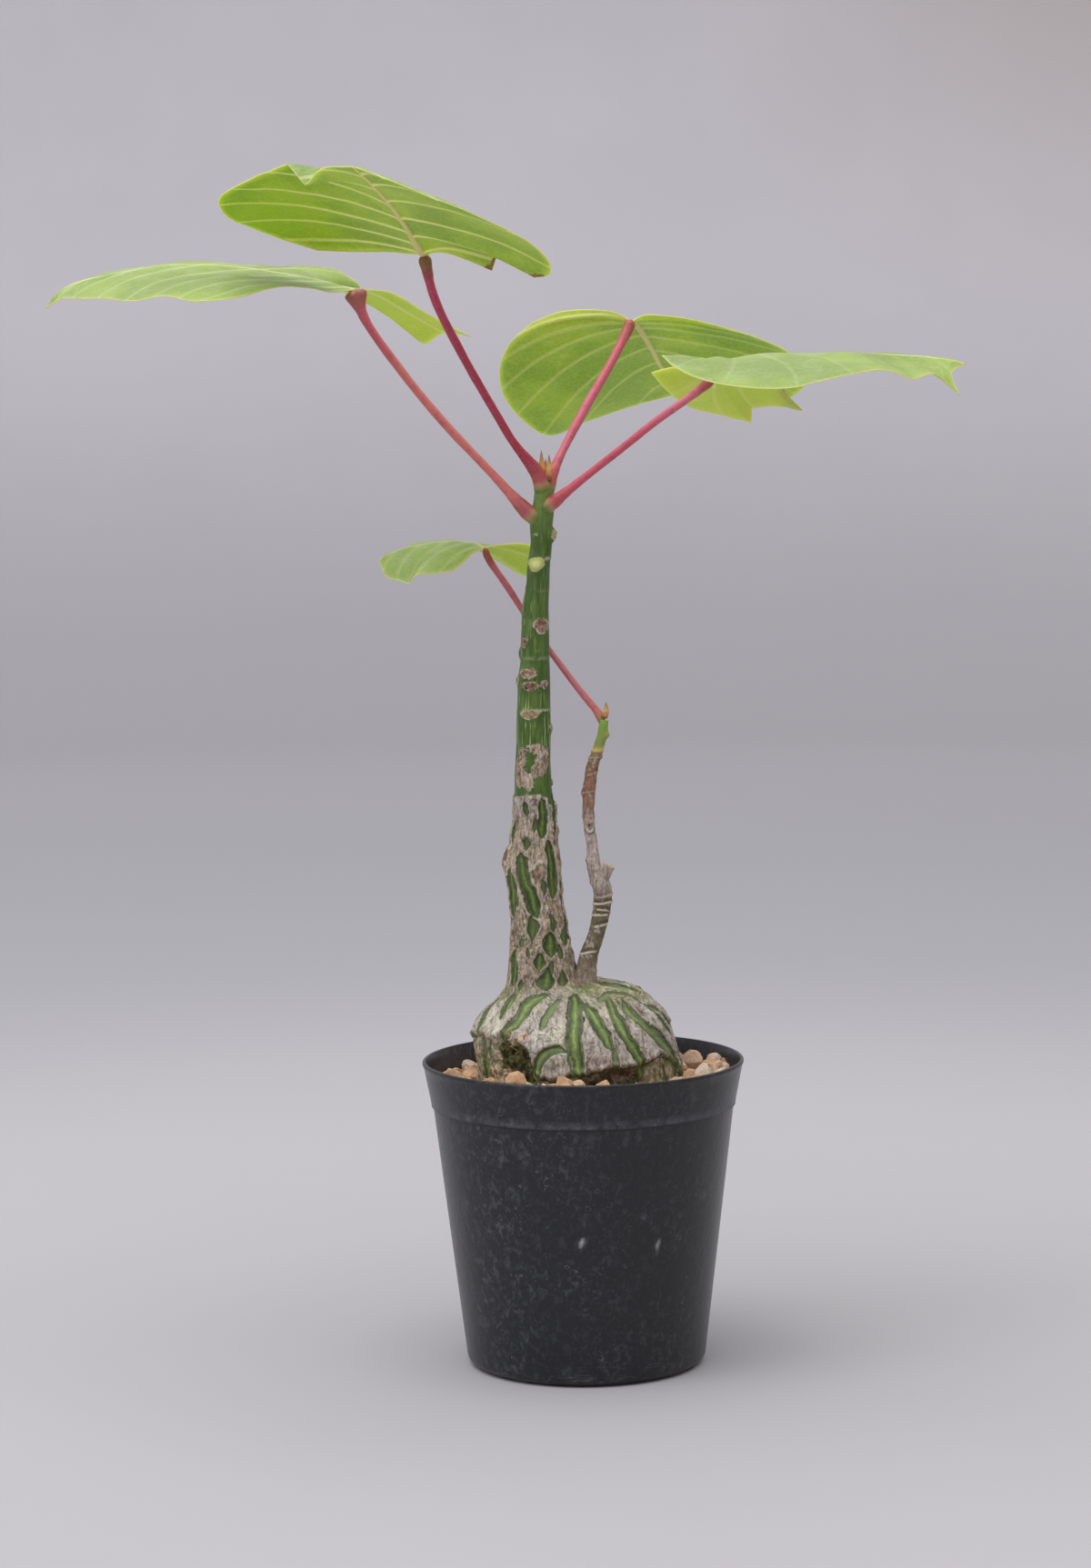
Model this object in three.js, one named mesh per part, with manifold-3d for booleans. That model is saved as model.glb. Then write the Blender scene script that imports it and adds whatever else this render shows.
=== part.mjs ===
// A potted shaving brush tree: a swollen striped caudex with one green trunk, a thin side shoot,
// five broad leaves on red stalks, and a plain tapered nursery pot with soil and grit.
// Millimetres, +Z up, the origin is the middle of the pot's flat base, and -Y is the front.
import * as THREE from "three";
import { mergeVertices } from "three/addons/utils/BufferGeometryUtils.js";
import Module from "manifold-3d";

const wasm = await Module();
wasm.setup();

// Driving dimensions of the pot
const POT_HEIGHT = 95;
const RIM_RADIUS = 50;
const BASE_RADIUS = 37.3;
const BASE_CORNER = 3.3;
const BAND_HEIGHT = 13.6;
const BAND_RADIUS = 47.3;
const BAND_STEP = 0.3;
const WALL = 1.1;
const FLOOR = 1.6;
const DRAIN_HOLES = 8;
const DRAIN_RADIUS = 2.6;
const DRAIN_CIRCLE = 27;
const DRAIN_SIDES = 10;
const LIP = 0.8;
const POT_SIDES = 40;

// Driving dimensions of the soil and the grit on it
const SOIL_TOP = 84;
const GRIT_TOP = 88;
const GRAINS = 50;
const GRAIN_SMALL = 3;
const GRAIN_LARGE = 4.6;
const GRAIN_SINK = 1.8;
const GOLDEN_SHARE = 0.381966;
const GRIT_INSIDE = 33.5;
const GRIT_OUTSIDE = 46.6;
const FILL_SIDES = 40;
const GAP = 0.3;
// Where the grit lies higher: azimuth in degrees from +X, how much higher, and how narrow the pile is
const PILES = [[-8, 2.6, 6], [200, 1.2, 8]];

// The caudex: the height of each ring, its radius and the x of its middle
const CAUDEX_RINGS = [
  [58, 4, 0], [66, 17, 0], [76, 28.5, 0], [84, 31.6, -0.2], [89, 31.9, -0.6], [93, 31.9, -0.9],
  [97, 31.6, -1.6], [101, 31.2, -2.2], [105, 30.1, -2.4], [109, 27.8, -2.3], [112.5, 24.5, -2.3],
  [115.5, 21, -2.6], [117.6, 15.5, -2.9], [119, 8, -3.4],
];
const CAUDEX_Y = 0.5;
const CAUDEX_DEPTH = 0.96;
const CAUDEX_SIDES = 52;
const SKIN_RADIUS = 30;

// Stripes of green skin between the corky plates: half the width in millimetres, then the places that
// the stripe runs through from the crown down, as azimuth in degrees from the front (right positive) and
// height. More follow by the same rule round the back.
const STRIPES = [
  [1.7, [-82, 111], [-69, 104], [-68, 90]],
  [1.5, [-95, 117.5], [-62, 111]],
  [2.6, [-40, 118], [-39, 112], [-48, 105]],
  [1.3, [-14, 115], [-21, 110.5]],
  [2.2, [3, 117], [-1, 108], [0, 94]],
  [1.4, [-10, 102.5], [-21, 98.5], [-26, 92]],
  [1.7, [12, 114.5], [18, 108.5], [22, 102.5], [20, 92]],
  [1.9, [30, 115.5], [30, 111], [33, 104.5], [38, 100], [38, 91]],
  [1.8, [45, 114], [51, 108], [60, 102], [64, 91]],
  [1.5, [62, 114.5], [70, 108.5], [85, 103]],
];
const STRIPE_DEPTH = 0.55;
const BACK_STRIPES = 11;
const BACK_FROM = 104;
const BACK_TO = 262;

// Where the skin has sunk in: azimuth, height, half width, half height and depth. The first is the dark
// hollow beside the left root, and the rest are the worn foot below the ragged edge of the front plates.
const HOLLOWS = [
  [-36, 96, 5.5, 8.5, 3.2], [8, 90, 6.5, 3, 1.3], [25, 91, 8.5, 3.6, 1.7], [46, 93, 6, 4, 1.5],
];

// The trunk: x and y of its middle, its height and its radius
const TRUNK = [
  [-11.5, 0, 108, 14.5], [-11.8, 0, 116, 12.2], [-12, 0, 121, 10.7], [-12.4, 0, 127, 9.7],
  [-13, 0, 136, 8.5], [-14.2, 0.2, 146, 8.1], [-14.8, 0.2, 155, 8.3], [-14.4, 0.2, 163, 7.1],
  [-14, 0, 172, 6.1], [-14.4, 0, 182, 5.6], [-14.1, 0, 195, 5.3], [-13.7, 0, 211, 5.1],
  [-13.2, 0, 220, 4.5], [-13, 0, 233, 4.1], [-11.9, 0, 245, 3.6], [-10.7, 0, 257, 3.3],
  [-10.2, 0, 266, 3.1], [-10, 0, 273, 2.9], [-9.9, 0, 276.5, 2.4],
];
const TRUNK_SIDES = 16;
const TRUNK_STEPS = 44;
// Swollen leaf scars: height, azimuth in degrees from the front, how far each stands proud, its radius
const SCARS = [
  [247, -8, 1.1, 2.6], [258, 75, 1.2, 1.6], [228, 10, 0.7, 2.2], [212.5, -55, 0.8, 2.4],
  [201, -60, 0.7, 2.2], [186, 12, 0.5, 3.4], [158, -80, 1.1, 3.4], [221, -120, 0.8, 2.2],
  [207, 150, 0.8, 2.4], [236, 170, 0.9, 2.2], [177, -150, 0.8, 2.8], [166, 120, 0.9, 3],
];

// The side shoot, as the trunk
const SHOOT = [
  [-1.5, -4, 112, 4.6], [0.2, -4, 118, 3.7], [1.6, -4, 123.5, 3], [3.5, -3.6, 130.5, 2.9],
  [5.4, -3, 137.5, 2.8], [6.5, -2.4, 144, 3.2], [6.3, -1.8, 149.5, 3], [5.2, -1.2, 152.5, 2.4],
  [4, -0.8, 156.5, 1.9], [3.4, 0, 163, 1.5], [2.7, 1, 171, 1.7], [2.9, 2, 180, 1.9],
  [4.3, 3, 188, 1.9], [5.6, 3.4, 191.5, 1.8], [7, 3.8, 196, 1.6], [7.6, 4, 200, 1.5],
];
const SHOOT_SIDES = 10;
const SHOOT_STEPS = 26;
const STUB = [[4.8, -0.8, 150], [7.6, -1.4, 152.6], [9.4, -1.8, 154.2]];
const STUB_RADII = [2, 1.6, 1.3];

// Leaf stalks: the points that each follows from the stem to its blade, and its radii there
const STALKS = {
  a: {
    path: [
      [-10.4, -1.2, 272.5], [-12, -2.5, 278.2], [-22.8, -9, 293.3], [-32.8, -16.3, 311.1],
      [-41.4, -23.6, 329.5],
    ],
    radii: [2.3, 1.9, 1.5, 1.4, 1.45, 1.8, 1.9],
  },
  b: {
    path: [
      [-11.2, -0.5, 261.5], [-15, -0.5, 264.5], [-25.1, -0.1, 275.8], [-40.6, 0.6, 292.6],
      [-53.3, 1.2, 308.5], [-63.8, 1.8, 324.3],
    ],
    radii: [2.7, 2.5, 1.8, 1.6, 1.65, 2, 2.4],
  },
  c: {
    path: [[-9.2, 1.2, 273], [-7.2, 3, 277.1], [2.9, 13.4, 296.2], [10.1, 20.5, 309.1], [16.2, 26.4, 320]],
    radii: [2, 1.8, 1.5, 1.5, 1.6, 1.8],
  },
  d: {
    path: [
      [-9.6, 0, 265.2], [-6.2, -0.6, 267.4], [3.2, -3.8, 275], [14.4, -7.6, 283.1],
      [25.4, -11.6, 291.9], [36.4, -15.5, 299.9],
    ],
    radii: [2.3, 2, 1.55, 1.5, 1.6, 1.9],
  },
  e: {
    path: [
      [7.4, 4.4, 199.6], [6.6, 4.7, 202], [-0.3, 6.1, 211.1], [-12.5, 8.6, 228],
      [-20.4, 10.5, 240.7], [-27, 12, 250.6],
    ],
    radii: [1.7, 1.35, 0.85, 0.8, 0.85, 0.9, 1.1],
  },
};
const STALK_SIDES = 8;
const STALK_STEPS = 12;

// Leaf blades. The seat is the end of the stalk, and every other point is measured from it. The midrib
// runs from the seat to the tip. On each side the base margin leaves the seat and reaches the first of
// the vein ends, which go round the margin to the tip. Teeth are the vein ends where it turns sharply.
// Crowding above 1 sets the veins' starts closer together near the seat, sweep leans them forward, and
// arch lifts them off a straight line, both as shares of the vein's length.
const BLADES = {
  a: {
    seat: [-44.5, -26, 342], crowding: 1.25,
    midrib: [[-3.5, -16, 6], [-7.5, -32, 12], [-12.5, -52, 18], [-16.5, -68, 21.5]],
    left: {
      sweep: 0.12, arch: 0.07, base: [[5.5, -3, 0.5], [12.5, -10, -2]],
      ends: [[20.5, -15, -5.5], [22.5, -17, -3.5], [32.5, -23, -8.5], [37.5, -27, -7.5], [37.5, -36, -4],
        [31, -48, 1.5], [19, -61, 7], [6.5, -69, 11.5], [-6, -72, 17]],
      teeth: [1, 2],
    },
    right: {
      sweep: 0.1, arch: 0.07, base: [[-10, 6, 1], [-20, 13, 1.5]],
      ends: [[-33, 18, 2.5], [-49, 23, 8], [-59.5, 18, 12.5], [-61.5, 8, 17], [-56, -6, 20],
        [-45.5, -22, 23], [-37.5, -34, 24.5], [-32, -41, 18], [-26.5, -51, 22]],
      teeth: [6, 7],
    },
  },
  b: {
    seat: [-67, 2, 333], crowding: 1.6,
    midrib: [[-5, 3, 3], [-19, 6, 5.5], [-36.5, 6, 7.5], [-53, 3, 8], [-72, -1, 5.5], [-87.5, -4, 1.5],
      [-93.5, -6, -4.5]],
    left: {
      sweep: 0.16, arch: 0.05, base: [[-6, -11, -1], [-14.5, -26, 0], [-22.5, -38, -1], [-30, -46, -3.5]],
      ends: [[-37, -50, -4.5], [-45, -50, -4.5], [-53, -47, -3], [-62, -41, -4], [-71.5, -31, -3],
        [-80, -20, -2.5], [-88, -10, -2]],
      teeth: [6],
    },
    right: {
      sweep: 0.1, arch: 0.04, base: [[10.5, 12, -0.5], [22, 25, -7]],
      ends: [[34.5, 40, -13.5], [26.5, 43, -12], [19.5, 48, -15.5], [10.5, 50, -7], [1, 48, -1.5],
        [-1.5, 45, 3.5], [-7.5, 42, 8], [-11.5, 42, 6], [-28.5, 44, 8.5], [-48, 40, 10],
        [-69.5, 26, 7], [-83, 10, 3]],
      teeth: [2, 6],
    },
  },
  c: {
    seat: [18, 28, 323.5], crowding: 2.2,
    midrib: [[2, 5, -1.5], [6.5, 22, -8], [11, 40, -15], [22, 64, -21.5]],
    left: {
      sweep: -0.22, arch: 0.06, base: [[-5.5, 0, 2.5], [-14, 3, 3.5], [-22.5, 7, 3]],
      ends: [[-31, 12, 0], [-38.5, 18, -6.5], [-42, 27, -15], [-40.5, 36, -23.5], [-34.5, 46, -31],
        [-26.5, 54, -35.5], [-14.5, 59, -31.5], [2.5, 64, -26]],
      teeth: [],
    },
    right: {
      sweep: -0.05, arch: 0.05, base: [[4.5, -1, 1.5], [14.5, 0, 0.5]],
      ends: [[27, 3, -2], [38.5, 9, -5.5], [48, 18, -9.5], [54.5, 29, -14.5], [56, 40, -21], [50, 50, -26],
        [36.5, 60, -25.5]],
      teeth: [5],
    },
  },
  d: {
    seat: [41.5, -18, 304], crowding: 1.55,
    midrib: [[3, 1, 4.5], [11.5, 3, 7], [26.5, 6, 7.5], [49, 9, 7], [65.5, 10, 6], [77, 10, 3.5]],
    left: {
      sweep: 0.08, arch: 0.05, base: [[-5, 8, 3.5], [-11, 16, 4]],
      ends: [[-18, 22, 2.5], [-14, 28, -2], [-7, 36, -7.5], [4, 44, -10.5], [13.5, 52, -12.5],
        [14, 49, -8.5], [21.5, 53, -8], [31.5, 58, -9.5], [26.5, 54, -5.5], [31.5, 52, 2],
        [49, 46, 5.5], [67, 26, 5]],
      teeth: [4, 5, 7],
    },
    right: {
      sweep: 0.1, arch: 0.05, base: [[-1, -9, 4.5], [-8, -22, 6.5]],
      ends: [[-16, -34, 6.5], [-12.5, -43, 3], [-5.5, -52, -1], [7.5, -57, -4], [21, -57, -4.5],
        [32.5, -52, -2], [40, -46, 0], [49, -37, 1.5], [58, -26, -1], [66, -14, 0.5], [74, -2, -5.5],
        [72.5, 5, 1]],
      teeth: [6, 8, 10],
    },
  },
  e: {
    seat: [-28.5, 12, 253.5], crowding: 1.55,
    midrib: [[-3, 1, 1.5], [-9.5, 2, 2], [-19.5, 2, 1], [-27.5, -1, -1], [-32.5, -4, -3.5]],
    left: {
      sweep: 0.14, arch: 0.05, base: [[-3.5, -10, -1.5], [-6, -15, -4]],
      ends: [[-9.5, -20, -6.5], [-16, -25, -7], [-20.5, -27, -7.5], [-22.5, -26, -10], [-25.5, -22, -9],
        [-30, -15, -8]],
      teeth: [3],
    },
    right: {
      sweep: 0.1, arch: 0.05, base: [[4, 4, 0.5], [10.5, 8, 1]],
      ends: [[16, 13, 0], [17, 22, -6], [12.5, 28, -10], [6, 30, -7], [-0.5, 28, -2], [-8.5, 25, 0.5],
        [-20, 18, 0], [-29.5, 6, -2.5]],
      teeth: [],
    },
  },
};
const BLADE_THICKNESS = 0.7;
const BLADE_ROWS = 24;
const BLADE_COLUMNS = [0, 0.05, 0.25, 0.5, 0.76, 1];
const RIB_DEPTH = 0.9;
const RIB_TAPER = 0.75;
const QUILT = 0.45;
const BASE_REACH = 0.3;

// Buds: points of each scale's middle and its thickest radius
const TIP_BUD = [
  [[-9.9, -0.2, 277.2], [-10.6, -0.8, 280], [-10.9, -1, 284.4]],
  [[-9.6, 0, 277.2], [-8.8, -0.6, 279.6], [-8.6, -1, 283.2]],
  [[-9.9, 0.3, 277.2], [-10, 0.9, 279.2], [-10.4, 1.2, 281.4]],
];
const SHOOT_BUD = [
  [[7.8, 4, 200.7], [8.5, 4.1, 202.6], [8.5, 4.2, 205.6]],
];
const SCALE_RADIUS = 1;
const SCALE_BULGE = 0.25;

const SEED = 20417;

const material = (color, roughness) => new THREE.MeshStandardMaterial({ color, roughness, metalness: 0 });
const FINISH = {
  pot: material(0x24272b, 0.62),
  soil: material(0x3a2a1f, 0.95),
  grit: material(0xc19a78, 0.9),
  bark: material(0x8b857a, 0.85),
  shoot: material(0x8a7d6e, 0.85),
  stalk: material(0xa03c4c, 0.5),
  blade: material(0x86ad45, 0.55),
  bud: material(0xb08a5a, 0.7),
};

const vector = ([x, y, z]) => new THREE.Vector3(x, y, z);
const radians = THREE.MathUtils.degToRad;

// Random numbers from 0 to 1 that are the same on each run, by a linear congruence
const MULTIPLIER = 1664525;
const INCREMENT = 1013904223;
function randomStream(seed) {
  let state = seed;
  return () => {
    state = (state * MULTIPLIER + INCREMENT) % 2 ** 32;
    return state / 2 ** 32;
  };
}

// A closed mesh as a solid for joining and cutting
function toSolid(geometry) {
  const bare = geometry.clone();
  bare.deleteAttribute("normal");
  bare.deleteAttribute("uv");
  const merged = mergeVertices(bare, 1e-4);
  return new wasm.Manifold(new wasm.Mesh({
    numProp: 3,
    vertProperties: new Float32Array(merged.attributes.position.array),
    triVerts: new Uint32Array(merged.index.array),
  }));
}

// A solid back as a mesh geometry
function toGeometry(solid) {
  const mesh = solid.getMesh();
  const geometry = new THREE.BufferGeometry();
  const points = new Float32Array(mesh.vertProperties);
  geometry.setAttribute("position", new THREE.BufferAttribute(points, mesh.numProp));
  geometry.setIndex(new THREE.BufferAttribute(new Uint32Array(mesh.triVerts), 1));
  const flat = geometry.toNonIndexed();
  flat.computeVertexNormals();
  return flat;
}

const largest = (solid) => solid.decompose().reduce((a, b) => (b.volume() > a.volume() ? b : a));

// A closed skin over rings of equally many points, with a middle point closing each end
function ringSolid(rings) {
  const sides = rings[0].length;
  const points = rings.flat();
  const triangles = [];
  for (let i = 0; i + 1 < rings.length; i++) {
    for (let j = 0; j < sides; j++) {
      const k = (j + 1) % sides;
      const [a, b, c, d] = [i * sides + j, i * sides + k, (i + 1) * sides + k, (i + 1) * sides + j];
      triangles.push(a, b, c, a, c, d);
    }
  }
  const middle = (ring) => ring.reduce((sum, p) => sum.add(p), new THREE.Vector3()).divideScalar(sides);
  const bottom = points.push(middle(rings[0])) - 1;
  const top = points.push(middle(rings.at(-1))) - 1;
  const last = (rings.length - 1) * sides;
  for (let j = 0; j < sides; j++) {
    const k = (j + 1) % sides;
    triangles.push(bottom, k, j, top, last + j, last + k);
  }
  const geometry = new THREE.BufferGeometry().setFromPoints(points);
  geometry.setIndex(triangles);
  return toSolid(geometry);
}

// A tapered round stem along a smooth curve, with radiusAt(share of its length) as its radius
function stem(curve, steps, sides, radiusAt) {
  const frames = curve.computeFrenetFrames(steps, false);
  const rings = [];
  for (let i = 0; i <= steps; i++) {
    const centre = curve.getPointAt(i / steps);
    const radius = radiusAt(i / steps);
    const ring = [];
    for (let j = 0; j < sides; j++) {
      const angle = (2 * Math.PI * j) / sides;
      ring.push(centre.clone()
        .addScaledVector(frames.normals[i], radius * Math.cos(angle))
        .addScaledVector(frames.binormals[i], radius * Math.sin(angle)));
    }
    rings.push(ring);
  }
  return ringSolid(rings);
}

// A value read smoothly from a list of equally spaced ones
function smoothValue(list, t) {
  const place = t * (list.length - 1);
  const i = Math.min(Math.floor(place), list.length - 2);
  return THREE.MathUtils.lerp(list[i], list[i + 1], THREE.MathUtils.smoothstep(place - i, 0, 1));
}

// The turn from one azimuth to another in degrees, from -180 to 180
const turnBetween = (from, to) => THREE.MathUtils.euclideanModulo(to - from + 180, 360) - 180;

// The pot: one turned wall with a floor, a band below the rim and drain holes in the floor
function pot() {
  const inner = (radius) => radius - WALL;
  const bandBottom = POT_HEIGHT - BAND_HEIGHT;
  const outline = [[0, 0], [BASE_RADIUS - BASE_CORNER, 0]];
  for (const angle of [30, 60, 90]) {
    outline.push([
      BASE_RADIUS - BASE_CORNER + BASE_CORNER * Math.sin(radians(angle)),
      BASE_CORNER - BASE_CORNER * Math.cos(radians(angle)),
    ]);
  }
  outline.push(
    [BAND_RADIUS - BAND_STEP, bandBottom - BAND_STEP], [BAND_RADIUS, bandBottom],
    [RIM_RADIUS - LIP / 2, POT_HEIGHT - 2 * LIP], [RIM_RADIUS, POT_HEIGHT - LIP],
    [RIM_RADIUS - LIP / 2, POT_HEIGHT],
    [inner(RIM_RADIUS), POT_HEIGHT], [inner(BAND_RADIUS - BAND_STEP), bandBottom],
    [inner(BASE_RADIUS), BASE_CORNER + FLOOR], [inner(BASE_RADIUS) - BASE_CORNER, FLOOR], [0, FLOOR],
  );
  const profile = outline.map(([x, y]) => new THREE.Vector2(x, y));
  const turned = new THREE.LatheGeometry(profile, POT_SIDES);
  turned.rotateX(Math.PI / 2);
  let solid = toSolid(turned);
  for (let i = 0; i < DRAIN_HOLES; i++) {
    const angle = (2 * Math.PI * (i + 0.5)) / DRAIN_HOLES;
    const drill = new THREE.CylinderGeometry(DRAIN_RADIUS, DRAIN_RADIUS, 6 * FLOOR, DRAIN_SIDES);
    drill.rotateX(Math.PI / 2);
    drill.translate(DRAIN_CIRCLE * Math.cos(angle), DRAIN_CIRCLE * Math.sin(angle), 0);
    solid = solid.subtract(toSolid(drill));
  }
  return solid;
}

// The pot's inner radius at a height, less the gap that the filling keeps to the wall
function fillRadius(height) {
  const bandBottom = POT_HEIGHT - BAND_HEIGHT;
  const low = BASE_RADIUS - WALL;
  const high = BAND_RADIUS - BAND_STEP - WALL;
  const slope = height > bandBottom
    ? high + ((RIM_RADIUS - WALL - high) * (height - bandBottom)) / BAND_HEIGHT
    : low + ((high - low) * (height - BASE_CORNER - FLOOR)) / (bandBottom - BASE_CORNER - FLOOR);
  return slope - GAP;
}

// The stripes in view, and more of them round the back
const stripeRandom = randomStream(SEED);
const ALL_STRIPES = [...STRIPES];
for (let i = 0; i < BACK_STRIPES; i++) {
  const start = BACK_FROM + ((BACK_TO - BACK_FROM) * i) / (BACK_STRIPES - 1);
  const sway = 10 * (stripeRandom() - 0.5);
  const foot = 89 + 6 * stripeRandom();
  ALL_STRIPES.push([1.8, [start, 117], [start + sway, foot]]);
}

// The azimuth of a stripe's middle at a height, or nothing above and below the stripe
function stripeAzimuth(route, height) {
  const i = route.findIndex(([, z], k) => k > 0 && height >= z && height <= route[k - 1][1]);
  if (i < 0) return undefined;
  const [[fromAzimuth, fromZ], [toAzimuth, toZ]] = [route[i - 1], route[i]];
  return THREE.MathUtils.mapLinear(height, fromZ, toZ, fromAzimuth, toAzimuth);
}

// How far the caudex's skin lies below its smooth form: in the green stripes and in the hollows
function sunk(azimuth, height) {
  const across = (middle) => Math.abs(radians(turnBetween(middle, azimuth))) * SKIN_RADIUS;
  let stripe = 0;
  for (const [half, ...route] of ALL_STRIPES) {
    const middle = stripeAzimuth(route, height);
    if (middle === undefined) continue;
    stripe = Math.max(stripe, THREE.MathUtils.clamp(1.6 - across(middle) / half, 0, 1));
  }
  const hollows = HOLLOWS.map(([middle, z, halfWidth, halfHeight, depth]) => {
    const apart = Math.hypot(across(middle) / halfWidth, (height - z) / halfHeight);
    return depth * Math.exp(-(apart ** 4));
  });
  return STRIPE_DEPTH * stripe + hollows.reduce((sum, depth) => sum + depth, 0);
}

// The caudex as rings, grown by the gap where it cuts its hole in the soil and the grit
function caudex(grown = 0) {
  const rings = CAUDEX_RINGS.map(([height, radius, middleX]) => {
    const ring = [];
    for (let j = 0; j < CAUDEX_SIDES; j++) {
      const angle = (2 * Math.PI * j) / CAUDEX_SIDES;
      const lobes = 1 + 0.018 * Math.sin(3 * angle + 0.6) + 0.014 * Math.sin(7 * angle + height * 0.12);
      const reach = radius * lobes + grown - sunk(THREE.MathUtils.radToDeg(angle), height);
      ring.push(new THREE.Vector3(
        middleX + reach * Math.sin(angle), CAUDEX_Y - reach * CAUDEX_DEPTH * Math.cos(angle), height,
      ));
    }
    return ring;
  });
  if (grown > 0) rings[0].forEach((point) => point.setZ(point.z - grown));
  return ringSolid(rings);
}

// The trunk from inside the caudex to its tip, with its leaf scars standing proud
function trunk(grown = 0) {
  const heights = TRUNK.map((row) => row[2]);
  const rings = [];
  for (let i = 0; i <= TRUNK_STEPS; i++) {
    const height = THREE.MathUtils.lerp(heights[0], heights.at(-1), i / TRUNK_STEPS);
    const span = Math.min(heights.findLastIndex((z) => z <= height), TRUNK.length - 2);
    const share = THREE.MathUtils.smoothstep(height, heights[span], heights[span + 1]);
    const above = TRUNK[span + 1];
    const [x, y, , radius] = TRUNK[span].map((value, k) => THREE.MathUtils.lerp(value, above[k], share));
    const ring = [];
    for (let j = 0; j < TRUNK_SIDES; j++) {
      const angle = (2 * Math.PI * j) / TRUNK_SIDES;
      let reach = radius + grown;
      for (const [scarZ, scarAzimuth, proud, size] of SCARS) {
        const across = radians(turnBetween(scarAzimuth, THREE.MathUtils.radToDeg(angle))) * radius;
        const apart = Math.hypot(height - scarZ, across) / size;
        reach += proud * Math.exp(-(apart ** 2));
      }
      ring.push(new THREE.Vector3(x + reach * Math.sin(angle), y - reach * Math.cos(angle), height));
    }
    rings.push(ring);
  }
  return ringSolid(rings);
}

// The side shoot with the stub of a cut twig on it
function sideShoot(grown = 0) {
  const curve = new THREE.CatmullRomCurve3(SHOOT.map(vector), false, "centripetal");
  const lengths = curve.getLengths(SHOOT.length - 1);
  const radiusAt = (t) => {
    const reached = t * lengths.at(-1);
    const passed = lengths.findLastIndex((length) => length <= reached);
    const i = THREE.MathUtils.clamp(passed, 0, SHOOT.length - 2);
    const [near, far] = [SHOOT[i][3], SHOOT[i + 1][3]];
    return THREE.MathUtils.mapLinear(reached, lengths[i], lengths[i + 1], near, far) + grown;
  };
  const twig = new THREE.CatmullRomCurve3(STUB.map(vector));
  const stub = stem(twig, STUB.length + 1, 8, (t) => smoothValue(STUB_RADII, t) + grown);
  return stem(curve, SHOOT_STEPS, SHOOT_SIDES, radiusAt).add(stub);
}

// A bud: pointed scales joined at their foot
function bud(scales, grown = 0) {
  const radiusAt = (t) => SCALE_RADIUS * Math.max(1 - t, 0.12) + SCALE_BULGE * Math.sin(Math.PI * t) + grown;
  return scales
    .map((points) => stem(new THREE.CatmullRomCurve3(points.map(vector)), 5, 7, radiusAt))
    .reduce((a, b) => a.add(b));
}

// A side vein as a curve: it leaves the midrib at a share of its length and bends on its way to an end
function sideVein(rib, along, end, { sweep, arch }) {
  const start = rib.getPointAt(along);
  const length = end.distanceTo(start);
  const bend = start.clone().lerp(end, 0.5).addScaledVector(rib.getTangentAt(along), length * sweep);
  bend.z += length * arch;
  return new THREE.QuadraticBezierCurve3(start, bend, end);
}

// The margin of one side of a blade: smooth between the teeth, with the veins' ends at whole numbers
function marginOf(points, teeth) {
  const cuts = [0, ...teeth, points.length - 1];
  const pieces = cuts.slice(1).map((end, i) =>
    new THREE.CatmullRomCurve3(points.slice(cuts[i], end + 1), false, "centripetal"));
  return (place) => {
    const i = Math.min(cuts.findLastIndex((cut) => cut <= place), pieces.length - 1);
    return pieces[i].getPoint((place - cuts[i]) / (cuts[i + 1] - cuts[i]));
  };
}

// One side of a blade's middle sheet: its rows are side veins from the midrib out to the margin, and each
// of its points has its place and how far it is puffed up between the veins
function bladeSide(data, side, rib) {
  const points = [...side.ends, data.midrib.at(-1)].map(vector);
  const spans = points.length - 1;
  const margin = marginOf(points, side.teeth);
  const baseLine = new THREE.CatmullRomCurve3(
    [new THREE.Vector3(), ...side.base.map(vector), points[0]], false, "centripetal");
  const firstVein = sideVein(rib, 0, points[0], side);
  const rows = [];
  for (let i = 0; i < BLADE_ROWS; i++) {
    const t = i / BLADE_ROWS;
    const span = Math.floor(t * spans);
    const first = Math.ceil((span * BLADE_ROWS) / spans);
    const next = Math.ceil(((span + 1) * BLADE_ROWS) / spans);
    const place = span + (i - first) / (next - first);
    const vein = sideVein(rib, t ** data.crowding, margin(place), side);
    const hold = Math.max(1 - t / BASE_REACH, 0) ** 2;
    rows.push(BLADE_COLUMNS.map((s) => {
      const shift = baseLine.getPointAt(s).sub(firstVein.getPoint(s));
      const puff = QUILT * Math.sin(Math.PI * place) ** 2 * Math.sin(Math.PI * Math.min(s * 1.2, 1));
      return { point: vein.getPoint(s).addScaledVector(shift, hold), puff };
    }));
  }
  return rows;
}

// The triangles of a blade's sheet, as rows of points with the tip closing the last row
function sheetFaces(width, apex) {
  const middle = (width - 1) / 2;
  const faces = [];
  for (let i = 0; i < BLADE_ROWS; i++) {
    for (let j = 0; j + 1 < width; j++) {
      const [a, b] = [i * width + j, i * width + j + 1];
      const [c, d] = [a + width, b + width];
      if (i + 1 === BLADE_ROWS) faces.push([a, b, apex]);
      else if (j < middle) faces.push([a, b, c], [b, d, c]);
      else faces.push([a, b, d], [a, d, c]);
    }
  }
  return faces;
}

// The sheet's edge as pairs of points, in the order that faces outwards
function sheetRim(width, apex) {
  const rim = [[apex, (BLADE_ROWS - 1) * width], [BLADE_ROWS * width - 1, apex]];
  for (let j = 0; j + 1 < width; j++) rim.push([j, j + 1]);
  for (let i = 0; i + 1 < BLADE_ROWS; i++) {
    rim.push([(i + 1) * width, i * width], [(i + 1) * width - 1, (i + 2) * width - 1]);
  }
  return rim;
}

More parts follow.
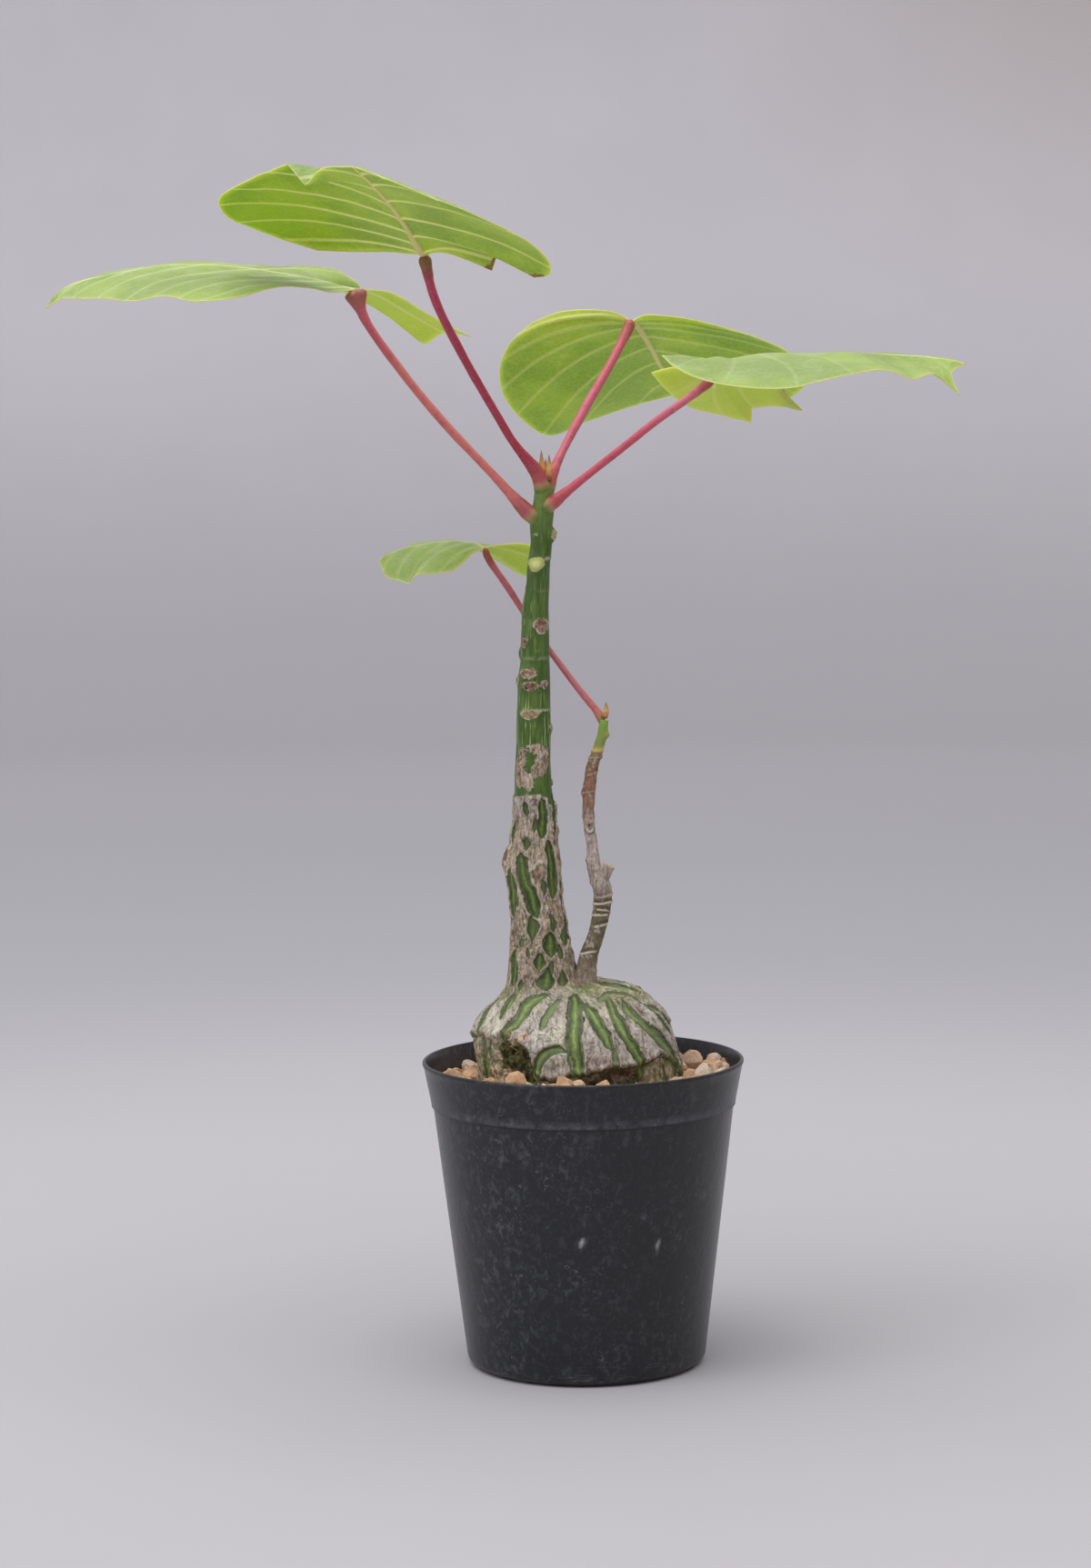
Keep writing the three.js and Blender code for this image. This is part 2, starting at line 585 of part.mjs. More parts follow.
// A blade: the sheet thickened along its normals, puffed up between the veins, with a rib below
function blade(data, grown = 0) {
  const rib = new THREE.CatmullRomCurve3([[0, 0, 0], ...data.midrib].map(vector), false, "centripetal");
  const left = bladeSide(data, data.left, rib);
  const right = bladeSide(data, data.right, rib);
  const sheet = left.flatMap((row, i) => [...row.slice(1).reverse(), ...right[i]]);
  sheet.push({ point: vector(data.midrib.at(-1)), puff: 0 });
  const width = 2 * BLADE_COLUMNS.length - 1;
  const apex = sheet.length - 1;
  const faces = sheetFaces(width, apex);
  const normals = sheet.map(() => new THREE.Vector3());
  for (const [a, b, c] of faces) {
    const [p, q, r] = [a, b, c].map((k) => sheet[k].point);
    const normal = q.clone().sub(p).cross(r.clone().sub(p));
    for (const k of [a, b, c]) normals[k].add(normal);
  }
  normals.forEach((normal) => normal.normalize());
  const half = BLADE_THICKNESS / 2 + grown;
  const upper = sheet.map(({ point, puff }, k) => point.clone().addScaledVector(normals[k], puff + half));
  const lower = sheet.map(({ point, puff }, k) => {
    const onRib = k !== apex && k % width === BLADE_COLUMNS.length - 1;
    const ribDepth = onRib ? RIB_DEPTH * (1 - RIB_TAPER * (k / apex)) : 0;
    return point.clone().addScaledVector(normals[k], puff - half - ribDepth);
  });
  const count = sheet.length;
  const triangles = faces.flatMap(([a, b, c]) => [a, b, c, count + a, count + c, count + b]);
  for (const [a, b] of sheetRim(width, apex)) triangles.push(a, count + a, b, b, count + a, count + b);
  const geometry = new THREE.BufferGeometry().setFromPoints([...upper, ...lower]);
  geometry.setIndex(triangles);
  geometry.translate(...data.seat);
  return toSolid(geometry);
}

// A leaf stalk, cut back by the gap where it meets the stem and the blade
function stalk({ path, radii }, seat, stemSolid, bladeSolid) {
  const curve = new THREE.CatmullRomCurve3([...path, seat].map(vector), false, "centripetal");
  const whole = stem(curve, STALK_STEPS, STALK_SIDES, (t) => smoothValue(radii, t));
  return largest(whole.subtract(stemSolid).subtract(bladeSolid));
}

// Soil: a plug that fills the pot up to the grit, with a plain hole for the caudex
function soil(hole) {
  const bandBottom = POT_HEIGHT - BAND_HEIGHT;
  const bottom = FLOOR + GAP;
  const outline = [
    [0, bottom], [fillRadius(BASE_CORNER + FLOOR) - BASE_CORNER, bottom],
    [fillRadius(BASE_CORNER + FLOOR + 1), BASE_CORNER + FLOOR + 1], [fillRadius(bandBottom), bandBottom],
    [fillRadius(SOIL_TOP), SOIL_TOP], [0, SOIL_TOP],
  ];
  const turned = new THREE.LatheGeometry(outline.map(([x, y]) => new THREE.Vector2(x, y)), FILL_SIDES);
  turned.rotateX(Math.PI / 2);
  return largest(toSolid(turned).subtract(hole));
}

// Grit: a thin bed round the caudex with angular grains sunk into it
function grit(hole) {
  const bottom = SOIL_TOP + GAP;
  const outline = [
    [0, bottom], [fillRadius(SOIL_TOP) - 0.2, bottom], [fillRadius(GRIT_TOP) - 0.6, GRIT_TOP - 0.6],
    [fillRadius(GRIT_TOP) - 3, GRIT_TOP - 1.4], [0, GRIT_TOP - 0.8],
  ];
  const turned = new THREE.LatheGeometry(outline.map(([x, y]) => new THREE.Vector2(x, y)), FILL_SIDES);
  turned.rotateX(Math.PI / 2);
  const random = randomStream(SEED + 1);
  const grains = [toSolid(turned)];
  for (let i = 0; i < GRAINS; i++) {
    const angle = 2 * Math.PI * ((i * GOLDEN_SHARE) % 1) + 0.3 * random();
    const size = THREE.MathUtils.lerp(GRAIN_SMALL, GRAIN_LARGE, random());
    const reach = THREE.MathUtils.lerp(GRIT_INSIDE, GRIT_OUTSIDE - size, Math.sqrt(random()));
    const grain = new THREE.IcosahedronGeometry(size, 0);
    grain.scale(1, 0.72 + 0.3 * random(), 0.66 + 0.3 * random());
    grain.rotateX(2 * Math.PI * random());
    grain.rotateZ(2 * Math.PI * random());
    const piled = PILES.map(([middle, rise, narrow]) =>
      rise * Math.max(Math.cos(angle - radians(middle)), 0) ** narrow).reduce((a, b) => a + b);
    const height = GRIT_TOP - GRAIN_SINK + 1.2 * random() + piled;
    grain.translate(reach * Math.cos(angle), reach * Math.sin(angle), height);
    grains.push(toSolid(grain));
  }
  const below = new THREE.BoxGeometry(3 * RIM_RADIUS, 3 * RIM_RADIUS, SOIL_TOP);
  below.translate(0, 0, bottom - SOIL_TOP / 2);
  const bed = grains.reduce((a, b) => a.add(b));
  return largest(bed.subtract(toSolid(below)).subtract(hole));
}

const hole = caudex(GAP);
const plant = caudex().add(trunk());
const plantCut = hole.add(trunk(GAP));
const shootCut = sideShoot(GAP);

const pieces = [
  ["pot", pot(), FINISH.pot],
  ["soil", soil(hole), FINISH.soil],
  ["grit_layer", grit(hole), FINISH.grit],
  ["caudex_and_trunk", plant, FINISH.bark],
  ["side_shoot", largest(sideShoot().subtract(plantCut)), FINISH.shoot],
  ["tip_bud", largest(bud(TIP_BUD).subtract(plantCut)), FINISH.bud],
  ["side_shoot_bud", largest(bud(SHOOT_BUD).subtract(shootCut)), FINISH.bud],
];
for (const [name, data] of Object.entries(BLADES)) {
  const stemCut = name === "e" ? shootCut.add(bud(SHOOT_BUD, GAP)) : plantCut.add(bud(TIP_BUD, GAP));
  const leafCut = blade(data, GAP).add(blade(data));
  pieces.push([`leaf_blade_${name}`, blade(data), FINISH.blade]);
  pieces.push([`leaf_stalk_${name}`, stalk(STALKS[name], data.seat, stemCut, leafCut), FINISH.stalk]);
}

const group = new THREE.Group();
for (const [name, solid, finish] of pieces) {
  const mesh = new THREE.Mesh(toGeometry(solid), finish);
  mesh.name = name;
  group.add(mesh);
}

export default group;
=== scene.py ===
"""The looks of the potted shaving brush tree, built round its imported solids.

Sizes are millimetres until a mesh is written, +Z is up, -Y is the front, and the origin is the middle of the
pot's flat base, as in the part's source. Azimuths are degrees from the front, right positive.
"""

import logging
import math
from collections.abc import Sequence
from dataclasses import dataclass, field
from enum import Enum

import bpy
import numpy as np
from mathutils import Matrix, Vector
from numpy.typing import NDArray


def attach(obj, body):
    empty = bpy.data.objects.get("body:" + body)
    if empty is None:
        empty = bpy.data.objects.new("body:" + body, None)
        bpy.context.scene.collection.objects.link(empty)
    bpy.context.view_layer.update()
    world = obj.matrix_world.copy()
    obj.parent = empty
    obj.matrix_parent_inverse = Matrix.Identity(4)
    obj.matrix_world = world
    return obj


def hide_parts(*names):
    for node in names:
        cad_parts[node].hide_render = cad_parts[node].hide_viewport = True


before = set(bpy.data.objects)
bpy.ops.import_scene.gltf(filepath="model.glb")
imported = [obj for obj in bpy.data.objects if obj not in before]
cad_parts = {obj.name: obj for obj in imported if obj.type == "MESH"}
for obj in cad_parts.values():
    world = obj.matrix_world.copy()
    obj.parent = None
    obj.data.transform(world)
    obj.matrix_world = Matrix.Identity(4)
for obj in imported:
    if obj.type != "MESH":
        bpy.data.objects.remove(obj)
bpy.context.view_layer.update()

Array = NDArray[np.float64]
Indices = NDArray[np.int64]
Colour = tuple[float, float, float, float]
Point = tuple[float, float, float]
Rows = tuple[tuple[float, ...], ...]
Socket = bpy.types.NodeSocket
Material = bpy.types.Material
Piece = bpy.types.Object

LOG = logging.getLogger("shaving_brush_tree")
MM = 0.001
BODY = "root"
SEED = 20417


class Slot(str, Enum):
    """Names for the material slots."""

    POT = "pot_plastic"
    SOIL = "soil"
    GRIT = "grit"
    BARK = "bark"
    SHOOT = "shoot_bark"
    BUD = "bud_scale"
    STALK = "leaf_stalk"
    BLADE = "leaf_blade"


def srgb(red: float, green: float, blue: float) -> Colour:
    """A screen colour from 0 to 255 as the linear colour that shaders take.

    Args:
        red: The red share.
        green: The green share.
        blue: The blue share.

    Returns:
        Linear red, green, blue and an alpha of 1.
    """
    screen = np.array([red, green, blue]) / 255
    linear = np.where(screen <= 0.04045, screen / 12.92, ((screen + 0.055) / 1.055) ** 2.4)
    return (*(float(x) for x in linear), 1.0)


def ease(value: Array, low: float | Array, high: float | Array) -> Array:
    """A smooth step: 0 up to low, 1 from high on, and 3t squared less 2t cubed between them.

    Args:
        value: What is read.
        low: Where the step starts. It may lie above high, for a step down.
        high: Where the step ends.

    Returns:
        Numbers from 0 to 1.
    """
    share = np.clip((value - low) / (high - low), 0, 1)
    return share * share * (3 - 2 * share)


def mixed(near: Array, far: Array, share: Array | float) -> Array:
    """The value that lies the given share of the way from near to far."""
    return near + (far - near) * share


def unit(vectors: Array) -> Array:
    """Vectors of length 1 with the same directions."""
    return vectors / np.maximum(np.linalg.norm(vectors, axis=-1, keepdims=True), 1e-9)


def bell(value: Array, width: float = 1.0) -> Array:
    """e to the minus square of a value over a width: 1 in the middle and almost 0 past two widths."""
    return np.exp(-((value / width) ** 2))


def full_turn(count: int) -> Array:
    """Even steps of angle round a whole turn, in radians."""
    return np.linspace(0, 2 * np.pi, count, endpoint=False)


def wrapped(angle: Array) -> Array:
    """Angles in radians, brought to within half a turn of 0."""
    return np.mod(angle + np.pi, 2 * np.pi) - np.pi


def step_lengths(line: Array) -> Array:
    """The lengths of the steps from each point of a line to the next."""
    return np.linalg.norm(np.diff(line, axis=0), axis=1)


def lattice(cells: Indices, seed: int) -> Array:
    """One fixed number from 0 to 1 for each whole-numbered cell of space.

    The three whole numbers are multiplied by large odd ones, folded together and scrambled.

    Args:
        cells: Whole numbers with a last axis of 3.
        seed: Which of many such fields.

    Returns:
        Numbers from 0 to 1, without that last axis.
    """
    x, y, z = np.moveaxis(cells.astype(np.int64).astype(np.uint64), -1, 0)
    key = x * np.uint64(0x9E3779B97F4A7C15) ^ y * np.uint64(0xC2B2AE3D27D4EB4F)
    key ^= z * np.uint64(0x165667B19E3779F9) ^ np.uint64(seed * 0x2545F4914F6CDD1D % 2**64)
    key ^= key >> np.uint64(29)
    key *= np.uint64(0xBF58476D1CE4E5B9)
    key ^= key >> np.uint64(32)
    return (key >> np.uint64(11)).astype(float) / 2.0**53


def noise(points: Array, size: float, seed: int) -> Array:
    """Smooth noise: numbers on the corners of a grid of cubes, blended by ease inside each cube.

    Args:
        points: Places with a last axis of 3.
        size: The side of a cube, so about the size of a lump.
        seed: Which of many such fields.

    Returns:
        Numbers from -1 to 1.
    """
    place = points / size
    cell = np.floor(place).astype(np.int64)
    share = place - cell
    share = share * share * (3 - 2 * share)
    total = np.zeros(points.shape[:-1])
    for corner in np.ndindex(2, 2, 2):
        weight = np.where(corner, share, 1 - share).prod(axis=-1)
        total += weight * lattice(cell + np.array(corner), seed)
    return 2 * total - 1


def fractal(points: Array, size: float, seed: int, octaves: int = 3) -> Array:
    """Noise summed over sizes that halve each time, with weights that halve too.

    Args:
        points: Places with a last axis of 3.
        size: The size of the largest lumps.
        seed: Which of many such fields.
        octaves: How many sizes are summed.

    Returns:
        Numbers that mostly lie between -1 and 1.
    """
    return sum(noise(points, size / 2**k, seed + k) / 2**k for k in range(octaves)) / 1.5


def curve(knots: Array, places: Array) -> Array:
    """A centripetal Catmull-Rom curve through knots.

    Between two knots it is a cubic whose slopes come from the neighbours, weighed by the square roots of
    the distances to them. Past each end the last step is repeated.

    Args:
        knots: Points in order.
        places: Where to read it, counting whole numbers at the knots.

    Returns:
        One point a place.
    """
    knots = np.asarray(knots, float)
    wide = np.vstack([2 * knots[0] - knots[1], knots, 2 * knots[-1] - knots[-2]])
    span = np.clip(np.floor(places), 0, len(knots) - 2).astype(int)
    share = (np.asarray(places, float) - span)[:, None]
    before, start, end, after = (wide[span + k] for k in range(4))
    steps = [np.linalg.norm(b - a, axis=1, keepdims=True) ** 0.5 for a, b in
             ((before, start), (start, end), (end, after))]
    slope_in = (start - before) / steps[0] - (end - before) / (steps[0] + steps[1]) + (end - start) / steps[1]
    slope_out = (end - start) / steps[1] - (after - start) / (steps[1] + steps[2]) + (after - end) / steps[2]
    slope_in, slope_out = slope_in * steps[1], slope_out * steps[1]
    square = -3 * start + 3 * end - 2 * slope_in - slope_out
    cube = 2 * start - 2 * end + slope_in + slope_out
    return start + slope_in * share + square * share**2 + cube * share**3


def curve_by_length(knots: Array, shares: Array, fine: int = 400) -> Array:
    """The same curve read at shares of its length.

    Args:
        knots: Points in order.
        shares: Shares of the length, from 0 to 1.
        fine: How many steps measure the length.

    Returns:
        One point a share.
    """
    places = np.linspace(0, len(knots) - 1, fine + 1)
    trail = curve(knots, places)
    reached = np.concatenate([[0], np.cumsum(step_lengths(trail))])
    return curve(knots, np.interp(np.asarray(shares) * reached[-1], reached, places))


def smooth_list(values: Sequence[float], shares: Array) -> Array:
    """Equally spaced values read at shares of the list, eased from each to the next.

    Args:
        values: The values.
        shares: Where to read them, from 0 at the first to 1 at the last.

    Returns:
        One value a share.
    """
    listed = np.asarray(values, float)
    place = np.clip(shares, 0, 1) * (len(listed) - 1)
    span = np.minimum(np.floor(place).astype(int), len(listed) - 2)
    return mixed(listed[span], listed[span + 1], ease(place - span, 0, 1))


def read_table(table: Array, key: int, places: Array) -> list[Array]:
    """A table's columns read at places along one of them, eased from each row to the next.

    Args:
        table: Rows of numbers.
        key: The column that rises.
        places: Where to read it, in that column's numbers.

    Returns:
        Every column at the places.
    """
    span = np.clip(np.searchsorted(table[:, key], places, side="right") - 1, 0, len(table) - 2)
    share = ease(places, table[span, key], table[span + 1, key])
    return [mixed(table[span, k], table[span + 1, k], share) for k in range(table.shape[1])]


def polyline_distance(points: Array, line: Array) -> tuple[Array, Array]:
    """How far points lie from a line of straight pieces.

    Each point is dropped square onto each piece, held to the piece's ends, and the nearest foot counts.

    Args:
        points: Places with a last axis of 3.
        line: The corners of the line in order.

    Returns:
        The distance, and the share of the line's pieces at the foot.
    """
    best = np.full(points.shape[:-1], np.inf)
    share = np.zeros_like(best)
    for k, (start, end) in enumerate(zip(line[:-1], line[1:])):
        step = end - start
        along = np.clip((points - start) @ step / (step @ step), 0, 1)
        apart = np.linalg.norm(points - start - along[..., None] * step, axis=-1)
        share = np.where(apart < best, (k + along) / (len(line) - 1), share)
        best = np.minimum(best, apart)
    return best, share


def grid_faces(rows: int, columns: int, closed: bool = True) -> Indices:
    """Four-cornered faces over a grid of points, row by row.

    Args:
        rows: How many rows of points.
        columns: How many points a row.
        closed: Whether the last column joins the first.

    Returns:
        Corner numbers, four to a face, that face outwards when columns run anticlockwise and rows run up.
    """
    across = np.arange(columns if closed else columns - 1)
    row, column = np.meshgrid(np.arange(rows - 1), across, indexing="ij")
    here, beside = row * columns + column, row * columns + (column + 1) % columns
    return np.stack([here, beside, beside + columns, here + columns], -1).reshape(-1, 4)


def fan(hub: int, ring: Indices, above: bool = False) -> Indices:
    """Triangles from a hub to a closed ring of corners, facing down, or up where the hub lies above."""
    after = np.roll(ring, -1)
    return np.stack([np.full(len(ring), hub), *((ring, after) if above else (after, ring))], -1)


def grid_normals(points: Array, closed: bool = True) -> Array:
    """Outward normals of a grid of points, from the steps to the neighbours on both sides.

    Args:
        points: Rows by columns by 3.
        closed: Whether the last column joins the first.

    Returns:
        Unit vectors in the same layout.
    """
    if closed:
        sideways = np.roll(points, -1, axis=1) - np.roll(points, 1, axis=1)
    else:
        sideways = np.gradient(points, axis=1)
    return unit(np.cross(sideways, np.gradient(points, axis=0)))


@dataclass
class Shape:
    """A mesh before it is written: points, faces, and numbers or vectors at its points by name."""

    points: Array
    faces: list[Indices]
    marks: dict[str, Array] = field(default_factory=dict)
    smooth: bool = True
    slot: int = 0

    @staticmethod
    def tube(points: Array, marks: dict[str, Array] | None = None, slot: int = 0) -> "Shape":
        """A closed skin over a grid of points whose columns go round, with a middle point at each end.

        Args:
            points: Rows by columns by 3.
            marks: Numbers at the grid's points by name.
            slot: The number of its material.

        Returns:
            The skin. A middle point takes the mean of its row's marks.
        """
        rows, columns, _ = points.shape
        count = rows * columns
        ring = np.arange(columns)
        ends = [fan(count, ring), fan(count + 1, ring + count - columns, above=True)]
        middles = np.stack([points[0].mean(0), points[-1].mean(0)])
        kept = {}
        for name, values in (marks or {}).items():
            tail = values.shape[2:]
            means = np.stack([values[0].mean(0), values[-1].mean(0)])
            kept[name] = np.concatenate([values.reshape(count, *tail), means])
        skin = np.concatenate([points.reshape(-1, 3), middles])
        return Shape(skin, [grid_faces(rows, columns), np.concatenate(ends)], kept, slot=slot)

    def written(self, name: str, materials: Sequence[Material]) -> Piece:
        """Puts this shape alone into a new mesh object."""
        return write_piece(name, [self], materials)


def write_piece(name: str, shapes: Sequence[Shape], materials: Sequence[Material]) -> Piece:
    """Puts shapes into one mesh object at the origin, in metres.

    Args:
        name: The piece's name.
        shapes: Shapes that share the same marks.
        materials: Its materials in the order of the shapes' slot numbers.

    Returns:
        The new object.
    """
    starts = np.cumsum([0] + [len(shape.points) for shape in shapes])
    blocks = [(block + start, shape) for shape, start in zip(shapes, starts) for block in shape.faces]
    corners = np.concatenate([block.ravel() for block, _ in blocks]).astype(np.int32)
    sizes = np.concatenate([np.full(len(block), block.shape[1]) for block, _ in blocks])
    smooth = np.concatenate([np.full(len(block), shape.smooth) for block, shape in blocks])
    slots = np.concatenate([np.full(len(block), shape.slot) for block, shape in blocks])
    mesh = bpy.data.meshes.new(name)
    mesh.vertices.add(int(starts[-1]))
    points = np.concatenate([shape.points for shape in shapes]) * MM
    mesh.vertices.foreach_set("co", points.astype(np.float32).ravel())
    mesh.loops.add(len(corners))
    mesh.loops.foreach_set("vertex_index", corners)
    mesh.polygons.add(len(sizes))
    mesh.polygons.foreach_set("loop_start", np.concatenate([[0], np.cumsum(sizes)[:-1]]).astype(np.int32))
    for material in materials:
        mesh.materials.append(material)
    mesh.update(calc_edges=True)
    mesh.polygons.foreach_set("use_smooth", smooth)
    mesh.polygons.foreach_set("material_index", slots.astype(np.int32))
    for key in shapes[0].marks:
        values = np.concatenate([shape.marks[key] for shape in shapes]).astype(np.float32)
        kind, socket = ("FLOAT", "value") if values.ndim == 1 else ("FLOAT_VECTOR", "vector")
        mesh.attributes.new(key, kind, "POINT").data.foreach_set(socket, values.ravel())
    mesh.validate()
    piece = bpy.data.objects.new(name, mesh)
    bpy.context.scene.collection.objects.link(piece)
    return piece


def stands_for(piece: Piece, node: str) -> None:
    """Makes a piece ride on the body and show in place of a node of the model.

    Args:
        piece: The new piece.
        node: The node that it stands for.
    """
    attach(piece, BODY)
    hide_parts(node)
    LOG.info("%s stands for %s: %d faces", piece.name, node, len(piece.data.polygons))


class Bench:
    """Where a material's nodes are put together, with object coordinates in millimetres at hand."""

    def __init__(self, name: str) -> None:
        """Starts a material with its own Principled shader.

        Args:
            name: The material's name.
        """
        self.material = bpy.data.materials.new(name)
        self.material.use_nodes = True
        self.nodes = self.material.node_tree.nodes
        self.shader = self.nodes["Principled BSDF"]
        place = self.put("TexCoord")
        scaled = self.put("VectorMath", {0: place.outputs["Object"], "Scale": 1 / MM}, operation="SCALE")
        self.mm = scaled.outputs[0]

    def put(self, kind: str, inputs: dict | None = None, **settings: object) -> bpy.types.Node:
        """Adds a node.

        Args:
            kind: The node's type without its "ShaderNode".
            inputs: A value or another node's socket for each input, by name or number.
            settings: The node's own settings.

        Returns:
            The node.
        """
        node = self.nodes.new("ShaderNode" + kind)
        for key, value in settings.items():
            setattr(node, key, value)
        for key, value in (inputs or {}).items():
            self.feed(node.inputs[key], value)
        return node

    def feed(self, socket: Socket, value: object) -> None:
        """Links a socket to an input, or sets the input's own value.

        Args:
            socket: The input.
            value: Another node's socket, or a plain value.
        """
        if isinstance(value, Socket):
            self.material.node_tree.links.new(value, socket)
        else:
            socket.default_value = value

    def moved(self, place: object, scale: float, far: float) -> Socket:
        """Coordinates moved about by coloured noise.

        Args:
            place: The coordinates.
            scale: Lumps of the noise a millimetre.
            far: How far it moves them either way, in their own unit.

        Returns:
            The moved coordinates.
        """
        colour = self.put("TexNoise", {"Vector": place, "Scale": scale}).outputs["Color"]
        centred = self.put("VectorMath", {0: colour, 1: (0.5, 0.5, 0.5)}, operation="SUBTRACT").outputs[0]
        step = self.put("VectorMath", {0: centred, "Scale": 4 * far}, operation="SCALE").outputs[0]
        return self.put("VectorMath", {0: place, 1: step}, operation="ADD").outputs[0]

    def mark(self, name: str, vector: bool = False) -> Socket:
        """A number, or a vector, that the mesh carries at its points."""
        return self.put("Attribute", attribute_name=name).outputs["Vector" if vector else "Fac"]

    def noise(self, scale: float, detail: float = 3, rough: float = 0.55, twist: float = 0,
              at: Socket | None = None) -> Socket:
        """Noise from about 0.25 to 0.75, with scale lumps a millimetre.

        Args:
            scale: Lumps a millimetre.
            detail: How many finer sizes are added.
            rough: The weight of each finer size.
            twist: How far the noise bends its own coordinates.
            at: The coordinates, or none for the object's own.

        Returns:
            The noise.
        """
        inputs = {"Vector": at or self.mm, "Scale": scale, "Detail": detail, "Roughness": rough,
                  "Distortion": twist}
        return self.put("TexNoise", inputs).outputs["Fac"]

    def blots(self, low: float, high: float, *noise: object) -> Socket:
        """Noise turned smoothly into 0 below low and 1 above high."""
        return self.span(self.noise(*noise), low, high)

    def wobble(self, size: float, *noise: object) -> Socket:
        """Noise about 0, up to about a quarter of size either way."""
        return self.times(self.less(self.noise(*noise), 0.5), size)

    def axis(self, name: str) -> Socket:
        """One of the object's own coordinates, in millimetres."""
        return self.put("SeparateXYZ", {0: self.mm}).outputs[name]

    def drawn(self, level: float, upright: float, at: Socket | None = None) -> Socket:
        """Coordinates scaled level and upright, which draws a pattern out where the scale is below 1."""
        inputs = {"Vector": at or self.mm, "Scale": (level, level, upright)}
        return self.put("Mapping", inputs).outputs[0]

    def cells(self, scale: float, feature: str = "F1", at: Socket | None = None,
              read: str = "Distance") -> Socket:
        """A pattern of cells, with scale cells a millimetre: the distance in each, or its random colour."""
        inputs = {"Vector": at or self.mm, "Scale": scale}
        return self.put("TexVoronoi", inputs, feature=feature).outputs[read]

    def span(self, value: object, low: float, high: float, out_low: float = 0,
             out_high: float = 1) -> Socket:
        """Value from low to high turned smoothly into out_low to out_high, and held outside."""
        inputs = {"Value": value, "From Min": low, "From Max": high, "To Min": out_low, "To Max": out_high}
        return self.put("MapRange", inputs, interpolation_type="SMOOTHSTEP").outputs[0]

    def sum(self, *terms: object) -> Socket:
        """All the terms added up.

        Args:
            terms: Sockets or numbers.

        Returns:
            The sum.
        """
        total = terms[0]
        for term in terms[1:]:
            total = self.put("Math", {0: total, 1: term}, operation="ADD").outputs[0]
        return total

    def times(self, *factors: object) -> Socket:
        """All the factors multiplied.

        Args:
            factors: Sockets or numbers.

        Returns:
            The product.
        """
        total = factors[0]
        for factor in factors[1:]:
            total = self.put("Math", {0: total, 1: factor}, operation="MULTIPLY").outputs[0]
        return total

    def less(self, value: object, taken: object) -> Socket:
        """Value less what is taken from it."""
        return self.put("Math", {0: value, 1: taken}, operation="SUBTRACT").outputs[0]

    def apart(self, value: object, middle: float) -> Socket:
        """How far a value lies from a middle, whichever side."""
        return self.put("Math", {0: self.less(value, middle)}, operation="ABSOLUTE").outputs[0]

    def mix(self, share: object, near: object, far: object, blend: str = "MIX") -> Socket:
        """Two colours mixed by a share from 0 to 1."""
        inputs = {0: share, 6: near, 7: far}
        return self.put("Mix", inputs, data_type="RGBA", blend_type=blend).outputs[2]

    def ramp(self, value: object, stops: Sequence[tuple[float, Colour]]) -> Socket:
        """A colour read from stops by a value.

        Args:
            value: What is read.
            stops: Places from 0 to 1, rising, each with its colour.

        Returns:
            The colour.
        """
        node = self.put("ValToRGB", {"Fac": value})
        band = node.color_ramp.elements
        while len(band) < len(stops):
            band.new(0.5)
        for element, (place, colour) in zip(band, stops):
            element.position = place
            element.color = colour
        return node.outputs["Color"]

    def bump(self, height: object, depth: float, strength: float = 1,
             under: Socket | None = None) -> Socket:
        """A normal tilted by a height from 0 to 1.

        Args:
            height: The relief.
            depth: What a height of 1 stands for, in millimetres.
            strength: The share of the tilt that is kept.
            under: The normal that it adds to.

        Returns:
            The tilted normal.
        """
        inputs = {"Height": height, "Distance": depth * MM, "Strength": strength}
        if under is not None:
            inputs["Normal"] = under
        return self.put("Bump", inputs).outputs["Normal"]

    def finish(self, **inputs: object) -> Material:
        """Sets the shader's inputs.

        Args:
            inputs: A value or a socket for each input, named with an underscore for each space.

        Returns:
            The material.
        """
        for key, value in inputs.items():
            name = "IOR" if key == "IOR" else key.replace("_", " ")
            self.feed(self.shader.inputs[name], value)
        return self.material


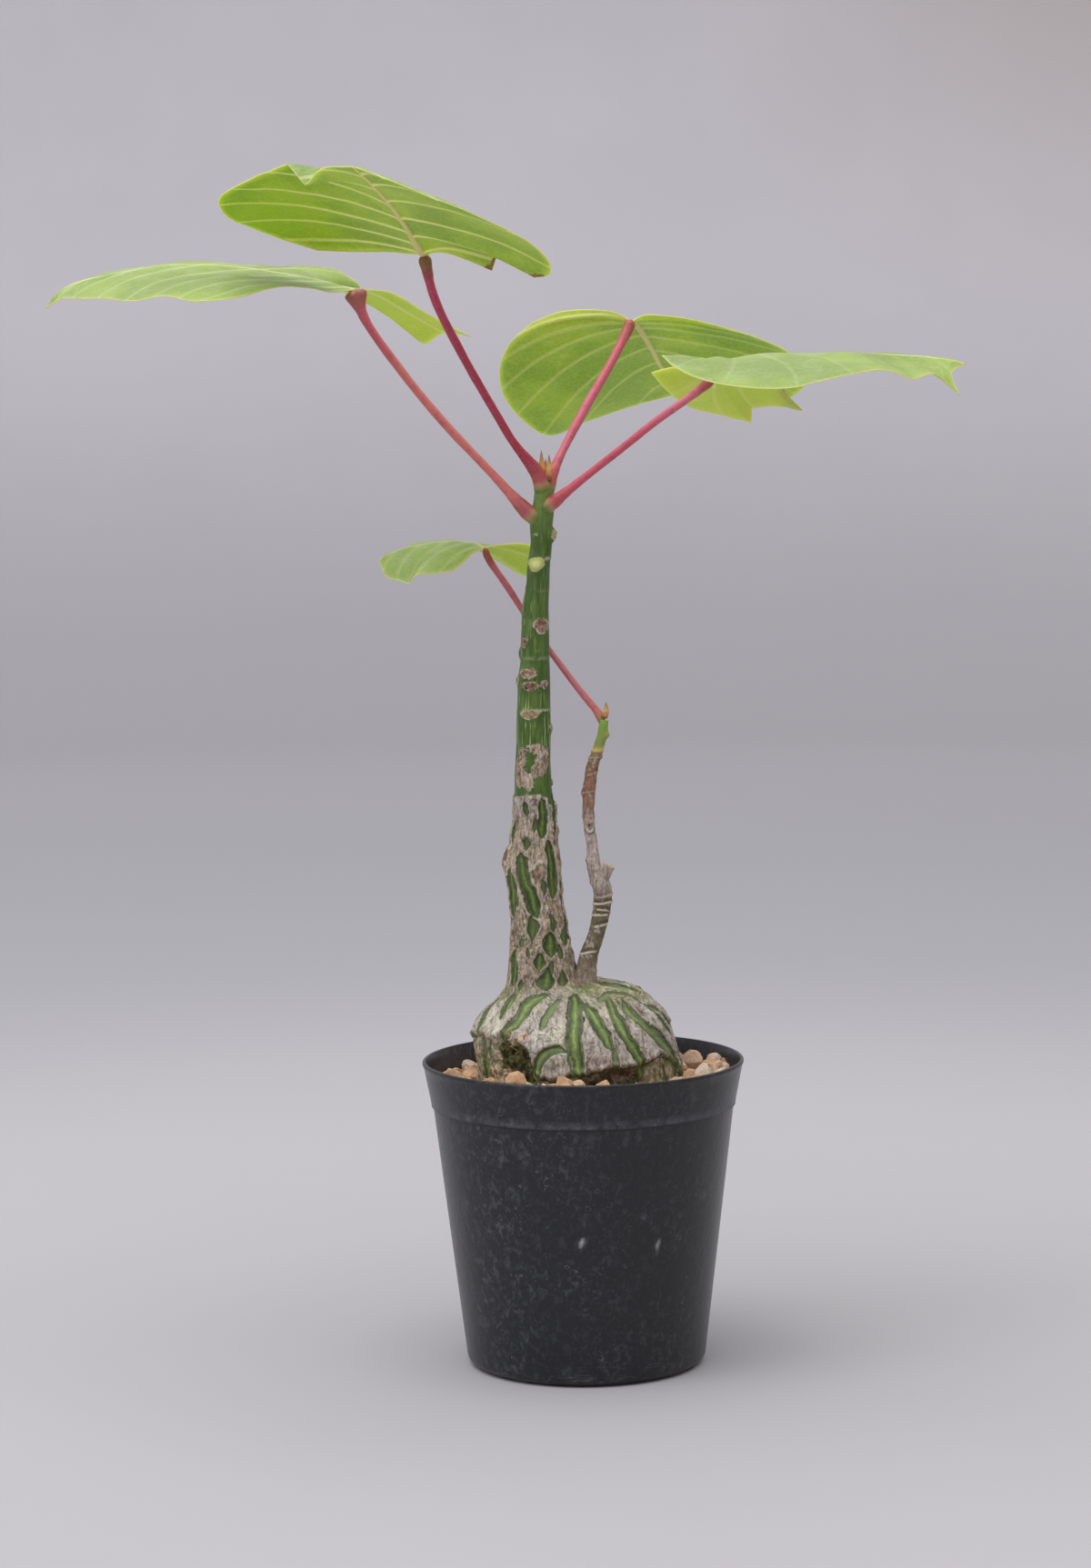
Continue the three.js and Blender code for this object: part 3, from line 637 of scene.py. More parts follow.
@dataclass(frozen=True)
class PotPlastic:
    """Thin charcoal plastic with a soft sheen, under blotches of dust, water rings and a few pale scuffs."""

    colour: Colour = srgb(21, 24, 29)
    dust: Colour = srgb(138, 140, 144)
    stress: Colour = srgb(196, 198, 200)
    soiled: Colour = srgb(60, 47, 38)
    # The painted shade line under the band's step
    step_shade: Colour = srgb(8, 8, 10)

    def material(self) -> Material:
        """Dust in blotches, flecks and rings over the plain colour.

        Marks give the painted shade under the band's step, the painted highlight along the band's edge,
        the dents and the soil stains.

        Returns:
            The material.
        """
        b = Bench("pot_plastic")
        drawn = b.drawn(1, 0.75)
        cloud = b.blots(0.38, 0.62, 0.05, 4, 0.6)
        side = b.span(b.axis("X"), 25, -40)
        amount = b.sum(b.times(cloud, 0.5), b.times(side, 0.45), 0.2)
        blotch = b.blots(0.5, 0.7, 0.42, 4, 0.6, 0.6, drawn)
        mottle = b.blots(0.48, 0.72, 0.95, 4, 0.62, 0, drawn)
        drift = b.put("TexNoise", {"Vector": b.mm, "Scale": 0.5}).outputs["Color"]
        bent = b.put("VectorMath", {0: b.mm, 1: drift}, operation="ADD").outputs[0]
        ring = b.span(b.apart(b.cells(0.4, at=bent), 0.3), 0.1, 0.01)
        some = b.span(b.cells(0.4, at=bent, read="Color"), 0.46, 0.6)
        rings = b.times(ring, some, b.blots(0.42, 0.62, 0.8, 2), b.blots(0.44, 0.6, 0.09, 2))
        fleck = b.times(b.span(b.cells(0.5, at=drawn), 0.13, 0.06),
                        b.span(b.cells(0.5, at=drawn, read="Color"), 0.6, 0.7))
        scuff = b.times(b.span(b.apart(b.noise(0.16, 1, 0.5, 0.9), 0.5), 0.006, 0.001),
                        b.blots(0.52, 0.6, 0.1, 2), b.blots(0.4, 0.55, 0.7, 2))
        low = b.span(b.axis("Z"), 9, 3)
        scrape = b.times(low, b.span(b.noise(0.5, 4, 0.6, 0, b.drawn(0.35, 4)), 0.56, 0.66))
        clouded = b.sum(b.times(blotch, 0.17), b.times(mottle, 0.1), b.times(rings, 0.32))
        # Dust, with a painted highlight along the band's lower edge added as more dust
        level = b.sum(b.times(amount, clouded),
                      b.times(scuff, 0.26), b.times(scrape, 0.2), b.times(fleck, amount, 0.4),
                      b.times(b.mark("band_edge_highlight"), b.blots(0.3, 0.6, 0.3, 3), 0.34))
        dust_and_painted_light = b.mix(level, self.colour, self.dust)
        # Painted shade: a dark line under the band's step
        dust_and_painted_light = b.mix(b.mark("band_step_shade"), dust_and_painted_light, self.step_shade)
        grain = b.times(b.mark("soil_stain"), b.blots(0.45, 0.62, 0.6, 4))
        stained = b.mix(grain, dust_and_painted_light, self.soiled)
        strained = b.times(b.mark("stress"), b.span(b.noise(1.1, 3), 0.34, 0.5, 0.45, 1))
        pale = b.mix(strained, stained, self.stress)
        relief = b.bump(b.noise(0.35, 3), 0.12, under=b.bump(b.noise(3.2, 3), 0.012))
        return b.finish(Base_Color=pale, Roughness=b.span(level, 0, 0.3, 0.3, 0.52), Normal=relief,
                        Specular_IOR_Level=0.5)


@dataclass(frozen=True)
class PottingSoil:
    """Dark brown loose soil with lighter fibres and crumbs."""

    dark: Colour = srgb(40, 29, 21)
    light: Colour = srgb(96, 76, 57)

    def material(self) -> Material:
        """Crumbs by two sizes of noise.

        Returns:
            The material.
        """
        b = Bench("potting_soil")
        crumb = b.noise(0.9, 5, 0.65)
        colour = b.ramp(crumb, [(0.35, self.dark), (0.62, self.light)])
        return b.finish(Base_Color=colour, Roughness=0.95, Normal=b.bump(crumb, 0.8),
                        Specular_IOR_Level=0.2)


@dataclass(frozen=True)
class Grit:
    """Dry porous grit, from whitish to peach and rusty tan, each grain of its own tone."""

    peach: Colour = srgb(226, 184, 146)
    rust: Colour = srgb(198, 142, 98)
    chalk: Colour = srgb(238, 224, 206)
    fines: Colour = srgb(64, 48, 36)
    moss: Colour = srgb(74, 84, 38)

    def material(self) -> Material:
        """The mark tone picks each grain's colour, and below 0 it is the dark fines of the bed.

        Returns:
            The material.
        """
        b = Bench("grit")
        tone = b.sum(b.mark("tone"), b.wobble(0.8, 0.6, 4, 0.6))
        stone = b.ramp(tone, [(0.1, self.rust), (0.45, self.peach), (0.95, self.chalk)])
        pits = b.blots(0.36, 0.52, 2.2, 3, 0.6)
        stone = b.mix(b.span(pits, 1, 0, 0, 0.35), stone, self.rust)
        soiled = b.mix(b.span(b.noise(0.25, 4), 0.6, 0.72, 0, 0.4), stone, self.fines)
        bed = b.mix(b.blots(0.5, 0.64, 0.15, 3), self.fines, self.moss)
        bed = b.mix(b.span(b.noise(1.1, 4, 0.65), 0.56, 0.7, 0, 0.7), bed, self.rust)
        colour = b.mix(b.span(b.mark("tone"), -0.5, -0.2), bed, soiled)
        return b.finish(Base_Color=colour, Roughness=0.93, Normal=b.bump(b.noise(2.0, 4, 0.65), 0.5),
                        Specular_IOR_Level=0.25)


@dataclass(frozen=True)
class StemSkin:
    """Grey cork plates, living green skin in stripes and lenses between them, and smooth green wood above."""

    cork_dark: Colour = srgb(140, 127, 112)
    cork: Colour = srgb(190, 176, 163)
    cork_pale: Colour = srgb(220, 212, 202)
    cork_low: Colour = srgb(140, 122, 106)
    crumb_dark: Colour = srgb(128, 110, 88)
    crumb: Colour = srgb(174, 153, 127)
    crumb_pale: Colour = srgb(212, 194, 172)
    bleached: Colour = srgb(236, 230, 206)
    rosy: Colour = srgb(206, 182, 160)
    rosy_dark: Colour = srgb(160, 132, 106)
    # Dark cracks, also the painted shadow at each flake's foot
    crack: Colour = srgb(74, 60, 44)
    crown_cream: Colour = srgb(190, 178, 142)
    crown_green: Colour = srgb(150, 154, 98)
    rim: Colour = srgb(206, 198, 174)
    vein: Colour = srgb(160, 176, 104)
    vivid: Colour = srgb(126, 152, 74)
    living: Colour = srgb(110, 130, 72)
    shade: Colour = srgb(82, 98, 56)
    deep: Colour = srgb(60, 74, 42)
    dull: Colour = srgb(138, 146, 112)
    trunk_tone: Colour = srgb(200, 208, 178)
    young: Colour = srgb(69, 98, 34)
    young_pale: Colour = srgb(98, 124, 56)
    young_top: Colour = srgb(112, 140, 62)
    streak: Colour = srgb(162, 182, 112)
    fresh_scar: Colour = srgb(190, 196, 92)
    fresh_heart: Colour = srgb(222, 226, 158)
    old_scar: Colour = srgb(166, 130, 108)
    scar_heart: Colour = srgb(104, 70, 56)
    moss: Colour = srgb(82, 88, 40)
    # Dark damp brown, also used for painted shade under the plates' ledge and in the hollows
    damp_and_shade: Colour = srgb(46, 36, 25)
    damp_and_shade_light: Colour = srgb(112, 84, 60)
    base_green: Colour = srgb(118, 122, 76)
    base_tan: Colour = srgb(160, 146, 112)
    base_cream: Colour = srgb(204, 190, 156)
    moss_pale: Colour = srgb(128, 120, 70)
    crust_dark: Colour = srgb(142, 92, 62)
    crust: Colour = srgb(196, 158, 124)
    crust_pale: Colour = srgb(226, 210, 184)

    def cork_colour(self, b: Bench, fibre: Socket) -> tuple[Socket, ...]:
        """Cork: wrinkled pale plates on the caudex and crumbly brown ones on the trunk, with dark cracks.

        Plates are bleached where marked and rosy at the trunk's top; each flake has a painted highlight
        on its lip and a painted shadow at its foot, and the crown has a net of green.

        Args:
            b: The material's bench.
            fibre: Coordinates that are drawn out along the stem.

        Returns:
            The colour, and the height of its relief from 0 to 1.
        """
        grain = b.noise(0.5, 4, 0.56, 0.9, fibre)
        patch = b.noise(0.12, 3, 0.5)
        crumbs = b.noise(0.95, 4, 0.6)
        tone = b.sum(b.times(grain, 0.62), b.times(patch, 0.2), b.times(crumbs, 0.18))
        plates = b.ramp(tone, [(0.4, self.cork_dark), (0.48, self.cork), (0.58, self.cork_pale)])
        height = b.axis("Z")
        plates = b.mix(b.span(height, 104, 92, 0, 0.55), plates, self.cork_low)
        sunned = b.times(b.mark("bleached"), b.span(grain, 0.38, 0.5, 0.5, 0.95))
        plates = b.mix(sunned, plates, self.bleached)
        upper = b.mix(b.span(grain, 0.44, 0.56), self.rosy_dark, self.rosy)
        plates = b.mix(b.span(height, 174, 182), plates, upper)
        strands = b.noise(0.8, 4, 0.6, 0.4, fibre)
        loose = b.sum(b.times(strands, 0.5), b.times(crumbs, 0.25), b.times(patch, 0.25))
        rough = b.ramp(loose, [(0.4, self.crumb_dark), (0.48, self.crumb), (0.58, self.crumb_pale)])
        colour = b.mix(b.mark("crumbly"), plates, rough)
        line = b.apart(b.noise(0.3, 4, 0.6, 1.4, fibre), 0.5)
        cracked = b.times(b.span(line, 0.016, 0.002), b.blots(0.44, 0.6, 0.3, 2))
        fine = b.times(b.span(b.apart(b.noise(1.1, 4, 0.65, 0.8, fibre), 0.5), 0.014, 0.002), 0.55)
        cracked = b.put("Math", {0: cracked, 1: fine}, operation="MAXIMUM").outputs[0]
        colour = b.mix(b.times(cracked, 0.8), colour, self.crack)
        # Painted highlight on each flake's lip, and painted shadow at its foot in the crack colour
        lip = b.times(b.mark("flake_lip_highlight"), b.span(crumbs, 0.4, 0.55, 0.25, 0.75))
        foot = b.times(b.mark("flake_step_shadow"), b.span(crumbs, 0.4, 0.55, 0.6, 0.2))
        colour = b.mix(foot, b.mix(lip, colour, self.cork_pale), self.crack)
        net = b.cells(0.34, "DISTANCE_TO_EDGE", b.moved(b.mm, 0.5, 0.9))
        crown = b.mix(b.blots(0.4, 0.58, 0.3, 4, 0.6), self.crown_cream, self.crown_green)
        crown = b.mix(b.span(net, 0.1, 0.02), crown, self.living)
        colour = b.mix(b.times(b.mark("crown"), b.blots(0.38, 0.52, 0.4, 3)), colour, crown)
        height = b.less(b.sum(b.times(grain, 0.6), b.times(crumbs, 0.4)), b.times(cracked, 0.45))
        return colour, height

    def living_colour(self, b: Bench, stripe: Socket, fibre: Socket) -> Socket:
        """Living skin: a wavy pale line in the middle, then green, dark at the edge and milky in places.

        Args:
            b: The material's bench.
            stripe: 0 in the middle of a stripe and 1 at its edge.
            fibre: Coordinates that are drawn out along the stem.

        Returns:
            The colour.
        """
        across = b.drawn(0.3, 2.6, fibre)
        bars = b.noise(0.8, 3, 0.6, 0.2, across)
        loose = b.sum(b.wobble(0.8, 0.5, 3, 0.6), b.wobble(0.3, 1.4, 3))
        wavy = b.sum(stripe, b.times(loose, b.span(stripe, 0.0, 0.4, 0.15, 1)))
        bright = b.ramp(wavy, [(0.05, self.vein), (0.15, self.vivid), (0.3, self.living), (0.5, self.shade),
                               (0.68, self.deep), (0.84, self.shade), (0.93, self.dull), (1.0, self.deep)])
        sober = b.ramp(wavy, [(0.03, self.living), (0.3, self.dull), (0.6, self.dull), (0.97, self.shade)])
        barred = b.mix(b.span(bars, 0.52, 0.64, 0, 0.45), bright, self.shade)
        milky = b.times(b.blots(0.5, 0.62, 0.14, 3), b.span(wavy, 0.35, 0.6), 0.6)
        barred = b.mix(milky, barred, self.dull)
        colour = b.mix(b.mark("vivid"), sober, barred)
        return b.mix(b.mark("trunk"), colour, self.trunk_tone, "MULTIPLY")

    def scar_colour(self, b: Bench, skin: Socket) -> Socket:
        """Leaf scars: old ones brown and fibrous with a thin broken pale rim, the fresh one yellowish green.

        Args:
            b: The material's bench.
            skin: The colour round them.

        Returns:
            The colour.
        """
        grit = b.noise(1.7, 5, 0.65)
        scar = b.sum(b.mark("scar"), b.times(b.less(grit, 0.5), 0.5))
        fibres = b.noise(0.8, 3, 0.6, 1.2)
        old = b.ramp(fibres, [(0.38, self.scar_heart), (0.52, self.old_scar), (0.72, self.rim)])
        fresh = b.mix(b.span(scar, 0.85, 0.2), self.fresh_scar, self.fresh_heart)
        heart = b.mix(b.mark("scar_age"), fresh, old)
        low = b.span(b.mark("scar_up"), 0.5, -0.5, 0.45, 1)
        edge = b.times(b.span(b.apart(scar, 0.98), 0.15, 0.04), low, b.blots(0.4, 0.54, 0.8, 3))
        rimmed = b.mix(edge, b.mix(b.span(scar, 1.05, 0.95), skin, heart), self.rim)
        upper = b.span(b.mark("scar_up"), -0.35, 0.3, 0.15, 0.8)
        dark = b.times(b.span(scar, 0.85, 0.6), b.mark("scar_age"), upper, b.blots(0.4, 0.56, 0.9, 3))
        return b.mix(dark, rimmed, self.scar_heart)

    def material(self) -> Material:
        """Layers the young wood, the cork, the stripes, the scars and the foot by the mesh's marks, with
        painted shade under the plates' ledge and in the hollows.

        Returns:
            The material.
        """
        b = Bench("stem_skin")
        fibre = b.mark("fibre", vector=True)
        ragged = b.wobble(0.3, 1.5, 4, 0.62)
        stripe = b.sum(b.mark("stripe"), ragged)
        cork, relief = self.cork_colour(b, fibre)
        foot = b.mark("foot")
        tan = b.ramp(b.noise(0.5, 5, 0.66),
                     [(0.42, self.base_green), (0.48, self.base_tan), (0.56, self.base_cream)])
        tan = b.mix(b.span(b.noise(0.7, 4, 0.62), 0.36, 0.47, 0.6, 0), tan, self.damp_and_shade)
        cork = b.mix(b.times(foot, 0.85), cork, tan)
        # Pale rim along each stripe's raised lip: partly the cork's pale edge, partly painted highlight
        rim = b.times(b.span(b.apart(stripe, 1.2), 0.24, 0.06), b.blots(0.36, 0.5, 0.35, 2), 0.75)
        cork = b.mix(b.times(rim, b.less(1.0, foot)), cork, self.rim)
        mottle = b.blots(0.42, 0.68, 0.3, 4, 0.6, 0, fibre)
        young = b.mix(mottle, self.young, self.young_pale)
        young = b.mix(b.mark("top"), young, self.young_top)
        drawn = b.drawn(1, 0.3, fibre)
        lines = b.times(b.blots(0.58, 0.66, 1.1, 2, 0.5, 0.2, drawn), b.blots(0.42, 0.54, 0.13, 2))
        young = b.mix(b.times(lines, b.mark("streaked")), young, self.streak)
        young = b.mix(b.times(b.mark("ring"), b.blots(0.42, 0.5, 0.25, 2)), young, self.rim)
        place = b.sum(b.mark("cork"), b.wobble(3.4, 1.2, 5, 0.66))
        plate = b.span(place, -0.1, 0.1)
        cork = b.mix(b.times(b.span(b.apart(place, 0.25), 0.45, 0.1), 0.6), cork, self.rim)
        colour = b.mix(plate, young, cork)
        inside = b.span(stripe, 1.06, 0.96)
        colour = b.mix(inside, colour, self.living_colour(b, stripe, fibre))
        colour = self.scar_colour(b, colour)
        # Painted shade, in damp browns, under the plates' ledge at the front
        damp_and_shade_tone = b.mix(b.blots(0.48, 0.62, 0.5, 4, 0.6), self.damp_and_shade, self.damp_and_shade_light)
        damp_and_shade_share = b.times(b.mark("damp_and_shade"), b.span(b.noise(0.8, 4, 0.6), 0.34, 0.5, 0.95, 0.7))
        colour = b.mix(damp_and_shade_share, colour, damp_and_shade_tone)
        crumbs = b.noise(0.8, 4, 0.62)
        flaked = b.ramp(crumbs, [(0.4, self.crust_dark), (0.48, self.crust), (0.56, self.crust_pale)])
        # Moss with painted shade in the hollows, and a painted shadow line under the plates' lower edge
        moss_and_shade = b.ramp(b.noise(0.6, 4, 0.62), [(0.42, self.damp_and_shade), (0.52, self.moss), (0.62, self.moss_pale)])
        colour = b.mix(b.span(b.sum(b.mark("moss"), b.wobble(1.9, 0.6, 4, 0.65)), 0.35, 0.6),
                       colour, moss_and_shade)
        colour = b.mix(b.span(b.mark("crust"), 0.3, 0.7), colour, flaked)
        bare = b.times(plate, b.less(1.0, inside))
        rough = b.put("Mix", {0: bare, 2: 0.4, 3: 0.85}).outputs[0]
        height = b.times(relief, b.sum(bare, 0.08))
        return b.finish(Base_Color=colour, Roughness=rough, Normal=b.bump(height, 0.75),
                        Specular_IOR_Level=0.4)


@dataclass(frozen=True)
class ShootBark:
    """The side shoot: olive grey bark below, pale grey, then reddish brown, and green near the tip."""

    bottom: float = 112.0
    top: float = 204.0
    # The share of the way from bottom to top, and the skin's red, green and blue there
    tones: Rows = (
        (0.0, 172, 158, 144), (0.1, 152, 137, 118), (0.2, 120, 110, 84), (0.33, 118, 110, 84),
        (0.385, 172, 158, 146), (0.5, 202, 186, 176), (0.63, 194, 173, 161), (0.675, 170, 127, 107),
        (0.8, 160, 119, 95), (0.845, 152, 126, 92), (0.87, 140, 148, 76), (0.93, 132, 164, 68),
        (1.0, 152, 186, 84),
    )
    furrow: Colour = srgb(92, 80, 66)
    weathered: Colour = srgb(214, 202, 190)
    crack: Colour = srgb(74, 60, 50)
    ring: Colour = srgb(212, 200, 178)
    under_ring: Colour = srgb(66, 54, 44)
    cut: Colour = srgb(206, 188, 158)
    collar: Colour = srgb(208, 190, 104)

    def material(self) -> Material:
        """The height above the pot's base picks the colour, with patches, rings and fine fibres.

        Returns:
            The material.
        """
        b = Bench("shoot_bark")
        height = b.axis("Z")
        moved = b.sum(height, b.wobble(9.0, 0.35, 3, 0.6))
        share = b.put("MapRange", {"Value": moved, "From Min": self.bottom, "From Max": self.top}).outputs[0]
        colour = b.ramp(share, [(place, srgb(*tone)) for place, *tone in self.tones])
        stretched = b.drawn(1, 0.22)
        fibre = b.noise(1.4, 4, 0.6, 0.3, stretched)
        woody = b.span(height, 190.2, 188.6)
        colour = b.mix(b.times(b.span(fibre, 0.4, 0.58, 0.5, 0), woody), colour, self.furrow)
        pale = b.times(b.blots(0.54, 0.66, 0.45, 4, 0.62), woody, 0.5)
        colour = b.mix(pale, colour, self.weathered)
        line = b.apart(b.noise(0.55, 4, 0.62, 0.8, stretched), 0.5)
        colour = b.mix(b.times(b.span(line, 0.018, 0.003), woody, 0.6), colour, self.crack)
        ring = b.times(b.mark("ring"), b.blots(0.3, 0.44, 0.5, 2))
        colour = b.mix(b.span(ring, 0.2, 0.75), colour, self.ring)
        under = b.times(b.mark("ring_shade"), b.blots(0.3, 0.46, 0.5, 2), 0.85)
        colour = b.mix(under, colour, self.under_ring)
        colour = b.mix(b.mark("cut"), colour, self.cut)
        colour = b.mix(b.mark("collar"), colour, self.collar)
        relief = b.bump(b.sum(b.times(fibre, 0.7), b.times(b.noise(2.2, 3), 0.3)), 0.35)
        return b.finish(Base_Color=colour, Roughness=b.span(height, 186, 191, 0.82, 0.4), Normal=relief,
                        Specular_IOR_Level=0.4)


@dataclass(frozen=True)
class BudScale:
    """Dry papery stipules: tan, browner at the tip, rosy at the foot."""

    foot: Colour = srgb(150, 82, 50)
    middle: Colour = srgb(224, 178, 108)
    tip: Colour = srgb(150, 104, 70)

    def material(self) -> Material:
        """The mark along goes from the foot to the tip.

        Returns:
            The material.
        """
        b = Bench("bud_scale")
        place = b.sum(b.mark("along"), b.wobble(0.5, 0.9, 3))
        colour = b.ramp(place, [(0.05, self.foot), (0.45, self.middle), (0.95, self.tip)])
        drawn = b.drawn(1, 0.2)
        return b.finish(Base_Color=colour, Roughness=0.6, Normal=b.bump(b.noise(3.0, 3, at=drawn), 0.2))


@dataclass(frozen=True)
class StalkSkin:
    """Smooth red skin of one leaf stalk: green at its foot, then its own tones up to the blade."""

    foot: Colour
    middle: Colour
    top: Colour
    upper: Colour | None = None
    stem_green: Colour = srgb(98, 126, 52)
    stem_tan: Colour = srgb(176, 142, 92)
    sheen: Colour = srgb(226, 150, 150)
    dark: Colour = srgb(120, 34, 52)
    green_reach: float = 4.5

    def material(self, name: str) -> Material:
        """The marks from_foot and from_top, in millimetres, pick the tone; dots and streaks break it up.

        Args:
            name: The material's name.

        Returns:
            The material.
        """
        b = Bench(name)
        uneven = b.wobble(2.4, 0.35, 2)
        foot = b.sum(b.mark("from_foot"), uneven)
        top = b.sum(b.mark("from_top"), uneven)
        shaft = b.mix(b.span(top, 34, 12), self.middle, self.upper or self.middle)
        reach = self.green_reach
        colour = b.mix(b.span(foot, reach + 3, reach + 10), self.foot, shaft)
        tanned = b.mix(b.span(foot, reach - 0.4, reach + 2.0), self.stem_tan, colour)
        colour = b.mix(b.span(foot, reach - 2.0, reach + 0.4), self.stem_green, tanned)
        colour = b.mix(b.span(top, 9, 2.5), colour, self.top)
        colour = b.mix(b.span(b.noise(1.8, 3, 0.6), 0.52, 0.72, 0, 0.3), colour, self.sheen)
        colour = b.mix(b.span(b.noise(0.4, 3), 0.52, 0.72, 0, 0.3), colour, self.dark)
        return b.finish(Base_Color=colour, Roughness=0.38, Normal=b.bump(b.noise(2.0, 3), 0.06),
                        Subsurface_Weight=0.15, Subsurface_Radius=(1.0, 0.3, 0.25), Subsurface_Scale=0.001)


class LeafSide(Enum):
    """Which side of a blade a skin is on."""

    UPPER = "upper"
    UNDER = "under"


@dataclass(frozen=True)
class LeafSkin:
    """One side of a blade: green flesh with paler veins and a pale, thin margin."""

    side: LeafSide
    flesh: Colour
    fresh: Colour
    vein: Colour
    rib: Colour
    margin: Colour
    roughness: float
    # How much pale waxy bloom shows, with painted sheen
    bloom_and_sheen: float = 0.0
    frost_and_sheen: Colour = srgb(206, 216, 190)
    scorched: Colour = srgb(122, 66, 40)
    young: Colour = srgb(190, 206, 104)

    def material(self) -> Material:
        """Flesh in two tones, a fine net, then the side veins, the midrib, pale bloom with painted sheen, the
        margin and scorched bites.

        Returns:
            The material.
        """
        b = Bench(f"leaf_{self.side.value}")
        tone = b.blots(0.4, 0.62, 0.035, 4, 0.55)
        colour = b.mix(b.mark(f"youth_{self.side.value}"), b.mix(tone, self.flesh, self.fresh), self.young)
        net = b.span(b.cells(0.42, "DISTANCE_TO_EDGE"), 0.09, 0.0)
        finer = b.span(b.cells(1.3, "DISTANCE_TO_EDGE"), 0.12, 0.0)
        colour = b.mix(b.sum(b.times(net, 0.18), b.times(finer, 0.08)), colour, self.vein)
        vein = b.span(b.mark("vein"), 1.5, 0.5)
        colour = b.mix(b.times(vein, b.mark("vein_show")), colour, self.vein)
        colour = b.mix(b.span(b.mark("rib"), 1.3, 0.5), colour, self.rib)
        # Pale patches of waxy bloom, with painted sheen
        bloom_and_sheen = b.times(b.blots(0.42, 0.7, 0.11, 5, 0.6), b.blots(0.3, 0.7, 0.5, 4), self.bloom_and_sheen)
        colour = b.mix(bloom_and_sheen, colour, self.frost_and_sheen)
        edge = b.sum(b.mark("edge"), b.wobble(0.3, 0.5, 2))
        colour = b.mix(b.span(edge, 2.2, 0.4, 0, 0.15), colour, self.margin)
        colour = b.mix(b.span(edge, 0.4, 0.12, 0, 0.7), colour, self.margin)
        burnt = b.sum(b.mark("scorch"), b.wobble(1.0, 0.9, 3))
        colour = b.mix(b.span(burnt, 1.1, 0.8), colour, self.scorched)
        height = b.sum(b.times(net, -0.5), b.times(finer, -0.25), b.times(b.noise(0.9, 3), 0.5))
        return b.finish(Base_Color=colour, Roughness=self.roughness, Normal=b.bump(height, 0.12),
                        Subsurface_Weight=0.8, Subsurface_Radius=(1.6, 2.0, 0.5), Subsurface_Scale=0.001,
                        Specular_IOR_Level=0.5)


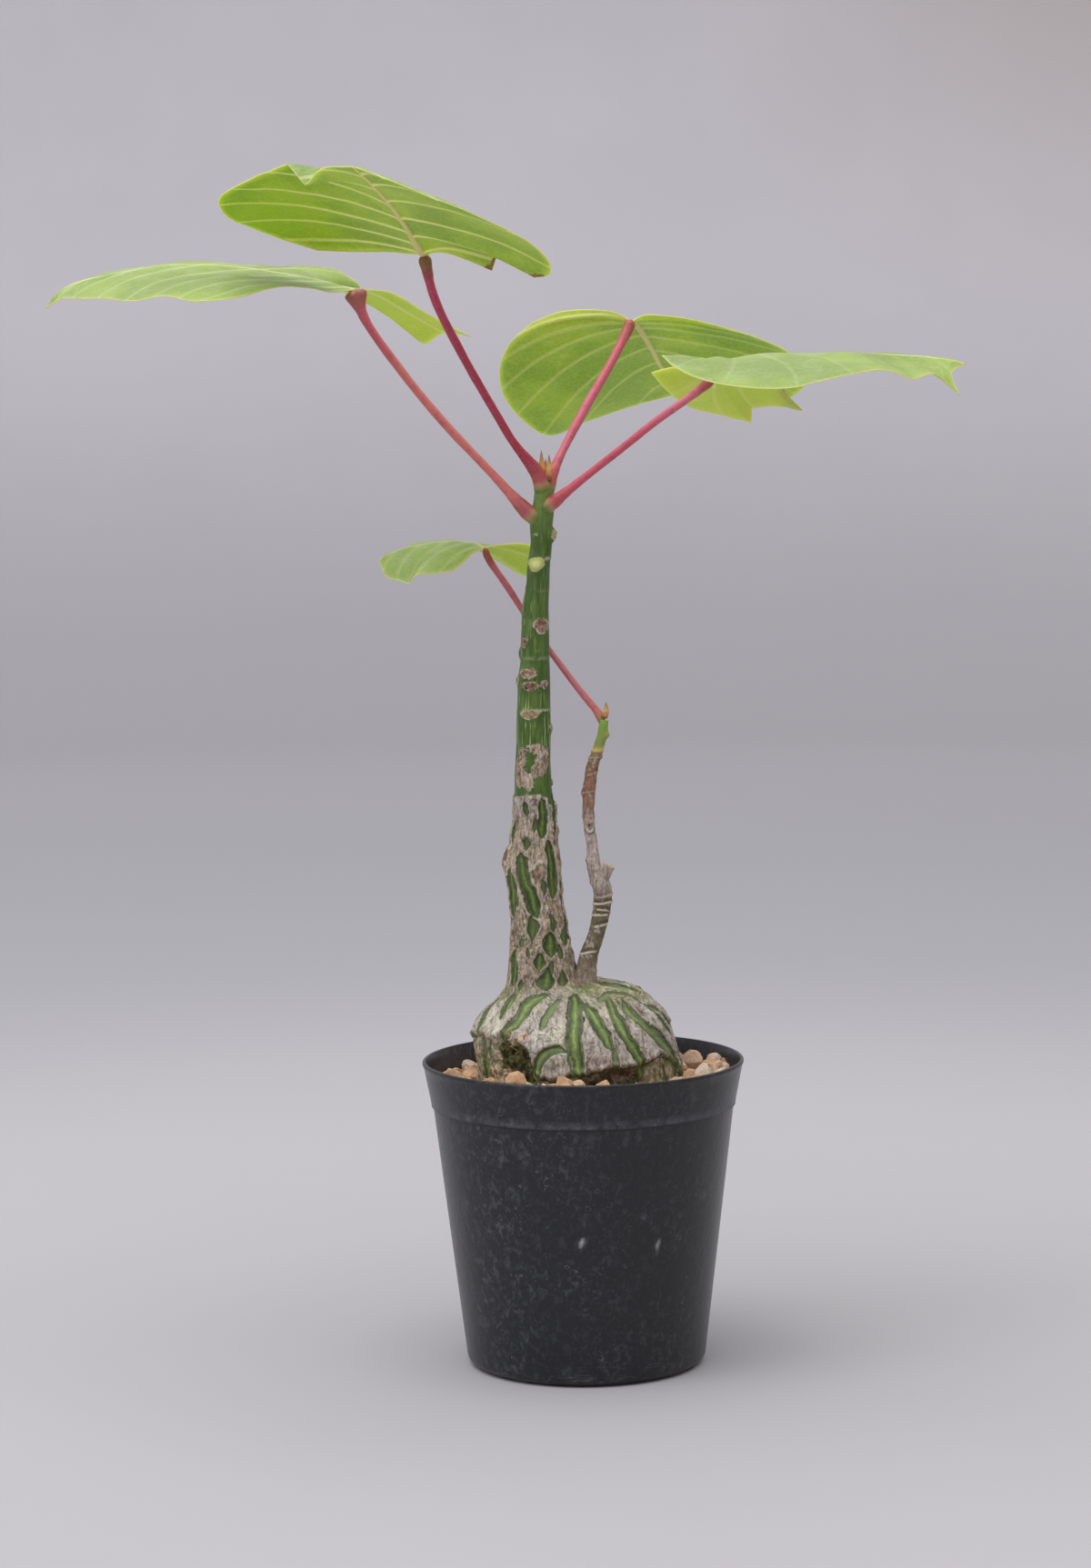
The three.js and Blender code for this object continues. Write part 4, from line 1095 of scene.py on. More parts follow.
@dataclass
class Pot:
    """The nursery pot: a turned thin wall with a band below the rim, drain holes, and two dents."""

    height: float = 95
    rim_radius: float = 50
    base_radius: float = 37.3
    corner: float = 3.3
    band_height: float = 13.6
    band_radius: float = 47.3
    band_step: float = 0.55
    wall: float = 1.1
    floor: float = 1.6
    lip: float = 0.8
    drain_holes: int = 8
    drain_radius: float = 2.6
    drain_circle: float = 27
    segments: int = 240
    # The dents' azimuth, height, radius and depth
    dents: Rows = ((-1.4, 45.2, 1.5, 0.45), (31.4, 43.0, 1.5, 0.45))

    @property
    def band_bottom(self) -> float:
        """The height of the band's lower edge."""
        return self.height - self.band_height

    def outline(self) -> tuple[Array, Array]:
        """The turned section, from the middle of the base outside up and down the inside.

        Straight stretches are cut into steps of about 2 mm, and corners are quarter circles.

        Returns:
            Radius and height at each point, and whether the point is on the inside.
        """
        base, wall, lip, corner, floor = self.base_radius, self.wall, self.lip, self.corner, self.floor
        band, low, rim, top = self.band_radius, self.band_bottom, self.rim_radius, self.height
        under, inner = band - self.band_step, base - wall
        turn = np.radians(np.linspace(0, 90, 9))
        outside = np.vstack([
            [[0.0, 0.0], [base - corner - 3, 0.0]],
            np.stack([base - corner * (1 - np.sin(turn)), corner * (1 - np.cos(turn))], -1),
            [[under - 0.07, low - 1.1], [under - 0.05, low - 0.7], [under, low - 0.4],
             [band - 0.06, low - 0.34], [band, low - 0.26], [band + 0.03, low + 0.3],
             [rim - 0.5 * lip, top - 2 * lip], [rim - 0.12 * lip, top - 1.5 * lip], [rim, top - lip],
             [rim - 0.06, top - 0.35 * lip], [rim - 0.45 * lip, top]],
        ])
        inside = np.array([
            [rim - wall + 0.12, top - 0.02], [rim - wall, top - 0.2], [under - wall, low],
            [inner, corner + floor], [inner - 0.3 * corner, 0.3 * corner + floor], [inner - corner, floor],
            [0.0, floor],
        ])
        section, where = [outside[:1]], [np.zeros(1)]
        whole = np.vstack([outside, inside])
        is_inside = np.concatenate([np.zeros(len(outside)), np.ones(len(inside))])
        for k in range(1, len(whole)):
            steps = max(int(np.linalg.norm(whole[k] - whole[k - 1]) // 2), 1)
            shares = np.linspace(0, 1, steps + 1)[1:, None]
            section.append(mixed(whole[k - 1], whole[k], shares))
            where.append(np.full(steps, is_inside[k]))
        return np.vstack(section), np.concatenate(where)

    def skin(self) -> Shape:
        """The wall as a closed turned surface.

        The radius grows by a slow wave round the pot that fades to nothing at its base, and shrinks in
        each dent by its depth times e to the minus square of the distance over the dent's radius.

        Returns:
            The shape, with marks for soil stains, stressed plastic at the dents, and the painted shade line
            under the band's step and the painted highlight along the band's bottom edge.
        """
        section, inside = self.outline()
        section, inside = section[1:-1], inside[1:-1]
        azimuth = full_turn(self.segments)[None, :]
        radius, height = section[:, :1], section[:, 1:]
        wave = 0.16 * np.sin(2 * azimuth + 0.9) + 0.07 * np.sin(5 * azimuth + 2.0)
        reach = radius + wave * (height / self.height) ** 2
        stress = np.zeros_like(reach)
        for middle, level, size, depth in self.dents:
            across = wrapped(azimuth - math.radians(middle)) * radius
            apart = np.hypot(across, height - level) / size
            reach = reach - depth * bell(apart)
            outer = (inside[:, None] == 0) * (height > self.corner)
            stress = np.maximum(stress, np.exp(-((apart / 0.66) ** 4)) * outer)
        points = np.stack([reach * np.sin(azimuth), -reach * np.cos(azimuth), height + 0 * reach], -1)
        stain = inside[:, None] * ease(height, 95.5, 90) + (1 - inside[:, None]) * 0.5 * ease(height, 4, 0)
        outer = (1 - inside[:, None]) * (height > self.corner) + 0 * reach
        # Painted shade under the band's step, and a painted highlight along its edge
        line = bell(height - self.band_bottom + 0.62, 0.34) * outer
        edge = bell(height - self.band_bottom - 0.05, 0.4) * outer
        marks = {"soil_stain": stain + 0 * reach, "stress": stress, "band_step_shade": line, "band_edge_highlight": edge}
        return Shape.tube(points, marks)

    def drilled(self, pot: Piece) -> None:
        """Cuts the ring of drain holes through the floor.

        Args:
            pot: The pot's piece.
        """
        angles = 2 * np.pi * (np.arange(self.drain_holes) + 0.5) / self.drain_holes
        turn = full_turn(24)
        drills = []
        for angle in angles:
            x = self.drain_circle * np.cos(angle) + self.drain_radius * np.cos(turn)
            y = self.drain_circle * np.sin(angle) + self.drain_radius * np.sin(turn)
            rings = [np.stack([x, y, np.full_like(x, z)], -1) for z in (-3 * self.floor, 3 * self.floor)]
            drills.append(Shape.tube(np.stack(rings)))
        cutter = write_piece("drain_drills", drills, [])
        cut = pot.modifiers.new("drain_holes", "BOOLEAN")
        cut.operation, cut.solver, cut.object = "DIFFERENCE", "EXACT", cutter
        depsgraph = bpy.context.evaluated_depsgraph_get()
        mesh = bpy.data.meshes.new_from_object(pot.evaluated_get(depsgraph))
        pot.modifiers.clear()
        pot.data = mesh
        bpy.data.objects.remove(cutter)

    def build(self) -> None:
        """Makes the pot, drills it and sets its sharp edges."""
        piece = self.skin().written("nursery_pot", [PotPlastic().material()])
        self.drilled(piece)
        piece.data.set_sharp_from_angle(angle=math.radians(50))
        stands_for(piece, "pot")

    def inside_radius(self, height: Array) -> Array:
        """The wall's inner radius in the band, on a straight line between its two ends.

        Args:
            height: Heights from the band's bottom to the rim.

        Returns:
            Radii.
        """
        low = self.band_radius - self.band_step - self.wall
        high = self.rim_radius - self.wall
        return low + (high - low) * (height - self.band_bottom) / self.band_height


@dataclass
class TopDressing:
    """The grit round the caudex: a bumpy bed of fines with angular grains on it, piled higher in places."""

    pot: Pot
    bed_bottom: float = 84.3
    bed_top: float = 86.2
    gap: float = 0.35
    grains: int = 270
    small: float = 1.1
    large: float = 3.5
    # Azimuth from +X in degrees, how much higher the grit lies there and how narrow the pile is
    piles: Rows = ((-8, 4.0, 6), (200, 1.4, 7), (272, 3.2, 2), (90, 1.0, 2))
    caudex_middle: tuple[float, float] = (-0.8, 0.5)
    caudex_radius: float = 32.0
    # The largest grains at the front and the sides: middle, radius and tone
    placed: Rows = (
        (-20.5, -34.0, 93.2, 3.3, 0.42), (-5.5, -37.5, 92.6, 3.4, 0.5), (-1.6, -37.8, 92.4, 2.2, 0.6),
        (5.6, -38.2, 92.2, 2.6, 0.5), (-11.2, -39.2, 92.8, 1.6, 0.95), (12.5, -38.0, 91.6, 2.0, 0.7),
        (20.0, -36.0, 91.6, 2.2, 0.5), (-14.5, -39.5, 91.8, 2.0, 0.3), (-26.5, -35.5, 91.6, 2.4, 0.5),
        (33.9, 1.6, 93.7, 2.6, 0.66), (40.6, 4.0, 93.8, 2.4, 0.8), (39.6, -1.5, 91.6, 3.6, 0.3),
        (36.4, -9.0, 91.4, 3.1, 0.92), (32.8, -14.6, 91.0, 2.2, 0.5), (42.0, -8.5, 90.4, 2.6, 0.4),
        (28.5, -27.0, 91.0, 2.4, 0.5), (36.0, -20.0, 90.6, 2.4, 0.6),
        (-40.4, -8.5, 90.7, 2.7, 0.55), (-34.2, -12.5, 92.0, 2.2, 0.45), (-34.6, -20.6, 91.2, 1.8, 0.5),
        (-38.2, -15.5, 89.8, 2.2, 0.65), (-43.0, -1.5, 89.4, 2.2, 0.5), (-32.5, -27.5, 90.2, 2.2, 0.6),
    )

    def level(self, x: Array, y: Array) -> Array:
        """The height of the bed: its top, the piles as powers of a cosine, and slow noise.

        Args:
            x: Places across.
            y: Places in depth.

        Returns:
            Heights.
        """
        angle = np.arctan2(y, x)
        piled = sum(rise * np.maximum(np.cos(angle - math.radians(middle)), 0) ** narrow
                    for middle, rise, narrow in self.piles)
        out = ease(np.hypot(x, y), 34, 43)
        return self.bed_top + piled * out + 0.5 * noise(np.stack([x, y, 0 * x], -1), 6, SEED)

    def bed(self) -> Shape:
        """The bed as a closed ring: up at the caudex, across the top, and down at the wall.

        Returns:
            The shape, marked as fines.
        """
        azimuth = full_turn(300)[None, :]
        share = np.linspace(0, 1, 26)[:, None]
        inner_x = self.caudex_middle[0] + (self.caudex_radius - 1.2) * np.cos(azimuth)
        inner_y = self.caudex_middle[1] + (self.caudex_radius - 1.2) * 0.96 * np.sin(azimuth)
        reach = self.pot.inside_radius(np.array(85.0)) - self.gap
        x = mixed(inner_x, reach * np.cos(azimuth), share)
        y = mixed(inner_y, reach * np.sin(azimuth), share)
        top = np.stack([x, y, self.level(x, y) + 0.3 * noise(np.stack([x, y, 0 * x], -1), 1.6, SEED + 3)], -1)
        top[..., 2] -= 1.3 * ease(share, 0.9, 1.0)
        bottom = np.stack([x, y, np.full_like(x, self.bed_bottom)], -1)[[-1, 0]]
        grid = np.concatenate([bottom[1:], top, bottom])
        faces = grid_faces(len(grid), azimuth.size)[:, ::-1]
        points = grid.reshape(-1, 3)
        return Shape(points, [faces], {"tone": np.full(len(points), -1.0)})

    def ball(self) -> tuple[Array, Indices]:
        """The corners and faces of a ball of 80 triangles: an icosahedron with each face cut in four.

        Returns:
            Unit vectors and corner numbers.
        """
        golden = (1 + 5**0.5) / 2
        corners = [(-1, golden, 0), (1, golden, 0), (-1, -golden, 0), (1, -golden, 0), (0, -1, golden),
                   (0, 1, golden), (0, -1, -golden), (0, 1, -golden), (golden, 0, -1), (golden, 0, 1),
                   (-golden, 0, -1), (-golden, 0, 1)]
        faces = [(0, 11, 5), (0, 5, 1), (0, 1, 7), (0, 7, 10), (0, 10, 11), (1, 5, 9), (5, 11, 4),
                 (11, 10, 2), (10, 7, 6), (7, 1, 8), (3, 9, 4), (3, 4, 2), (3, 2, 6), (3, 6, 8), (3, 8, 9),
                 (4, 9, 5), (2, 4, 11), (6, 2, 10), (8, 6, 7), (9, 8, 1)]
        middles: dict[tuple[int, int], int] = {}
        points = [np.array(corner, float) for corner in corners]

        def middle(one: int, other: int) -> int:
            """The point half way between two corners, made when it is first asked for.

            Args:
                one: A corner's number.
                other: The other corner's number.

            Returns:
                Its number.
            """
            key = (min(one, other), max(one, other))
            if key not in middles:
                middles[key] = len(points)
                points.append((points[one] + points[other]) / 2)
            return middles[key]

        cut = []
        for first, second, third in faces:
            one, two, three = middle(first, second), middle(second, third), middle(third, first)
            cut += [(first, one, three), (second, two, one), (third, three, two), (one, two, three)]
        return unit(np.array(points)), np.array(cut)

    def stones(self) -> Shape:
        """All the grains at once.

        Each is a ball chiselled by random planes, which push back the points outside them, and then
        flattened. Small ones are spread by the golden angle on the bed, and large ones lie where listed.

        Returns:
            The shape, with each grain's tone from 0 to 1.
        """
        random = np.random.default_rng(SEED)
        ball, faces = self.ball()
        spread = np.arange(self.grains)
        size = self.small + (self.large - self.small) * random.random(self.grains) ** 1.5
        angle = spread * math.radians(137.508) + 0.25 * random.random(self.grains)
        share = np.sqrt((spread + 0.5) / self.grains)
        inner = self.caudex_radius - 0.2
        outer = self.pot.inside_radius(np.array(88.0)) - self.gap - size
        reach = np.sqrt(mixed(inner**2, outer**2, share**2))
        x, y = reach * np.cos(angle), reach * np.sin(angle)
        level = self.level(x, y) + size * (0.3 + 0.45 * random.random(self.grains))
        placed = np.array(self.placed)
        middles = np.concatenate([np.stack([x, y, level], -1), placed[:, :3]])
        size = np.concatenate([size, placed[:, 3]])
        tone = np.concatenate([np.clip(random.normal(0.5, 0.24, self.grains), 0, 1), placed[:, 4]])
        total = len(size)
        stones = np.repeat(ball[None], total, axis=0)
        for _ in range(10):
            facing = unit(random.normal(size=(total, 3)))
            limit = 0.4 + 0.3 * random.random(total)
            past = np.einsum("gvk,gk->gv", stones, facing) - limit[:, None]
            stones = stones - np.maximum(past, 0)[..., None] * facing[:, None]
        stones = stones * (1.42 - 0.4 * random.random((total, 1, 3))) * size[:, None, None]
        tilt = np.linalg.qr(random.normal(size=(total, 3, 3)))[0]
        tilt *= np.sign(np.linalg.det(tilt))[:, None, None]
        stones = np.einsum("gvk,gjk->gvj", stones, tilt) + middles[:, None]
        count = ball.shape[0]
        blocks = (faces[None] + count * np.arange(total)[:, None, None]).reshape(-1, 3)
        return Shape(stones.reshape(-1, 3), [blocks], {"tone": np.repeat(tone, count)}, smooth=False)

    def build(self) -> None:
        """Makes the bed and the grains as one piece."""
        piece = write_piece("grit_dressing", [self.bed(), self.stones()], [Grit().material()])
        stands_for(piece, "grit_layer")


@dataclass(frozen=True)
class Stripe:
    """A stripe of living skin: half its width in millimetres, its way, and how bright it is."""

    half: float
    way: Rows
    vivid: float = 1.0


@dataclass(frozen=True)
class Scar:
    """A leaf scar: its height, azimuth, half width, half height, how far it stands proud, and its age."""

    height: float
    azimuth: float
    wide: float
    high: float
    proud: float
    age: float = 1.0


# Half width, then azimuth and height along the way, then how vivid
CAUDEX_STRIPES = tuple(Stripe(*row) for row in (
    (2.6, ((2, 117.8), (0, 114.5), (-0.2, 109.3), (-0.7, 105), (0, 100.3), (0.5, 93))),
    (0.8, ((2, 115.4), (6, 115.2), (11, 113.8)), 0.9),
    (2.1, ((9, 114.8), (11.4, 113.6), (14, 110.9), (17.2, 106.9), (20, 102.4))),
    (1.0, ((22.3, 103.6), (21.4, 100), (19.5, 94)), 0.25),
    (2.3, ((34, 116.8), (29.5, 113.6), (28.9, 110.1), (30.1, 107.1), (32.8, 104), (35.9, 101.1), (38, 97.9),
          (37, 91))),
    (2.2, ((44, 115.6), (41.9, 112.1), (45.4, 109), (51.3, 106), (57, 102.9), (64.4, 99.6), (67.3, 95.3),
          (70.2, 89)), 0.75),
    (1.7, ((56, 115), (62.4, 112.2), (66.1, 109.7), (70, 106.7), (78, 102)), 0.7),
    (1.9, ((66, 112.6), (81.1, 108.7), (93.6, 104), (97, 96)), 0.6),
    (3.3, ((50, 119), (62, 118.2), (74, 117.2), (84, 115.2))),
    (1.4, ((20, 115.6), (33, 116.8), (50, 116.6), (63, 115)), 0.5),
    (2.7, ((-42, 118.8), (-33, 117), (-37, 115.8), (-39.7, 114.3), (-39.7, 111.8), (-40.9, 109.3),
          (-45.1, 107.2), (-49, 104)), 0.85),
    (1.5, ((-47, 104.6), (-43.9, 101.9), (-47, 97))),
    (2.2, ((-76, 118.4), (-64, 116.8), (-61, 115.1), (-58.5, 112.6), (-56.6, 109.4))),
    (2.4, ((-90, 114.5), (-86, 111.7), (-82, 108.5), (-76, 105.3), (-74, 103.4)), 0.9),
    (1.4, ((-72, 104.4), (-66.9, 100.8), (-66.7, 96.8), (-66.4, 88))),
    (0.8, ((-61, 103.4), (-61.4, 97)), 0.6), (1.0, ((-88, 106), (-86, 90)), 0.8),
    (1.3, ((-12, 116.4), (-17, 113.7), (-20.4, 111.2), (-23, 107.8)), 0.5),
    (1.4, ((-4.6, 101.8), (-10.8, 102.5), (-16.2, 101.3), (-21.2, 98.9), (-25, 93)), 0.8),
    (0.6, ((-3.9, 102), (-3, 98.7), (-3.5, 95)), 0), (1.3, ((74, 101), (78, 95), (79, 86)), 0.5),
    (1.0, ((56, 97.6), (58, 92), (58, 87)), 0.3),
))

TRUNK_LENSES = tuple(Stripe(*row) for row in (
    (1.6, ((25, 176.8), (25, 170.7), (21, 164.4))), (1.1, ((-26, 176.5), (-24, 171.2)), 0.6),
    (1.8, ((40, 163.8), (46, 155.2), (43, 145.5))), (2.2, ((-31, 160.4), (-14, 149.9), (3, 140.2))),
    (2.2, ((-58, 155.4), (-57, 146.7), (-61, 139.5))), (1.8, ((-11, 140.8), (-16, 132.8)), 0.7),
    (1.6, ((34, 140.6), (30, 135.5))), (2.4, ((24, 136.0), (17, 127.8))), (1.9, ((66, 137.0), (56, 130.6))),
    (1.8, ((-2, 129.6), (-6, 123.6))), (3.0, ((8, 124.4), (2, 115.4))), (2.1, ((-61, 129.8), (-55, 118.5))),
    (2.1, ((38, 123.7), (29, 115.7)), 0.6), (1.2, ((-17, 165.4), (-17, 160.6)), 0.3),
    (1.4, ((-66, 170.5), (-61, 162.0)), 0.6), (1.4, ((71, 178.0), (68, 165.0)), 0.7),
    (1.0, ((-40, 134.0), (-41, 130.4)), 0.5), (0.8, ((-24, 131.0), (-24, 127.6)), 0.4),
    (1.1, ((19, 127.6), (15, 122.6)), 0.2), (1.1, ((39, 131.0), (36, 126.8)), 0.3),
    (1.2, ((-38, 121.5), (-36, 116.5)), 0.4), (0.9, ((3, 171.0), (2, 166.5)), 0.3),
    (0.8, ((-44, 149.0), (-40, 143.0)), 0.2), (0.9, ((20, 152.0), (22, 146.5)), 0.2),
))

# Height, azimuth, half width, half height, how proud and how old
SCARS = tuple(Scar(*row) for row in (
    (248.7, -13, 2.3, 2.2, 0.9, 0.0), (257.6, 76, 1.7, 1.6, 1.5, 0.45),
    (229.8, 26, 2.3, 2.3, 0.7), (224.6, -46, 1.5, 1.6, 0.5, 0.8), (215.2, -20, 2.8, 1.5, 0.7),
    (211.2, -14, 2.7, 1.2, 0.4), (211.8, 40, 1.4, 1.3, 0.3), (212.8, -75, 1.2, 1.4, 0.7),
    (202.7, -12, 3.0, 1.5, 0.6, 0.8), (158.2, -82, 2.2, 3.0, 1.1),
    (221, -120, 2.2, 1.8, 0.8), (207, 150, 2.4, 1.8, 0.8), (236, 170, 2.2, 1.9, 0.9),
    (177, -150, 2.8, 2.0, 0.8), (166, 120, 2.6, 2.2, 0.9), (250, 160, 2.0, 1.8, 0.8, 0.7),
))

# Patches of tan cork on the green of the upper trunk: height, azimuth, half width, half height
CORK_PATCHES = (
    (191.9, 8, 4.6, 1.4), (188.4, -42, 1.7, 4.4), (183.4, -38, 2.4, 3.4), (188.4, 36, 2.5, 3.4),
    (185.4, 16, 2.0, 2.6), (182.0, -12, 1.5, 2.6), (224.6, -46, 1.4, 1.6), (184.0, 110, 3.0, 4.5),
    (192.0, -140, 2.6, 3.2), (182.0, 170, 3.0, 3.4), (198.0, 80, 1.4, 1.6), (211.5, -12, 2.6, 1.1),
)

# Thin pale rings that stipules left round the young trunk: height, tilt and the azimuth of its high side
RING_SCARS = ((257.6, 0.7, 75), (249.9, 0.5, 80), (230.6, 0.4, -40), (219.4, 0.2, 10), (203.4, 0.4, 60),
              (241.0, 0.3, 200), (266.5, 0.4, -60))


@dataclass
class StripedStem:
    """The caudex and the trunk that grows from it, as one skin.

    Rows of points go up the caudex's side, over its crown to the trunk's foot and up the trunk to its tip.
    The caudex's rows have twice the columns of the trunk's.
    """

    # Height, radius and the x of the middle of each ring of the caudex
    rings: tuple[Point, ...] = (
        (58, 4, 0), (66, 17, 0), (76, 28.5, 0), (84, 31.6, -0.2), (89, 31.9, -0.6), (93, 31.9, -0.9),
        (97, 31.6, -1.6), (101, 31.2, -2.2), (105, 30.1, -2.4), (109, 27.8, -2.3), (112.5, 24.5, -2.3),
        (115.5, 21, -2.6), (117.6, 15.5, -2.9), (119, 8, -3.4),
    )
    middle_y: float = 0.5
    depth_share: float = 0.96
    shoulder: float = 109
    # x and y of the trunk's middle, its height and its radius
    trunk: Rows = (
        (-11.5, 0, 108, 14.5), (-11.8, 0, 116, 12.2), (-12, 0, 121, 10.7), (-12.4, 0, 127, 9.7),
        (-13, 0, 136, 8.5), (-14.2, 0.2, 146, 8.1), (-14.8, 0.2, 155, 8.3), (-14.4, 0.2, 163, 7.1),
        (-14, 0, 172, 6.1), (-14.4, 0, 182, 5.6), (-14.1, 0, 195, 5.3), (-13.7, 0, 211, 5.1),
        (-13.2, 0, 220, 4.5), (-13, 0, 233, 4.1), (-11.9, 0, 245, 3.6), (-10.7, 0, 257, 3.3),
        (-10.2, 0, 266, 3.0), (-10, 0, 270.5, 2.8), (-9.9, 0, 273.6, 2.3),
    )
    # Hollows in the caudex's foot: azimuth, height, half width, half height and depth
    hollows: Rows = (
        (-39, 95.5, 7, 8, 2.7), (-48, 101.4, 3.6, 3.2, 1.5), (8, 90, 6.5, 3, 1.3), (25, 91, 8.5, 3.6, 1.7),
        (46, 93, 6, 4, 0.7),
    )
    # Crumbs of orange and cream cork: azimuth, height, half width and half height
    crusts: Rows = (
        (-37, 105.2, 4.5, 2.4), (-56, 93.0, 4.2, 3.2), (-64, 104.0, 6.5, 1.3), (-44, 102.5, 2.0, 2.2),
        (-78, 98, 3.0, 5.0),
    )
    # Bleached cork, listed alike
    bleached: Rows = (
        (-62, 108.5, 9.0, 4.5), (-57, 106.0, 6.0, 3.2), (-26, 113.5, 7.0, 2.6), (-10, 105, 4.0, 5.0),
        (22, 113.0, 4.0, 2.5), (88, 108, 12, 4),
    )
    # The ragged lower edge of the cork plates: azimuth and height
    plate_edge: Rows = (
        (-180, 86), (-110, 88), (-98, 101), (-83, 104.1), (-65, 104.6), (-51, 104.8), (-43, 106.4),
        (-37, 105), (-31, 103), (-27.5, 100.7), (-26.8, 98.4), (-25.8, 95.6), (-22.5, 93.8), (-17.4, 93.3),
        (-11.5, 93.6), (-7, 94.4), (0, 94.6), (7, 95.6), (14, 96.1), (31, 96.3), (44.3, 97.8),
        (54.3, 99.1), (64, 97), (74, 93), (84, 88), (180, 86),
    )
    # Swellings of the trunk under the stalks: height, azimuth and how proud
    shoulders: Rows = (
        (261.4, -70, 0.6), (265.4, 70, 0.5), (248.0, -13, 0.5),
        (229.0, 26, 0.4), (215.0, -20, 0.5), (202.0, -12, 0.4),
    )
    # Rows below the soil, up the side, over the crown and up the foot, and rounds that ease the crease there
    buried_levels: tuple[float, ...] = (58, 63, 68, 74, 79)
    side_rows: int = 60
    crown_rows: int = 36
    foot_rows: int = 12
    crease_rows: int = 11
    crease_rounds: int = 26
    columns: int = 440
    # The x of the crown's middle at the shoulder and at the trunk's foot
    shoulder_middle: float = -2.3
    crown_middle: float = -2.9
    join_height: float = 126.0
    # Where the trunk's cork gives way to green wood, how far that edge wanders, and the pale top
    cork_top: float = 177.5
    cork_wander: float = 5.5
    pale_top: tuple[float, float] = (254, 272)
    # Relief: the sunken stripes, their lips and middle ridges, two sizes of furrow, and the plates' edge
    skin_depth: float = 0.6
    stripe_lip: float = 0.3
    stripe_ridge: float = 0.14
    furrow_depth: float = 0.26
    fine_furrow_depth: float = 0.12
    plate_lip: float = 0.5
    plate_step: float = 0.85

    def profile(self) -> Array:
        """The caudex's outline, closely read from a smooth curve through its rings.

        Returns:
            Rows of radius, height and the x of the middle.
        """
        knots = np.array([(radius, height, x) for height, radius, x in (*self.rings, (119.3, 0.5, -3.5))])
        return curve_by_length(knots, np.linspace(0, 1, 900), 1200)

    def lobes(self, azimuth: Array, height: Array) -> Array:
        """How much wider than its ring the caudex is: two slow waves round it."""
        return 0.018 * np.sin(3 * azimuth + 0.6) + 0.014 * np.sin(7 * azimuth + 0.12 * height)

    def trunk_ring(self, height: Array) -> tuple[Array, Array, Array]:
        """x, y and radius of the trunk at heights, eased from each row of its table to the next."""
        x, y, _, radius = read_table(np.array(self.trunk), 2, height)
        return x, y, radius

    def trunk_points(self, azimuth: Array, height: Array) -> Array:
        """Points on the smooth trunk at azimuths in radians and heights."""
        x, y, radius = self.trunk_ring(height)
        return np.stack([x + radius * np.sin(azimuth), y - radius * np.cos(azimuth), height], -1)

    def caudex_points(self, azimuth: Array, height: Array) -> Array:
        """Points on the smooth caudex: its rings, widened by the lobes and flattened in depth.

        Args:
            azimuth: Azimuths in radians.
            height: Heights.

        Returns:
            One point for each.
        """
        outline = self.profile()
        radius = np.interp(height, outline[:, 1], outline[:, 0])
        middle = np.interp(height, outline[:, 1], outline[:, 2])
        reach = radius * (1 + self.lobes(azimuth, height))
        y = self.middle_y - reach * self.depth_share * np.cos(azimuth)
        return np.stack([middle + reach * np.sin(azimuth), y, height], -1)

    def lower_grid(self) -> tuple[Array, Array]:
        """The caudex and the trunk's foot, without relief.

        Up to the shoulder each row is a ring. Over the crown each column runs straight, seen from above,
        from the shoulder to the trunk's foot, and lies at the height that the outline has at that
        distance from the middle. The foot's rows then rise to a level ring. The crease at the foot is
        eased by averaging each point with its upper and lower neighbours.

        Returns:
            The points, rows by columns by 3, and each column's azimuth in radians.
        """
        azimuth = full_turn(self.columns)
        outline = self.profile()
        heights = np.concatenate([self.buried_levels, np.linspace(82, self.shoulder, self.side_rows)])
        side = self.caudex_points(azimuth[None, :] + 0 * heights[:, None], heights[:, None] + 0 * azimuth)
        crown = outline[outline[:, 1] >= self.shoulder - 6]

        def crown_height(x: Array, y: Array, middle: Array, lobe: Array) -> Array:
            """The outline's height at the distance of x and y from the middle."""
            reach = np.hypot(x - middle, (y - self.middle_y) / self.depth_share) / (1 + lobe)
            return np.interp(-reach, -crown[:, 0], crown[:, 1])

        foot_height = np.full(self.columns, 118.0)
        for _ in range(3):
            foot = self.trunk_points(azimuth, foot_height)
            foot_height = crown_height(foot[:, 0], foot[:, 1], self.crown_middle, 0 * azimuth)
        foot = self.trunk_points(azimuth, foot_height)
        share = np.linspace(0, 1, self.crown_rows + 1)[1:, None]
        over = mixed(side[-1][None], foot[None], share[..., None])
        lobe = self.lobes(azimuth, self.shoulder) * (1 - share)
        middle = mixed(self.shoulder_middle, self.crown_middle, share)
        over[..., 2] = crown_height(over[..., 0], over[..., 1], middle, lobe)
        climb = np.linspace(0, 1, self.foot_rows + 1)[1:, None]
        rise = foot_height + (self.join_height - foot_height) * climb
        lifted = self.trunk_points(azimuth[None, :] + 0 * rise, rise)
        grid = np.concatenate([side, over, lifted])
        at = len(side) + len(over) - 1
        weight = np.clip(1 - np.abs(np.arange(len(grid)) - at) / self.crease_rows, 0, 1)[:, None, None]
        for _ in range(self.crease_rounds):
            mean = grid.copy()
            mean[1:-1] = (grid[:-2] + grid[2:]) / 2
            grid = mixed(grid, mean, 0.5 * weight)
        return grid, azimuth

    def upper_grid(self) -> tuple[Array, Array]:
        """The trunk from its foot to its rounded tip, without relief.

        Returns:
            The points, rows by columns by 3, and each column's azimuth in radians.
        """
        azimuth = full_turn(self.columns // 2)
        top = self.trunk[-1][2]
        heights = np.concatenate([np.linspace(self.join_height, 192, 127)[1:], np.linspace(192, top, 92)[1:]])
        points = self.trunk_points(azimuth[None, :] + 0 * heights[:, None], heights[:, None] + 0 * azimuth)
        middle = np.array([self.trunk[-1][0], self.trunk[-1][1], top])
        caps = [middle + (points[-1] - middle) * math.cos(turn) + [0, 0, 0.8 * math.sin(turn)]
                for turn in (0.5, 1.0, 1.4)]
        return np.concatenate([points, caps]), azimuth

